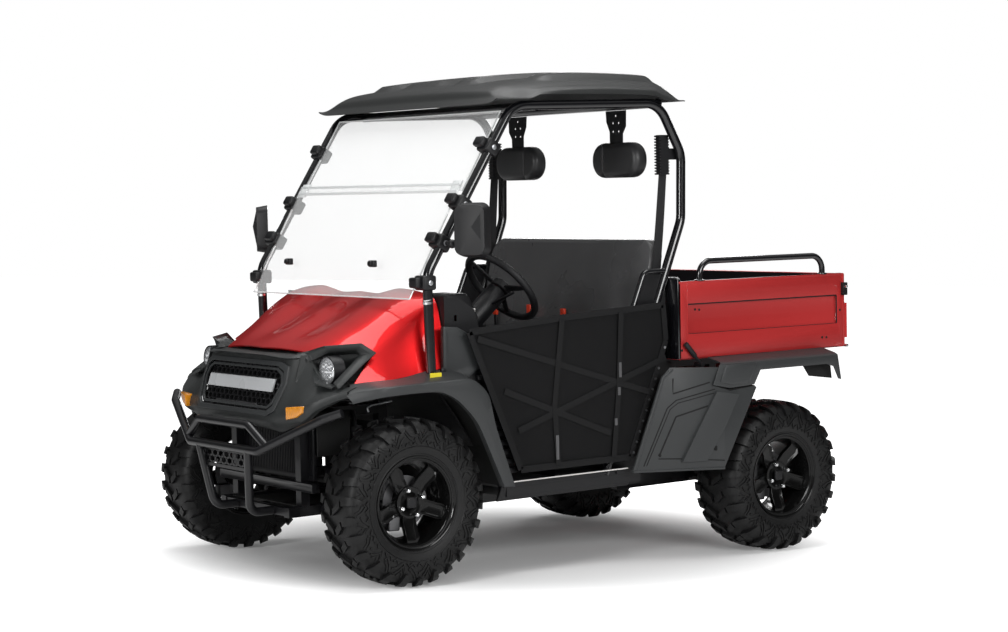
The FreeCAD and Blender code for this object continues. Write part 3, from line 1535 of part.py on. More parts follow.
def belts():
    """The left seat belt: its retractor's boot on the cage, and the webbing to its end."""
    w = belt_width / 2
    t = belt_thickness
    x = belt_boot_x
    y = belt_boot_y
    inside = cage_y - cage_tube_radius - seat_gap
    boot = box(x - w, x + w, y - (inside - y), inside, belt_boot_low_z, belt_boot_top_z)
    tab = box(rear_pillar_shoulder_x, x, inside - t * 2, inside, rear_pillar_shoulder_z - w,
              rear_pillar_shoulder_z + w)
    rows = ((x, y, belt_boot_low_z + overrun), (belt_turn_x, belt_side_y, belt_turn_z),
            (belt_turn_x, belt_side_y, belt_end_z))
    outer = [[V(a - w, b, c), V(a + w, b, c)] for a, b, c in rows]
    inner = [[p - V(0, t, 0) for p in row] for row in outer]
    return fused([boot, tab, panel(outer, inner)])


def save(name, shape, level):
    """Writes one piece, raked unless it stands level with the ground."""
    piece = shape if level else raked(shape)
    piece.exportStep(os.path.join("parts", name + ".step"))
    print(name, len(piece.Solids), round(piece.Volume / 1e6, 3), piece.isValid())


def main():
    """Builds and writes every piece."""
    os.makedirs("parts", exist_ok=True)
    level = True
    body = False
    save("main_frame", main_frame(), body)
    save("front_frame", front_frame(), body)
    save("rear_frame", rear_frame(), body)
    save("floor_pan", floor_pan(), body)
    save("front_guard", front_guard(), body)
    save("front_fascia", fascia(), body)
    save("grille", grille(), body)
    save("headlamps", both(headlamp()), body)
    save("turn_lamps", both(turn_lamp()), body)
    save("hood", hood(), body)
    fender = front_fender()
    save("front_fender_left", fender, body)
    save("front_fender_right", mirrored(fender), body)
    save("dashboard", dashboard(), body)
    save("steering_column", steering_column(), body)
    save("steering_wheel", steering_wheel(), body)
    save("pedals", pedals(), body)
    save("seat_base", seat_base(), body)
    save("seat_cushion", seat_cushion(), body)
    save("seat_back", seat_back(), body)
    save("headrests", both(headrest()), body)
    save("headrest_brackets", both(headrest_bracket()), body)
    save("roll_cage", roll_cage(), body)
    save("roof", roof(), body)
    save("windscreen_upper", upper_screen(0), body)
    save("windscreen_lower", lower_screen(0), body)
    save("windscreen_clamps", clamps(), body)
    save("mirrors", both(mirror_left()), body)
    save("door_nets", both(door_net()), body)
    panel = side_panel()
    save("rear_panel_left", panel, body)
    save("rear_panel_right", mirrored(panel), body)
    flare = rear_flare()
    save("rear_flare_left", flare, body)
    save("rear_flare_right", mirrored(flare), body)
    save("bed", bed(), body)
    save("tailgate", tailgate(), body)
    save("bed_rails", both(bed_side_rail()), body)
    save("tail_lamps", both(tail_lamp()), body)
    save("engine", engine(), body)
    save("exhaust", exhaust(), body)
    save("seat_belts", both(belts()), body)
    save("receiver", receiver(), body)
    save("steering_rack", rack_housing(), level)
    save("tie_rods", tie_rods(), level)
    save("front_arms", front_suspension(), level)
    save("rear_arms", rear_suspension(), level)
    save("shocks", shocks(), level)
    save("final_drive", final_drives(), level)
    left = knuckle()
    save("knuckle_left", left, level)
    save("knuckle_right", mirrored(left), level)
    corners = (("front", front_axle_x, front_track / 2, front_tyre_width),
               ("rear", rear_axle_x, rear_track / 2, rear_tyre_width))
    for end, x, y, width in corners:
        rubber = tyre(width)
        metal = rim(width)
        for name, side in (("left", 1), ("right", -1)):
            save("tyre_" + end + "_" + name, wheel_place(rubber, x, y, side), level)
            save("rim_" + end + "_" + name, wheel_place(metal, x, y, side), level)


main()
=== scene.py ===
"""Looks of a side by side utility vehicle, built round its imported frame.

Metres, in the frame's own axes: X forward, Y to the vehicle's left, Z up. The bodywork is
modelled level and then raked with the vehicle, whose nose stands lower than its tail.
"""
import logging
import math
from contextlib import contextmanager
from dataclasses import dataclass
from enum import Enum
from typing import Callable, Iterator, Sequence

import bpy
import numpy as np
from mathutils import Matrix, Vector


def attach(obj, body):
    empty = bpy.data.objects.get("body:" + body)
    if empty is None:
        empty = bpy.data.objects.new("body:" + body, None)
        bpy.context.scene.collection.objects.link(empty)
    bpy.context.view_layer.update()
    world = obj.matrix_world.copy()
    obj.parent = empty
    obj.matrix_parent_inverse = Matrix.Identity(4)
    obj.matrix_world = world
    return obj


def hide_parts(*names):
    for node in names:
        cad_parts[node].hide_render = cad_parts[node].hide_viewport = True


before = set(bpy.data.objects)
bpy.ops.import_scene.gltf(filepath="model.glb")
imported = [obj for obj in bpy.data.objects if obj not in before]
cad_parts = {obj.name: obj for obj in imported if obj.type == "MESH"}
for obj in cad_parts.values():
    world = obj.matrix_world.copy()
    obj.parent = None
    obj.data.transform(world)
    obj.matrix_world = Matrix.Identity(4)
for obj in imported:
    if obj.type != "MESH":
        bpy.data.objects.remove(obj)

LOG = logging.getLogger("utility_vehicle")
Point = Sequence[float]
Line = Sequence[Point]
Test = Callable[[Vector, Vector], bool]
Object = bpy.types.Object
Box = tuple[Point, Point]

RAKE_DEGREES = 2.18
AXLE = Vector((0.9265, 0.0, 0.315))
RAKE = Matrix.Translation(AXLE) @ Matrix.Rotation(math.radians(RAKE_DEGREES), 4, "Y") \
    @ Matrix.Translation(-AXLE)
MIRROR = Matrix.Scale(-1, 4, (0, 1, 0))
# Edge roundings, from a cut sheet's to a soft moulding's
FINE, CRISP, PRESSED, EASED, SOFT, FULL = 0.0006, 0.001, 0.0015, 0.002, 0.003, 0.004


class Grab(Enum):
    """What is selected in edit mode."""
    VERT = 0
    EDGE = 1
    FACE = 2


class Side(Enum):
    """The vehicle's two sides."""
    LEFT = 1
    RIGHT = -1

    @property
    def word(self) -> str:
        """The side's name in a node's name."""
        return self.name.lower()

    @property
    def turn(self) -> Matrix:
        """What turns a piece of the left side into this side's."""
        return Matrix.Identity(4) if self is Side.LEFT else MIRROR


# Modelling by hand: primitives, edit-mode operators and applied modifiers

def deselect() -> None:
    """Leaves nothing selected."""
    bpy.ops.object.select_all(action="DESELECT")


def activate(obj: Object) -> None:
    """Selects one object alone.

    Args:
        obj: the object.
    """
    deselect()
    obj.select_set(True)
    bpy.context.view_layer.objects.active = obj


def primitive(name: str, add: Callable, **settings: object) -> Object:
    """Adds a primitive to be shaped further.

    Args:
        name: the piece's name.
        add: the operator from bpy.ops.mesh.
        settings: the operator's settings.
    Returns:
        The new object, with its origin at the vehicle's and its place in its mesh.
    """
    deselect()
    add(**settings)
    obj = bpy.context.object
    obj.name = name
    obj.data.transform(obj.matrix_world)
    obj.matrix_world = Matrix.Identity(4)
    return obj


@contextmanager
def editing(obj: Object, grab: Grab = Grab.FACE) -> Iterator[None]:
    """Opens edit mode on one object, with what was picked before still selected.

    Args:
        obj: the object to edit.
        grab: the kind of selection.
    Yields:
        Nothing, while the mode is open.
    """
    activate(obj)
    bpy.context.tool_settings.mesh_select_mode = [grab.value == i for i in range(3)]
    bpy.ops.object.mode_set(mode="EDIT")
    yield
    bpy.ops.object.mode_set(mode="OBJECT")


def pick(obj: Object, test: Test, grab: Grab = Grab.FACE) -> None:
    """Selects vertices, edges or faces by their place and direction.

    Args:
        obj: the object whose elements are selected.
        test: takes the place and the normal, or an edge's direction.
        grab: the kind of element.
    """
    mesh = obj.data
    bpy.context.tool_settings.mesh_select_mode = [grab.value == i for i in range(3)]
    for group in (mesh.vertices, mesh.edges, mesh.polygons):
        group.foreach_set("select", [False] * len(group))
    if grab is Grab.FACE:
        for face in mesh.polygons:
            face.select = test(face.center, face.normal)
    elif grab is Grab.EDGE:
        for edge in mesh.edges:
            a, b = (mesh.vertices[i].co for i in edge.vertices)
            edge.select = test((a + b) / 2, (b - a).normalized())
    else:
        for vertex in mesh.vertices:
            vertex.select = test(vertex.co, vertex.normal)


def work(obj: Object, test: Test, operator: Callable, grab: Grab = Grab.FACE,
         **settings: object) -> None:
    """Runs one edit-mode operator on the elements that a test picks.

    Args:
        obj: the object to edit.
        test: picks the elements.
        operator: the operator from bpy.ops.mesh or bpy.ops.transform.
        grab: the kind of element.
        settings: the operator's settings.
    """
    pick(obj, test, grab)
    with editing(obj, grab):
        operator(**settings)


def everything(place: Vector, normal: Vector) -> bool:
    """Picks all there is."""
    return True


def facing(way: str, least: float = 0.9) -> Test:
    """Picks the faces that look along an axis, such as x or -x."""
    sign = -1 if way[0] == "-" else 1
    return lambda place, normal: sign * getattr(normal, way[-1]) > least


def extrude(obj: Object, test: Test, move: Point) -> None:
    """Extrudes the picked faces along a vector."""
    work(obj, test, bpy.ops.mesh.extrude_region_move, TRANSFORM_OT_translate={"value": move})


def inset(obj: Object, test: Test, thickness: float, depth: float) -> None:
    """Insets the picked faces as one region and sinks or raises them."""
    work(obj, test, bpy.ops.mesh.inset, thickness=thickness, depth=depth, use_boundary=True)


def moved(obj: Object, test: Test, move: Point, grab: Grab = Grab.FACE) -> None:
    """Shifts the picked faces or vertices."""
    work(obj, test, bpy.ops.transform.translate, grab, value=move)


def resized(obj: Object, test: Test, factors: Point) -> None:
    """Resizes the picked faces about their middle."""
    work(obj, test, bpy.ops.transform.resize, value=factors)


def sliced(obj: Object, point: Point, normal: Point, test: Test = everything) -> None:
    """Divides the picked faces by a plane."""
    work(obj, test, bpy.ops.mesh.bisect, plane_co=point, plane_no=normal)


def outward(obj: Object) -> Object:
    """Merges doubles and points every face outwards.

    Args:
        obj: the object.
    Returns:
        The same object.
    """
    pick(obj, everything, Grab.VERT)
    with editing(obj, Grab.VERT):
        bpy.ops.mesh.remove_doubles(threshold=0.00002)
        bpy.ops.mesh.normals_make_consistent(inside=False)
    return obj


def modify(obj: Object, kind: str, **settings: object) -> Object:
    """Adds one modifier and applies it.

    Args:
        obj: the object to change.
        kind: the modifier's type.
        settings: the modifier's properties.
    Returns:
        The same object.
    """
    activate(obj)
    modifier = obj.modifiers.new(kind.lower(), kind)
    for key, value in settings.items():
        setattr(modifier, key, value)
    bpy.ops.object.modifier_apply(modifier=modifier.name)
    return obj


def bevelled(obj: Object, width: float, segments: int = 2, degrees: float = 35.0) -> Object:
    """Rounds the edges that turn by more than an angle."""
    return modify(obj, "BEVEL", width=width, segments=segments, limit_method="ANGLE",
                  angle_limit=math.radians(degrees), harden_normals=False)


def array(obj: Object, count: int, step: Point) -> Object:
    """Repeats an object in even steps."""
    return modify(obj, "ARRAY", count=count, use_relative_offset=False, use_constant_offset=True,
                  constant_offset_displace=step)


def divided(obj: Object, levels: int) -> Object:
    """Applies a subdivision surface that keeps open corners."""
    return modify(obj, "SUBSURF", levels=levels, render_levels=levels,
                  boundary_smooth="PRESERVE_CORNERS")


def walled(obj: Object, wall: float, offset: float = -1.0) -> Object:
    """Gives a sheet its thickness, inwards by default."""
    return modify(obj, "SOLIDIFY", thickness=wall, offset=offset, use_even_offset=True)


def smooth(obj: Object, degrees: float = 35.0) -> Object:
    """Shades smooth, apart from edges that turn by more than an angle.

    Args:
        obj: the object.
        degrees: the angle from which an edge stays sharp.
    Returns:
        The same object.
    """
    activate(obj)
    bpy.ops.object.shade_smooth_by_angle(angle=math.radians(degrees))
    return obj


def rounded(obj: Object, width: float, segments: int = 2, degrees: float = 40.0) -> Object:
    """Rounds the sharp edges and shades the piece smooth."""
    return smooth(bevelled(obj, width, segments), degrees)


def copied(obj: Object, name: str, place: Matrix) -> Object:
    """A copy with its own mesh, put elsewhere.

    Args:
        obj: the object to copy.
        name: the copy's name.
        place: the matrix that moves it. One that mirrors turns the faces round again.
    Returns:
        The copy.
    """
    other = obj.copy()
    other.data = obj.data.copy()
    other.name = name
    bpy.context.scene.collection.objects.link(other)
    other.data.transform(place)
    if place.determinant() < 0:
        other.data.flip_normals()
    return other


def joined(name: str, parts: Sequence[Object]) -> Object:
    """Joins objects into the first and names it.

    Args:
        name: its name.
        parts: the objects, of which the first one stays.
    Returns:
        The joined object.
    """
    deselect()
    for part in parts:
        part.select_set(True)
    bpy.context.view_layer.objects.active = parts[0]
    bpy.ops.object.join()
    parts[0].name = name
    return parts[0]


def both(obj: Object) -> Object:
    """Joins an object with its mirror image on the vehicle's other side."""
    return joined(obj.name, [obj, copied(obj, obj.name + "_other", MIRROR)])


def ringed(obj: Object, count: int, centre: Point, axis: str, shift: float = 0.0) -> Object:
    """Repeats an object round an axis and joins the copies.

    Args:
        obj: the object at its first place.
        count: how many there are in all.
        centre: a point of the axis.
        axis: X, Y or Z.
        shift: the turn of the first copy, in radians.
    Returns:
        All copies as one object.
    """
    middle = Matrix.Translation(centre)
    parts = []
    for index in range(count):
        turn = Matrix.Rotation(shift + index * math.tau / count, 4, axis)
        parts.append(copied(obj, obj.name + "_copy", middle @ turn @ middle.inverted()))
    name = obj.name
    bpy.data.objects.remove(obj)
    return joined(name, parts)


def block(name: str, low: Point, high: Point) -> Object:
    """A cuboid between two corners, to be shaped further.

    Args:
        name: its name.
        low: the lowest corner.
        high: the highest corner.
    Returns:
        The cuboid.
    """
    low, high = Vector(low), Vector(high)
    return primitive(name, bpy.ops.mesh.primitive_cube_add, size=1, location=(low + high) / 2,
                     scale=high - low)


def disc(name: str, centre: Point, radius: float, axis: Point, sides: int) -> Object:
    """A filled circle facing along an axis.

    Args:
        name: its name.
        centre: its middle.
        radius: its radius.
        axis: the direction that it faces.
        sides: the number of its sides.
    Returns:
        The circle.
    """
    turn = Vector(axis).to_track_quat("Z", "Y").to_euler()
    return primitive(name, bpy.ops.mesh.primitive_circle_add, vertices=sides, radius=radius,
                     fill_type="NGON", location=centre, rotation=turn)


def ball(name: str, centre: Point, radius: float, flat: float, segments: int) -> Object:
    """A globe, flattened along X."""
    return primitive(name, bpy.ops.mesh.primitive_uv_sphere_add, segments=segments,
                     ring_count=segments // 2, radius=radius, location=centre, scale=(flat, 1, 1))


def bead(name: str, centre: Point, radius: float, flat: float, levels: int) -> Object:
    """A many-sided lens, flattened along X."""
    return primitive(name, bpy.ops.mesh.primitive_ico_sphere_add, subdivisions=levels,
                     radius=radius, location=centre, scale=(flat, 1, 1))


def barrel(name: str, start: Point, end: Point, radius: float, sides: int = 24) -> Object:
    """A round bar between two points, to be shaped further.

    Args:
        name: its name.
        start: one end of its middle line.
        end: the other end.
        radius: its radius.
        sides: the number of its sides.
    Returns:
        The bar.
    """
    start, end = Vector(start), Vector(end)
    obj = disc(name, start, radius, end - start, sides)
    extrude(obj, everything, end - start)
    return outward(obj)


def plate(name: str, outline: Line, push: Point) -> Object:
    """A flat outline pushed along a vector.

    Args:
        name: the piece's name.
        outline: the corners, in three dimensions.
        push: the way and distance of the extrusion.
    Returns:
        The closed plate.
    """
    obj = primitive(name, bpy.ops.mesh.primitive_circle_add, vertices=len(outline),
                    fill_type="NGON")
    for vertex, corner in zip(obj.data.vertices, outline):
        vertex.co = corner
    extrude(obj, everything, push)
    return outward(obj)


def skin(name: str, rows: Sequence[Line]) -> Object:
    """A sheet through rows of points, drawn from a grid primitive.

    Args:
        name: the piece's name.
        rows: the points, each row as long as the first.
    Returns:
        The sheet, open at its edges.
    """
    tall, wide = len(rows) - 1, len(rows[0]) - 1
    obj = primitive(name, bpy.ops.mesh.primitive_grid_add, x_subdivisions=wide,
                    y_subdivisions=tall, size=1)
    for vertex in obj.data.vertices:
        column = round((vertex.co.x + 0.5) * wide)
        row = round((vertex.co.y + 0.5) * tall)
        vertex.co = rows[row][column]
    return obj


def bar(name: str, points: Line, radius: float, bend: float = 0.0,
        sides: int = 16) -> Object:
    """A round tube along straight runs joined by bends.

    Args:
        name: the piece's name.
        points: the corners of its centre line.
        radius: the tube's outer radius.
        bend: the radius of the bends.
        sides: how many sides its section has.
    Returns:
        The closed tube.
    """
    step = math.radians(8)
    line = [Vector(p) for p in points]
    obj = disc(name, line[0], radius, line[1] - line[0], sides)
    pick(obj, everything)
    start = line[0]
    with editing(obj):
        for before, corner, after in zip(line, line[1:], line[2:]):
            into = (corner - before).normalized()
            out = (after - corner).normalized()
            turn = into.angle(out)
            reach = bend * math.tan(turn / 2)
            bpy.ops.mesh.extrude_region_move(
                TRANSFORM_OT_translate={"value": corner - into * reach - start})
            middle = corner + (out - into).normalized() * (bend / math.cos(turn / 2))
            bpy.ops.mesh.spin(steps=max(1, round(turn / step)), angle=-turn, center=middle,
                              axis=into.cross(out).normalized())
            start = corner + out * reach
        bpy.ops.mesh.extrude_region_move(TRANSFORM_OT_translate={"value": line[-1] - start})
    return smooth(outward(obj), 40)


def turned(name: str, profile: Line, steps: int) -> Object:
    """A ring about the Y axis through the origin, spun from a profile of (radius, y).

    Args:
        name: the piece's name.
        profile: the profile's points.
        steps: how many steps go round.
    Returns:
        The ring.
    """
    obj = primitive(name, bpy.ops.mesh.primitive_plane_add, size=1)
    places = [Vector((0.0, y, radius)) for radius, y in profile]
    pick(obj, everything, Grab.VERT)
    with editing(obj, Grab.VERT):
        bpy.ops.mesh.merge(type="CENTER")
        bpy.ops.transform.translate(value=places[0])
        for here, there in zip(places, places[1:] + places[:1]):
            bpy.ops.mesh.extrude_vertices_move(TRANSFORM_OT_translate={"value": there - here})
        bpy.ops.mesh.select_all(action="SELECT")
        bpy.ops.mesh.spin(steps=steps, angle=math.tau, center=(0, 0, 0), axis=(0, 1, 0))
    return outward(obj)


def carved(obj: Object, cutters: Sequence[Object], solver: str = "EXACT") -> Object:
    """Cuts closed shapes out of an object and deletes them.

    Args:
        obj: the object.
        cutters: the closed shapes to take away.
        solver: Blender's name of the method.
    Returns:
        The same object.
    """
    for cutter in cutters:
        modify(obj, "BOOLEAN", object=cutter, operation="DIFFERENCE", solver=solver)
        bpy.data.objects.remove(cutter)
    return obj


def honeycomb(name: str, pitch: float, strut: float, deep: float, columns: int,
              rows: int, flat: float) -> Object:
    """A flat honeycomb of struts in the YZ plane, centred on the origin.

    Args:
        name: the piece's name.
        pitch: the distance between neighbouring cells.
        strut: the width of the struts.
        deep: their depth along X.
        columns: how many cells lie side by side.
        rows: how many pairs of cell rows lie one above the other.
        flat: how much the cells are flattened.
    Returns:
        The honeycomb as one mesh.
    """
    side = pitch / math.sqrt(3)
    legs = []
    for turn in (90, 210, 330):
        leg = block(name, (0, -strut / 4, -strut / 2), (deep, side + strut / 4, strut / 2))
        leg.data.transform(Matrix.Rotation(math.radians(turn), 4, "X"))
        legs.append(leg)
    knot = joined(name, legs)
    other = copied(knot, name + "_row", Matrix.Translation((0, pitch / 2, side * 1.5)))
    cell = joined(name, [knot, other])
    array(array(cell, columns, (0, pitch, 0)), rows, (0, 0, side * 3))
    cell.data.transform(Matrix.Scale(flat, 4, (0, 0, 1))
                        @ Matrix.Translation((0, -pitch * columns / 2, -side * 1.5 * rows)))
    return cell


def trimmed(obj: Object, point: Point, normal: Point) -> Object:
    """Cuts away what lies beyond a plane and closes the cut.

    Args:
        obj: the object.
        point: a point of the plane.
        normal: the direction of what goes.
    Returns:
        The same object.
    """
    work(obj, everything, bpy.ops.mesh.bisect, plane_co=point, plane_no=normal,
         clear_outer=True, use_fill=False)
    return obj


def flow(points: object, steps: int, pull: float = 0.5) -> np.ndarray:
    """Points of a smooth curve through given ones.

    Args:
        points: an array whose first axis runs along the curve.
        steps: how many pieces each stretch is divided into.
        pull: how round the curve is, from 0, straight, to 0.5.
    Returns:
        The points of the curve, the given ones among them.
    """
    given = np.array(points, dtype=float)
    ends = np.concatenate([given[:1], given, given[-1:]])
    line = []
    for a, b, c, d in zip(ends, ends[1:], ends[2:], ends[3:]):
        leave, reach = (c - a) * pull, (d - b) * pull
        for step in range(steps):
            t = step / steps
            line.append(b * (2 * t ** 3 - 3 * t ** 2 + 1) + leave * (t ** 3 - 2 * t ** 2 + t)
                        + c * (3 * t ** 2 - 2 * t ** 3) + reach * (t ** 3 - t ** 2))
    return np.array(line + [given[-1]])


def moulding(name: str, rows: object, along: int, across: int, pull: float = 0.4) -> Object:
    """A smooth sheet through rows of points.

    Args:
        name: the piece's name.
        rows: the measured points, row by row.
        along: how finely the way from row to row is divided.
        across: how finely each row is divided.
        pull: how round the sheet is between its points.
    Returns:
        The open sheet.
    """
    grid = flow(rows, along, pull)
    grid = flow(grid.transpose(1, 0, 2), across, pull).transpose(1, 0, 2)
    return skin(name, grid.tolist())


def widened(half: Line) -> list[Point]:
    """A row from the vehicle's right to its left, from the left half that starts midway."""
    return [(x, -y, z) for x, y, z in reversed(half[1:])] + list(half)

def flip(point: Point) -> Point:
    """The same point on the right side."""
    return (point[0], -point[1], point[2])


def stretched_rows(stations: Sequence[float], across: Sequence[Line], origin: Point,
                   size: Point) -> list[list[Point]]:
    """Rows across a shell that is drawn in shares of its size.

    Args:
        stations: each row's share of the length, from the front.
        across: each row's left half, as shares of the half width and the height.
        origin: the front end of the middle of the shell's base.
        size: length, half width and height.
    Returns:
        The rows from right to left.
    """
    rows = []
    for station, half in zip(stations, across):
        x = origin[0] - station * size[0]
        rows.append(widened([(x, y * size[1], origin[2] + z * size[2]) for y, z in half]))
    return rows


def side_plate(name: str, outline: Line, y: float, thick: float) -> Object:
    """A plate whose outline is given in X and Z, from y inwards."""
    return plate(name, [(x, y, z) for x, z in outline], (0, -thick, 0))


def front_plate(name: str, outline: Line, x: float, thick: float) -> Object:
    """A plate whose outline is given in Y and Z, from x rearwards."""
    return plate(name, [(x, y, z) for y, z in outline], (-thick, 0, 0))


def band_outline(chain: Line, half: float, unit: float = 1.0) -> list[Point]:
    """The outline of a band along a chain of points.

    Args:
        chain: the points of its centre line.
        half: half of its width.
        unit: the length of one unit of the first coordinate.
    Returns:
        The corners, up one side and down the other.
    """
    upper, lower = [], []
    for index, (s, t) in enumerate(chain):
        near, far = chain[max(index - 1, 0)], chain[min(index + 1, len(chain) - 1)]
        run = Vector(((far[0] - near[0]) * unit, far[1] - near[1])).normalized()
        upper.append((s - run.y * half / unit, t + run.x * half))
        lower.append((s + run.y * half / unit, t - run.x * half))
    return upper + lower[::-1]


def ribbon(name: str, chain: Line, half: float, y: float, thick: float) -> Object:
    """A flat band along a chain of X and Z, its outside at y."""
    return side_plate(name, band_outline(chain, half), y, thick)


def ramp(value: float, start: float, run: float) -> float:
    """Rises from zero to one over a run that begins at a start."""
    return min(max((value - start) / run, 0), 1)


def reshaped(obj: Object, change: Callable[[Vector], Vector]) -> Object:
    """Moves every vertex by a rule.

    Args:
        obj: the object.
        change: a vertex's new place from its old one.
    Returns:
        The same object.
    """
    for vertex in obj.data.vertices:
        vertex.co = change(vertex.co)
    obj.data.update()
    return obj


def cut_across(obj: Object, axis: int, places: Sequence[float]) -> Object:
    """Divides an object's faces by planes square to an axis.

    Args:
        obj: the object.
        axis: the number of the axis square to the planes.
        places: where the planes stand on that axis.
    Returns:
        The same object.
    """
    for place in places:
        point, normal = Vector((0, 0, 0)), Vector((0, 0, 0))
        point[axis], normal[axis] = place, 1
        sliced(obj, point, normal)
    return obj


# Materials

class Wire:
    """A node's output that takes part in arithmetic."""

    def __init__(self, shop: "Nodes", socket: bpy.types.NodeSocket) -> None:
        """Wraps one socket of a material's tree."""
        self.shop = shop
        self.socket = socket

    def math(self, operation: str, first: object, second: object) -> "Wire":
        """Adds one Math node."""
        return self.shop.node("ShaderNodeMath", {"operation": operation}, {0: first, 1: second})

    def __add__(self, other: object) -> "Wire":
        """The sum of two values."""
        return self.math("ADD", self, other)

    __radd__ = __add__

    def __rsub__(self, other: object) -> "Wire":
        """A value less this one."""
        return self.math("SUBTRACT", other, self)

    def __mul__(self, other: object) -> "Wire":
        """The product of two values."""
        return self.math("MULTIPLY", self, other)

    __rmul__ = __mul__

    def __gt__(self, other: object) -> "Wire":
        """One where this value is greater."""
        return self.math("GREATER_THAN", self, other)

    def larger(self, other: object) -> "Wire":
        """The larger of two values."""
        return self.math("MAXIMUM", self, other)

    def wave(self) -> "Wire":
        """The sine of this value."""
        return self.math("SINE", self, 0.0)


class Nodes:
    """The node tree of a material or a world."""

    def __init__(self, name: str, world: bool = False) -> None:
        """Starts an empty material or world.

        Args:
            name: its name.
            world: whether it is a world.
        """
        self.owner = (bpy.data.worlds if world else bpy.data.materials).new(name)
        self.owner.use_nodes = True
        self.tree = self.owner.node_tree
        self.tree.nodes.clear()

    def node(self, kind: str, settings: dict, inputs: dict, output: object = 0) -> Wire:
        """Adds any node.

        Args:
            kind: the node's type.
            settings: its properties, set first; stops are a ramp's places and colours.
            inputs: values or wires by socket name or number.
            output: the name or number of the socket that is returned.
        Returns:
            The chosen output.
        """
        made = self.tree.nodes.new(kind)
        for key, value in settings.items():
            if key == "stops":
                ramp = made.color_ramp.elements
                while len(ramp) < len(value):
                    ramp.new(1.0)
                for stop, (place, colour) in zip(ramp, value):
                    stop.position = place
                    stop.color = colour
            else:
                setattr(made, key, value)
        for key, value in inputs.items():
            if isinstance(value, Wire):
                self.tree.links.new(value.socket, made.inputs[key])
            else:
                made.inputs[key].default_value = value
        return Wire(self, made.outputs[output])

    def place(self) -> Wire:
        """Object coordinates in metres."""
        return self.node("ShaderNodeTexCoord", {}, {}, "Object")

    def axis(self, index: int) -> Wire:
        """One of the three object coordinates."""
        return self.node("ShaderNodeSeparateXYZ", {}, {0: self.place()}, index)

    def noise(self, scale: float, detail: float = 3.0) -> Wire:
        """Soft noise from zero to one on object coordinates."""
        return self.node("ShaderNodeTexNoise", {}, {"Vector": self.place(), "Scale": scale,
                                                    "Detail": detail})

    def cells(self, scale: float) -> Wire:
        """The distance to the nearest of scattered points."""
        return self.node("ShaderNodeTexVoronoi", {}, {"Vector": self.place(), "Scale": scale})

    def mix(self, factor: object, first: object, second: object) -> Wire:
        """Mixes two colours."""
        return self.node("ShaderNodeMix", {"data_type": "RGBA"}, {0: factor, 6: first, 7: second}, 2)

    def bump(self, height: Wire, distance: float, strength: float = 1.0) -> Wire:
        """A normal from a height."""
        return self.node("ShaderNodeBump", {}, {"Height": height, "Distance": distance,
                                                "Strength": strength})

    def surface(self, **inputs: object) -> bpy.types.Material:
        """Adds the main shader and the output.

        Args:
            inputs: the shader's sockets, with underscores for spaces.
        Returns:
            The finished material.
        """
        named = {key.replace("_", " "): value for key, value in inputs.items()}
        self.ended(self.node("ShaderNodeBsdfPrincipled", {}, named), "ShaderNodeOutputMaterial")
        return self.owner

    def ended(self, shader: Wire, kind: str) -> None:
        """Joins a shader to an output of the given type."""
        end = self.tree.nodes.new(kind)
        self.tree.links.new(shader.socket, end.inputs["Surface"])


Colour = tuple[float, float, float]


def tone(colour: Colour, factor: float = 1.0) -> tuple[float, float, float, float]:
    """A colour with its alpha, made lighter or darker."""
    return (colour[0] * factor, colour[1] * factor, colour[2] * factor, 1.0)


@dataclass(frozen=True)
class MouldedPlastic:
    """Moulded plastic with a leather-like grain and slight cloudiness."""
    name: str
    colour: Colour
    roughness: float = 0.5
    grain: float = 900.0
    depth: float = 0.00012
    shine: float = 0.4

    def build(self) -> bpy.types.Material:
        """Makes the material.

        Returns:
            The material.
        """
        shop = Nodes(self.name)
        cloud = shop.noise(3.0)
        colour = shop.mix(cloud, tone(self.colour, 0.88), tone(self.colour, 1.12))
        grain = shop.cells(self.grain) + shop.noise(self.grain / 3) * 0.5
        return shop.surface(Base_Color=colour, Roughness=cloud * 0.12 + (self.roughness - 0.06),
                            Normal=shop.bump(grain, self.depth), Specular_IOR_Level=self.shine)


@dataclass(frozen=True)
class GlossPaint:
    """Paint under a clear coat, with a faint orange peel."""
    name: str
    colour: Colour
    deep: Colour
    roughness: float = 0.35
    coat: float = 1.0
    shine: float = 0.25
    metal: float = 0.0

    def build(self) -> bpy.types.Material:
        """Makes the material.

        Returns:
            The material.
        """
        shop = Nodes(self.name)
        flake = shop.cells(2600.0)
        cloud = shop.noise(2.2)
        base = shop.mix(cloud, tone(self.colour), tone(self.deep))
        colour = shop.mix(flake * 0.25, base, tone(self.colour, 1.25))
        peel = shop.noise(180.0, 1.0)
        return shop.surface(Base_Color=colour, Roughness=flake * 0.1 + self.roughness,
                            Specular_IOR_Level=self.shine, Metallic=self.metal,
                            Coat_Weight=self.coat, Coat_Roughness=0.03,
                            Normal=shop.bump(peel, 0.00003))


@dataclass(frozen=True)
class CoatedSteel:
    """Powder-coated or painted steel tube and plate."""
    name: str
    colour: Colour
    roughness: float = 0.32
    coat: float = 0.4

    def build(self) -> bpy.types.Material:
        """Makes the material.

        Returns:
            The material.
        """
        shop = Nodes(self.name)
        cloud = shop.noise(6.0)
        colour = shop.mix(cloud, tone(self.colour, 0.8), tone(self.colour, 1.3))
        peel = shop.noise(420.0, 2.0)
        return shop.surface(Base_Color=colour, Roughness=cloud * 0.14 + (self.roughness - 0.07),
                            Coat_Weight=self.coat, Coat_Roughness=0.15,
                            Specular_IOR_Level=0.3,
                            Normal=shop.bump(peel, 0.00006))


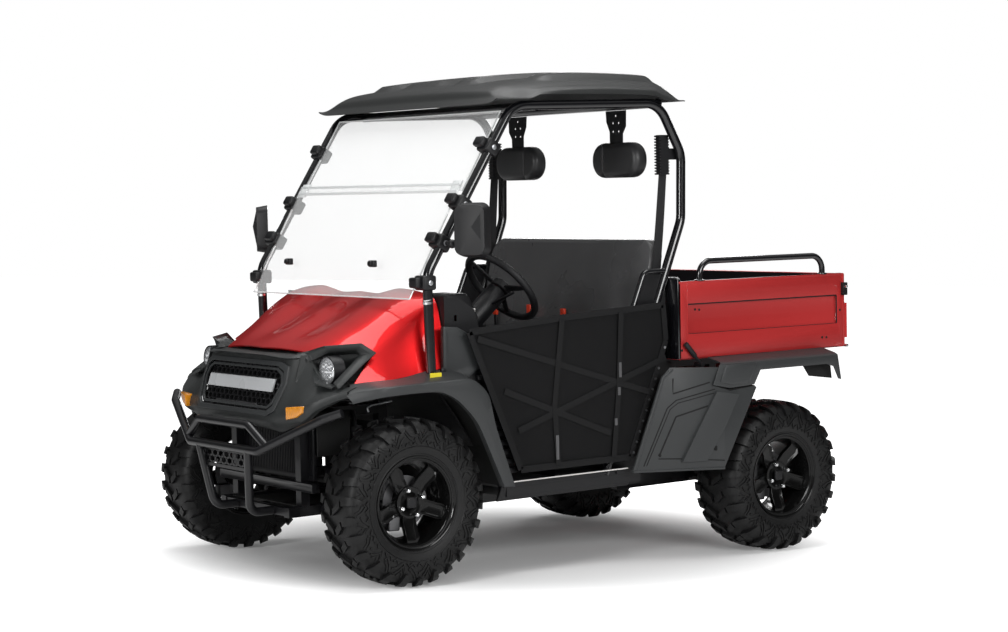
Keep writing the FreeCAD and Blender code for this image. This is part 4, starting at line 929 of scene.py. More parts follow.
@dataclass(frozen=True)
class TyreRubber:
    """Tyre rubber, greyer where it is scuffed."""
    name: str
    colour: Colour

    def build(self) -> bpy.types.Material:
        """Makes the material.

        Returns:
            The material.
        """
        shop = Nodes(self.name)
        scuff = shop.noise(24.0, 6.0)
        colour = shop.mix(scuff, tone(self.colour, 0.7), tone(self.colour, 1.5))
        pores = shop.noise(700.0, 3.0) + shop.noise(120.0, 2.0) * 0.6
        return shop.surface(Base_Color=colour, Roughness=scuff * 0.25 + 0.36,
                            Normal=shop.bump(pores, 0.0003), Specular_IOR_Level=0.32)


@dataclass(frozen=True)
class SeatVinyl:
    """Coated seat fabric with a pebbled grain."""
    name: str
    colour: Colour
    roughness: float = 0.36

    def build(self) -> bpy.types.Material:
        """Makes the material.

        Returns:
            The material.
        """
        shop = Nodes(self.name)
        cloud = shop.noise(5.0)
        colour = shop.mix(cloud, tone(self.colour, 0.85), tone(self.colour, 1.2))
        pebble = shop.cells(420.0) + shop.noise(150.0) * 0.4
        return shop.surface(Base_Color=colour, Roughness=cloud * 0.12 + self.roughness,
                            Normal=shop.bump(pebble, 0.0002), Specular_IOR_Level=0.5)


@dataclass(frozen=True)
class Webbing:
    """Woven fabric whose yarns cross along two axes, with holes where it is open."""
    name: str
    colour: Colour
    yarn: float = 0.0016
    first_axis: int = 0
    second_axis: int = 2
    cover: float = 1.0

    def build(self) -> bpy.types.Material:
        """Makes the material.

        Returns:
            The material.
        """
        shop = Nodes(self.name)
        turns = math.tau / self.yarn
        warp = (shop.axis(self.first_axis) * turns).wave()
        weft = (shop.axis(self.second_axis) * turns).wave()
        weave = warp * weft
        colour = shop.mix(weave * 0.5 + 0.5, tone(self.colour, 0.6), tone(self.colour, 1.5))
        alpha: object = 1.0
        if self.cover < 1:
            hole = (warp * 0.5 + 0.5) * (weft * 0.5 + 0.5)
            alpha = 1 - (hole > self.cover)
        return shop.surface(Base_Color=colour, Roughness=weave * 0.1 + 0.75, Alpha=alpha,
                            Normal=shop.bump(weave, 0.0003), Specular_IOR_Level=0.25)


@dataclass(frozen=True)
class ClearSheet:
    """Clear polycarbonate with a faint haze."""
    name: str
    colour: Colour
    haze: float
    smear: float = 0.05

    def build(self) -> bpy.types.Material:
        """Makes the material.

        Returns:
            The material.
        """
        shop = Nodes(self.name)
        smear = shop.noise(2.5, 4.0)
        return shop.surface(Base_Color=tone(self.colour), Roughness=smear * self.smear + 0.02,
                            Alpha=smear * 0.06 + self.haze, Specular_IOR_Level=0.8)


@dataclass(frozen=True)
class TintedLens:
    """A moulded lamp lens with a painted glow: its emission lights it though the lamp is off."""
    name: str
    colour: Colour
    glow: float

    def build(self) -> bpy.types.Material:
        """Makes the material.

        Returns:
            The material.
        """
        shop = Nodes(self.name)
        rib = (shop.axis(1) * 700.0).wave()
        depth = shop.noise(40.0)
        colour = shop.mix(depth, tone(self.colour, 0.75), tone(self.colour, 1.2))
        # The emission is a painted glow, standing in for light caught in the lens.
        return shop.surface(Base_Color=colour, Roughness=0.12, Coat_Weight=1.0,
                            Coat_Roughness=0.02, Emission_Color=colour,
                            Emission_Strength=self.glow, Normal=shop.bump(rib, 0.0006))


@dataclass(frozen=True)
class BareMetal:
    """Bright or cast metal with fine scratches."""
    name: str
    colour: Colour
    roughness: float
    depth: float = 0.00004
    scale: float = 500.0

    def build(self) -> bpy.types.Material:
        """Makes the material.

        Returns:
            The material.
        """
        shop = Nodes(self.name)
        scratch = shop.noise(self.scale, 4.0)
        colour = shop.mix(shop.noise(9.0), tone(self.colour, 0.85), tone(self.colour, 1.1))
        return shop.surface(Base_Color=colour, Metallic=1.0,
                            Roughness=scratch * 0.15 + self.roughness,
                            Normal=shop.bump(scratch, self.depth))


class Palette:
    """Every material of the vehicle, made once."""

    def __init__(self) -> None:
        """Builds the materials."""
        finishes = [
            GlossPaint("red_gloss", (0.62, 0.006, 0.008), (0.48, 0.004, 0.006), 0.34, 0.6,
                       0.25, 0.72),
            GlossPaint("red_bed_paint", (0.42, 0.024, 0.024), (0.36, 0.018, 0.018), 0.45, 0.35,
                       0.25, 0.25),
            GlossPaint("rim_gloss", (0.003, 0.003, 0.003), (0.002, 0.002, 0.002), 0.25, 0.40, 0.08),
            GlossPaint("trim_gloss", (0.012, 0.012, 0.013), (0.009, 0.009, 0.010), 0.25, 1.0),
            MouldedPlastic("grey_plastic", (0.030, 0.032, 0.033), 0.44),
            MouldedPlastic("nose_plastic", (0.021, 0.023, 0.023), 0.46),
            MouldedPlastic("roof_plastic", (0.019, 0.020, 0.020), 0.42, 500.0, 0.0002),
            MouldedPlastic("black_plastic", (0.005, 0.005, 0.006), 0.45),
            MouldedPlastic("recess_plastic", (0.002, 0.002, 0.002), 0.7),
            MouldedPlastic("grip_rubber", (0.006, 0.006, 0.007), 0.55, 700.0),
            CoatedSteel("cage_steel", (0.003, 0.003, 0.004), 0.18, 1.0),
            CoatedSteel("guard_steel", (0.006, 0.006, 0.007), 0.36, 0.4),
            CoatedSteel("frame_steel", (0.004, 0.004, 0.005), 0.42, 0.25),
            CoatedSteel("spring_steel", (0.012, 0.012, 0.013), 0.3, 0.5),
            TyreRubber("tyre_rubber", (0.0045, 0.0045, 0.0047)),
            SeatVinyl("seat_vinyl", (0.020, 0.020, 0.021)),
            # A lighter copy of seat_vinyl for the cushion and back: painted light on the bench, which sits
            # in dim light under the roof.
            SeatVinyl("back_vinyl", (0.090, 0.090, 0.092), 0.22),
            Webbing("net_mesh", (0.003, 0.003, 0.0035), 0.0024, 0, 2, 0.72),
            Webbing("net_strap", (0.0065, 0.0065, 0.007), 0.0020),
            Webbing("belt_webbing", (0.020, 0.020, 0.021), 0.0018),
            ClearSheet("clear_sheet", (0.93, 0.94, 0.94), 0.17),
            ClearSheet("sheet_edge", (0.80, 0.82, 0.82), 0.75),
            ClearSheet("lamp_glass", (0.95, 0.97, 1.0), 0.14),
            # The lenses' last number is their painted glow, on lamps that are not lit.
            TintedLens("amber_lens", (0.60, 0.22, 0.008), 0.10),
            TintedLens("red_lens", (0.45, 0.008, 0.008), 0.05),
            BareMetal("chrome", (0.85, 0.86, 0.87), 0.05),
            BareMetal("reflector", (0.90, 0.91, 0.93), 0.08),
            BareMetal("zinc_plate", (0.55, 0.56, 0.58), 0.3),
            BareMetal("cast_metal", (0.16, 0.16, 0.165), 0.5, 0.0003, 300.0),
            BareMetal("exhaust_metal", (0.42, 0.39, 0.36), 0.35),
            MouldedPlastic("bar_silver", (0.42, 0.43, 0.44), 0.28, 1200.0, 0.00005, 0.7),
            MouldedPlastic("plate_yellow", (0.75, 0.62, 0.02), 0.45),
            MouldedPlastic("plate_pale", (0.72, 0.70, 0.68), 0.45),
            MouldedPlastic("buckle_red", (0.62, 0.045, 0.015), 0.4),
        ]
        self.made = {finish.name: finish.build() for finish in finishes}

    def dress(self, obj: Object, name: str) -> None:
        """Gives a whole object one material.

        Args:
            obj: the object.
            name: the finish's name.
        """
        obj.data.materials.clear()
        obj.data.materials.append(self.made[name])
        obj.data.polygons.foreach_set("material_index", [0] * len(obj.data.polygons))


@dataclass
class Bench:
    """Where finished pieces get their material and body, and the frame nodes that they replace are hidden.
    """
    palette: Palette

    def finish(self, obj: Object, material: str, body: str = "chassis", stands: Sequence[str] = (),
               slot: str = "", raked: bool = True) -> Object:
        """Completes one piece.

        Args:
            obj: the modelled piece.
            material: its finish.
            body: the body that it rides on.
            stands: the frame nodes that it stands for.
            slot: the record's material slot; not used.
            raked: whether it was modelled level and leans with the bodywork.
        Returns:
            The piece.
        """
        if raked:
            obj.data.transform(RAKE)
        if material:
            self.palette.dress(obj, material)
        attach(obj, body)
        if stands:
            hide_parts(*stands)
        LOG.info("%s: %d faces", obj.name, len(obj.data.polygons))
        return obj

    def pair(self, obj: Object, name: str, material: str, body: str = "chassis",
             stands: Sequence[str] = (), slot: str = "", raked: bool = True) -> list[Object]:
        """Completes a piece on both sides, as two pieces, and deletes the pattern.

        Args:
            obj: the pattern, as it is on the left.
            name: the pieces' name, with {} where the side's word comes.
            material: their finish.
            body: the body that each rides on, with {} where it differs.
            stands: the frame nodes that each stands for, in the same way.
            slot: the record's material slot; not used.
            raked: whether the pattern leans with the bodywork.
        Returns:
            The left and the right piece.
        """
        made = []
        for side in Side:
            piece = copied(obj, name.format(side.word), side.turn)
            made.append(self.finish(piece, material, body.format(side.word),
                                    [node.format(side.word) for node in stands], slot, raked))
        bpy.data.objects.remove(obj)
        return made


# Wheels

@dataclass
class Wheel:
    """One wheel: a lugged tyre on a spoked rim, modelled for the left side about its axle."""
    end: str
    width: float
    place_x: float
    place_y: float
    radius: float = .315
    drawn_width: float = .205
    steps: int = 72
    pitches: int = 13
    reach: float = .004
    lug: float = .0135
    lug_root: float = .002
    lug_edge: float = .0016
    lug_crown: float = .0012
    rib_half: float = .003
    rib_height: float = .0046
    rim_half_share: float = .45
    dish: float = .038
    spoke: Box = ((-.029, -.022, -.157), (.029, 0, -.04))
    spoke_count: int = 5
    spoke_kinks: Point = (-.09, -.13)
    spoke_rise: Point = (0, .018, 0)
    spoke_rib: float = .009
    spoke_valley: float = .012
    hub: Point = (.06, .06, .004)
    hub_edge: float = .006
    hub_well: Point = (.022, -.004)
    well_rib: Point = (.1545, .03)
    well_rib_step: Point = (.0042, .01)
    nut: Box = ((.05, -.006, 0), (.05, .013, 0))
    nut_count: int = 4
    nut_radius: float = .0095
    nut_turn: float = 24.0
    cap: Box = ((-.021, -.006, -.021), (.021, .01, .021))
    cap_face: float = .008
    caliper: Box = ((.035, -.012, -.105), (.085, .036, -.05))

    # Half of the tyre's outside from the crown to the bead, as (radius, share of the width)
    section = [(.3015, 0.0), (.301, .17), (.299, .3), (.2945, .395), (.284, .462),
               (.266, .492), (.24, .5), (.215, .49), (.193, .462), (.178, .44)]

    def across(self) -> tuple[np.ndarray, np.ndarray, np.ndarray]:
        """The section as arc lengths from the crown, radii and distances from the middle.

        Returns:
            The three rows, all from the crown to the bead.
        """
        radii = np.array([r for r, _ in self.section])
        sides = np.array([y for _, y in self.section]) * self.width
        steps = np.hypot(np.diff(radii), np.diff(sides))
        return np.concatenate([[0.0], np.cumsum(steps)]), radii, sides

    def wrap(self, obj: Object) -> None:
        """Bends a flat strip of lugs round the tyre: X is the turn, Y the way across.

        Args:
            obj: the object.
        """
        arc, radii, sides = self.across()
        count = len(obj.data.vertices)
        flat = np.zeros(count * 3)
        obj.data.vertices.foreach_get("co", flat)
        flat = flat.reshape(-1, 3)
        along = np.abs(flat[:, 1])
        radius = np.interp(along, arc, radii)
        side = np.interp(along, arc, sides)
        ahead, behind = along + self.reach, np.maximum(along - self.reach, 0)
        run_r = np.interp(ahead, arc, radii) - np.interp(behind, arc, radii)
        run_y = np.interp(ahead, arc, sides) - np.interp(behind, arc, sides)
        length = np.hypot(run_r, run_y)
        radius = radius + flat[:, 2] * run_y / length
        side = (side - flat[:, 2] * run_r / length) * np.sign(flat[:, 1] + 1e-9)
        turn = flat[:, 0] * math.tau / self.pitches
        flat = np.stack([radius * np.sin(turn), side, -radius * np.cos(turn)], axis=1)
        obj.data.vertices.foreach_set("co", flat.ravel())
        obj.data.update()

    # Lug outlines for one side of the tread, in pitches round and metres across
    blocks = [
        [(.03, .005), (.19, .005), (.41, .046), (.25, .05)],
        [(.52, .012), (.68, .009), (.9, .045), (.74, .051)],
        [(.29, .058), (.47, .053), (.53, .076), (.53, .1), (.49, .12), (.37, .122),
         (.33, .1), (.31, .078)],
        [(.79, .059), (.95, .053), (1.02, .074), (1.03, .094), (.98, .108), (.87, .11),
         (.83, .094), (.8, .076)]]
    # Raised ribs on the sidewall, as chains of the same coordinates
    ribs = [[(.02, .112), (.12, .134), (.28, .15), (.36, .138)],
            [(.08, .104), (.17, .124), (.3, .134)],
            [(.1, .15), (.22, .164), (.36, .152), (.46, .162)],
            [(.5, .124), (.6, .146), (.76, .122), (.84, .114)],
            [(.55, .106), (.64, .128), (.74, .108)],
            [(.48, .134), (.62, .16), (.84, .134), (.98, .126)],
            [(.8, .15), (.92, .164), (1.02, .152)]]
    cuts = (.062, .072, .082, .092, .102, .112)
    # The bead as (radius, distance outwards from the tyre's edge), and the raised ring beside it
    # as (radius, share of the width, distance outwards)
    bead = [(.1805, .003), (.1835, .0045), (.1865, .003), (.1835, -.002)]
    line = [(.212, .488, 0), (.2135, .488, .0022), (.215, .489, 0)]
    # The rim's section as (radius, 1 for its outer or -1 for its inner edge, Y from that edge)
    rim_section = [(.1745, 1, 0), (.1765, 1, .0015), (.178, 1, -.003), (.1765, 1, -.01),
                   (.164, 1, -.012), (.16, 1, -.022), (.145, 1, -.05), (.145, -1, .05),
                   (.16, -1, .02), (.176, -1, .01), (.176, -1, 0), (.172, -1, 0),
                   (.156, -1, .018), (.141, -1, .05), (.141, 1, -.052), (.153, 1, -.026),
                   (.158, 1, -.012), (.1655, 1, -.008), (.17, 1, -.001)]
    brake_section = [(.045, .012), (.098, .012), (.098, .008), (.045, .008)]

    @property
    def rim_half(self) -> float:
        """Half of the rim's width."""
        return self.width * self.rim_half_share

    def on_face(self, corners: Box) -> Box:
        """Two corners given from the spokes' face, measured from the wheel's middle."""
        face = self.rim_half - self.dish
        return tuple((x, face + y, z) for x, y, z in corners)

    def lugs(self) -> Object:
        """Every lug and sidewall rib, wrapped round the tyre.

        Returns:
            One object that holds them all.
        """
        stretch = self.width / self.drawn_width
        pitch = math.tau * self.radius / self.pitches
        parts = []
        for outline in self.blocks:
            lug = plate("lug", [(s, t * stretch, -self.lug_root) for s, t in outline],
                        (0, 0, self.lug + self.lug_root))
            inset(lug, facing("z", .5), self.lug_edge, 0.0)
            moved(lug, facing("z", .5), (0, 0, self.lug_crown))
            for cut in self.cuts:
                sliced(lug, (0, cut * stretch, 0), (0, 1, 0))
            parts.append(lug)
        for chain in self.ribs:
            band = band_outline([(s, t * stretch) for s, t in chain], self.rib_half, pitch)
            parts.append(plate("rib", [(s, t, 0) for s, t in band], (0, 0, self.rib_height)))
        left = joined("lugs", parts)
        right = copied(left, "lugs_right", MIRROR)
        right.data.transform(Matrix.Translation((.5, 0, 0)))
        whole = array(joined("lugs", [left, right]), self.pitches, (1, 0, 0))
        self.wrap(whole)
        return smooth(whole, 28)

    def tyre(self) -> Object:
        """The tyre's body with its lugs.

        Returns:
            The tyre.
        """
        _, radii, sides = self.across()
        edge = sides[-1]
        half = list(zip(radii, sides)) + [(.1635, edge - .004), (.1635, 0.0)]
        body = turned("tyre_body", half + [(r, -y) for r, y in reversed(half[1:-1])], self.steps)
        bead = turned("bead", [(r, edge + out) for r, out in self.bead], self.steps)
        ring = turned("ring", [(r, self.width * share + out) for r, share, out in self.line],
                      self.steps)
        return joined("tyre", [smooth(body, 40), smooth(bead, 50), smooth(ring, 50), self.lugs()])

    def arm(self) -> Object:
        """One wide spoke with two ribs and a valley between them, pointing down.

        Returns:
            The spoke.
        """
        arm = block("spoke", *self.on_face(self.spoke))
        for kink in self.spoke_kinks:
            sliced(arm, (0, 0, kink), (0, 0, 1))
        resized(arm, lambda p, n: p.z < -.145, (.82, 1, 1))
        moved(arm, lambda p, n: p.z < -.128, self.spoke_rise, Grab.VERT)
        inset(arm, facing("y", .5), self.spoke_rib, 0.0)
        moved(arm, lambda p, n: n.y > .5 and abs(p.x) < .012, (0, -self.spoke_valley, 0))
        return bevelled(arm, .0025, 3)

    def rim(self) -> Object:
        """The painted wheel: lip, barrel, spokes and hub.

        Returns:
            The wheel without its tyre.
        """
        half = self.rim_half
        well = turned("rim_well", [(r, side * half + y) for r, side, y in self.rim_section],
                      self.steps)
        radius, back, front = self.hub
        hub = barrel("hub", *self.on_face(((0, -back, 0), (0, -front, 0))), radius, 48)
        inset(hub, facing("y"), self.hub_edge, 0.0)
        inset(hub, lambda p, n: n.y > .9 and p.length < .12, *self.hub_well)
        parts = [smooth(well, 30), smooth(ringed(self.arm(), self.spoke_count, (0, 0, 0), "Y"), 40),
                 rounded(hub, EASED)]
        for step in range(3):
            r = self.well_rib[0] - step * self.well_rib_step[0]
            y = half - self.well_rib[1] - step * self.well_rib_step[1]
            rib = turned("rib", [(r, y), (r - .0022, y - .002), (r, y - .004)], self.steps)
            parts.append(smooth(rib, 60))
        return joined("rim", parts)

    def nuts(self) -> Object:
        """The bright wheel nuts.

        Returns:
            One object that holds them all.
        """
        nut = bevelled(barrel("nut", *self.on_face(self.nut), self.nut_radius, 6), PRESSED)
        inset(nut, facing("y"), .003, .003)
        return smooth(ringed(nut, self.nut_count, (0, 0, 0), "Y", math.radians(self.nut_turn)), 40)

    def hub_cap(self) -> Object:
        """The dull rounded-square hub cap.

        Returns:
            The cap.
        """
        cap = bevelled(block("cap", *self.on_face(self.cap)), .007, 4)
        least = self.rim_half - self.dish + self.cap_face
        inset(cap, lambda p, n: n.y > .9 and p.y > least, .004, -.001)
        return smooth(cap, 40)

    def brake(self) -> Object:
        """The brake disc and caliper that show between the spokes."""
        return joined("brake", [smooth(turned("disc", self.brake_section, 48), 30),
                                rounded(block("caliper", *self.caliper), .006, 3)])

    def build(self, bench: Bench) -> None:
        """Builds and places the wheel on both sides.

        Args:
            bench: what dresses and places the pieces.
        """
        for obj, material, word in (
                (self.tyre(), "tyre_rubber", "tyre"), (self.rim(), "rim_gloss", "rim"),
                (self.nuts(), "chrome", "nuts"), (self.hub_cap(), "black_plastic", "cap"),
                (self.brake(), "cast_metal", "brake")):
            obj.data.transform(Matrix.Translation((self.place_x, self.place_y, self.radius)))
            name = f"{word}_{self.end}_{{}}"
            stands = [name] if word in ("tyre", "rim") else []
            bench.pair(obj, name + "_skin" if stands else name, material,
                       f"wheel_{self.end}_{{}}", stands, "", False)


# Tube work

@dataclass
class FrontGuard:
    """The bent tube guard with its perforated plate."""
    radius: float = .017
    tip: Point = (1.19, .625, .664)
    wing: Point = (1.235, .56, .64)
    corner: Point = (1.335, .257, .506)
    loop: Point = (1.33, .187, .6)
    loop_foot: Point = (1.318, .304, .523)
    leg: Point = (1.335, .187, .506)
    foot: Point = (1.302, .135, .259)
    foot_rear: Point = (1.2055, .135, .259)
    bend: float = .045
    plate_low: float = .424
    plate_half: float = .172
    cell: float = .044
    strut: float = .011
    flat: float = .62
    plate_deep: float = .004
    rim_deep: float = .005
    rim_out: float = .006
    rim_in: float = .008
    rim_top: float = .024

    def build(self, bench: Bench) -> None:
        """Builds the tubes and the plate.

        Args:
            bench: what dresses and places the pieces.
        """
        left, loop = [self.tip, self.wing, self.corner], [self.loop_foot, self.loop]
        tubes = [bar("guard", left + [flip(p) for p in left[::-1]], self.radius, self.bend),
                 bar("loop", loop + [flip(p) for p in loop[::-1]], self.radius, self.bend),
                 both(bar("leg", [self.leg, self.foot, self.foot_rear], self.radius, self.bend))]
        bench.finish(joined("front_guard_tubes", tubes), "guard_steel", "chassis",
                     ["front_guard"], "guard_steel")
        x, high = self.corner[0] - self.radius, self.corner[2]
        half, low = self.plate_half, self.plate_low
        mesh = honeycomb("guard_plate", self.cell, self.strut, self.plate_deep, 12, 3, self.flat)
        mesh.data.transform(Matrix.Translation((x, 0, (low + high) / 2)))
        for y in (-1, 1):
            trimmed(mesh, (0, y * half, 0), (0, y, 0))
        trimmed(mesh, (0, 0, low), (0, 0, -1))
        trimmed(mesh, (0, 0, high), (0, 0, 1))
        out, into, front = self.rim_out, self.rim_in, x + self.rim_deep
        rims = [((x, -half - out, low - out), (front, half + out, low + into)),
                ((x, -half - out, low), (front, into - half, high)),
                ((x, half - into, low), (front, half + out, high)),
                ((x, -half, high - self.rim_top), (front, half, high))]
        bench.finish(joined("guard_plate", [mesh] + [bevelled(block("rim", *rim), CRISP, 1)
                                                     for rim in rims]), "guard_steel")


@dataclass
class Radiator:
    """The finned radiator and its carrier behind the front guard, and the bay round them."""
    core: Box = ((1.098, -.3, .375), (1.118, .3, .6))
    core_frame: Point = (.018, -.008)
    fin: Box = ((1.108, -.278, .395), (1.116, -.275, .58))
    fins: int = 46
    fin_pitch: float = .0122
    wall: Box = ((.6, -.43, .262), (.606, .43, .7))
    wing: Box = ((.56, .42, .262), (.566, .5, .7))
    tray: Box = ((.62, -.25, .262), (1.1, .25, .268))
    side: Box = ((.96, .315, .47), (1.11, .32, .64))
    hose: Line = ((.96, .45, .64), (.966, .45, .656), (.948, .45, .664),
                             (.854, .45, .674))
    hose_radius: float = .0035
    hose_bend: float = .006
    beam: Box = ((1.122, -.35, .338), (1.158, .35, .372))
    beam_well: Point = (.006, -.004)

    def build(self, bench: Bench) -> None:
        """Builds core, fins, walls, hoses and carrier.

        Args:
            bench: what dresses and places the pieces.
        """
        core = block("radiator", *self.core)
        inset(core, facing("x"), *self.core_frame)
        fins = array(block("fin", *self.fin), self.fins, (0, self.fin_pitch, 0))
        bench.finish(joined("radiator", [rounded(core, SOFT), fins]), "frame_steel")
        walls = [block("bay_wall", *self.wall), both(block("bay_wing", *self.wing)),
                 block("bay_tray", *self.tray), both(block("bay_side", *self.side))]
        bench.finish(joined("front_bay_walls", [bevelled(wall, EASED, 1) for wall in walls]),
                     "recess_plastic")
        bench.finish(both(bar("brake_hose", self.hose, self.hose_radius, self.hose_bend)),
                     "zinc_plate")
        beam = block("radiator_beam", *self.beam)
        inset(beam, facing("x"), *self.beam_well)
        bench.finish(rounded(beam, SOFT), "guard_steel")


@dataclass
class RollCage:
    """The cage: two bent side frames, cross bars and hip guards."""
    radius: float = .019
    y: float = .608
    foot_y: float = .588
    bend: float = .12
    side: Line = ((.778, .7547), (.788, 1.158), (.375, 1.79), (-.373, 1.806),
                             (-.49, 1.6), (-.484, 1.33))
    foot: Point = (-.0735, .3165)
    hip: Line = ((-.401, 1.125), (-.282, 1.125), (-.21, .96), (-.2455, .74))
    hip_radius: float = .012
    hip_bend: float = .036
    hip_panel: Line = ((-.285, 1.118), (-.218, .965), (-.238, .86), (-.396, .86),
                                  (-.396, 1.118))
    panel_thick: float = .006
    cross: Line = ((.255, 1.79), (-.373, 1.806))
    # Bright bands round the front posts, as X and Z of both ends and a radius
    bands: Line = ((.7865, 1.044, .7872, 1.053, .0205),
                              (.7867, 1.058, .7874, 1.062, .02))

    def build(self, bench: Bench) -> None:
        """Builds the tubes of both sides.

        Args:
            bench: what dresses and places the pieces.
        """
        run = [(x, self.y, z) for x, z in self.side] + [(self.foot[0], self.foot_y, self.foot[1])]
        hip = bar("hip", [(x, self.y, z) for x, z in self.hip], self.hip_radius, self.hip_bend)
        parts = [both(bar("cage", run, self.radius, self.bend, 20)), both(hip)]
        parts += [bar("cross", [(x, -self.y, z), (x, self.y, z)], self.radius)
                  for x, z in self.cross]
        bench.finish(joined("roll_cage_tubes", parts), "cage_steel", "chassis", ["roll_cage"],
                     "cage_steel")
        guard = side_plate("hip_panels", self.hip_panel, self.y - .002, self.panel_thick)
        bench.finish(both(bevelled(guard, EASED)), "black_plastic")
        bands = [smooth(barrel("band", (a, self.y, b), (c, self.y, d), r), 40)
                 for a, b, c, d, r in self.bands]
        bench.finish(both(joined("pillar_bands", bands)), "chrome")


@dataclass
class BedRails:
    """The bent rails on top of the bed's sides."""
    radius: float = .0125
    y: float = .665
    foot_z: float = 1.079
    top_z: float = 1.16
    front_x: float = -.53
    rear_x: float = -1.236
    bend: float = .06
    foot_radius: float = .021
    foot_height: float = .006

    def build(self, bench: Bench) -> None:
        """Builds both rails.

        Args:
            bench: what dresses and places the pieces.
        """
        front, rear, y, low, high = self.front_x, self.rear_x, self.y, self.foot_z, self.top_z
        parts = [bar("bed_rail_tubes", [(front, y, low), (front, y, high), (rear, y, high),
                                        (rear, y, low)], self.radius, self.bend)]
        parts += [rounded(barrel("foot", (x, y, low), (x, y, low + self.foot_height),
                                 self.foot_radius), CRISP) for x in (front, rear)]
        bench.finish(both(joined("bed_rail_tubes", parts)), "cage_steel", "bed", ["bed_rails"],
                     "cage_steel")


# Bodywork

@dataclass
class Hood:
    """The red hood with its two humps, cut away round the headlamps."""
    front_x: float = 1.206
    tip_x: float = 1.146
    length: float = .516
    half_width: float = .5854
    base_z: float = .742
    height: float = .35
    wall: float = .004
    corner: Point = (1.12, .321)
    cut_x: Point = (1.09, 1.3)
    cut_y: float = .7
    cut_z: float = .6
    notch: Line = ((1.24, .88), (1.0, .893), (.962, .862), (1.139, .722),
                              (1.24, .722))

    stations = [0.0, .1, .205, .455, .705, .88, 1.0]
    across = [
        [(0, .29), (.17, .285), (.34, .245), (.52, .19), (.72, .11), (.93, 0)],
        [(0, .37), (.19, .36), (.37, .32), (.555, .265), (.765, .17), (.948, .01)],
        [(0, .455), (.21, .44), (.4, .425), (.59, .37), (.81, .235), (.965, .03)],
        [(0, .625), (.22, .59), (.455, .625), (.66, .56), (.855, .35), (.99, .065)],
        [(0, .81), (.22, .785), (.48, .84), (.72, .785), (.89, .56), (1, .105)],
        [(0, .915), (.22, .895), (.475, .965), (.735, .92), (.9, .76), (1, .14)],
        [(0, .95), (.22, .935), (.47, 1), (.74, .965), (.9, .85), (1, .16)]]

    def build(self, bench: Bench) -> None:
        """Builds the shell, cut round the headlamps and along its front edge.

        Args:
            bench: what dresses and places the pieces.
        """
        rows = stretched_rows(self.stations, self.across, (self.front_x, 0, self.base_z),
                              (self.length, self.half_width, self.height))
        shell = walled(moulding("hood_shell", rows, 5, 5, .34), self.wall)
        (corner_x, corner_y), (near, far), side, z = self.corner, self.cut_x, self.cut_y, self.cut_z
        notch = side_plate("notch", self.notch, side, side - corner_y)
        front = plate("front", [(corner_x, corner_y, z), (self.tip_x, 0, z),
                                (corner_x, -corner_y, z), (near, -side, z), (far, -side, z),
                                (far, side, z), (near, side, z)], (0, 0, z))
        carved(shell, [copied(notch, "notch_other", MIRROR), notch, front])
        bench.finish(smooth(shell, 42), "red_gloss", "chassis", ["hood"], "red_panel")


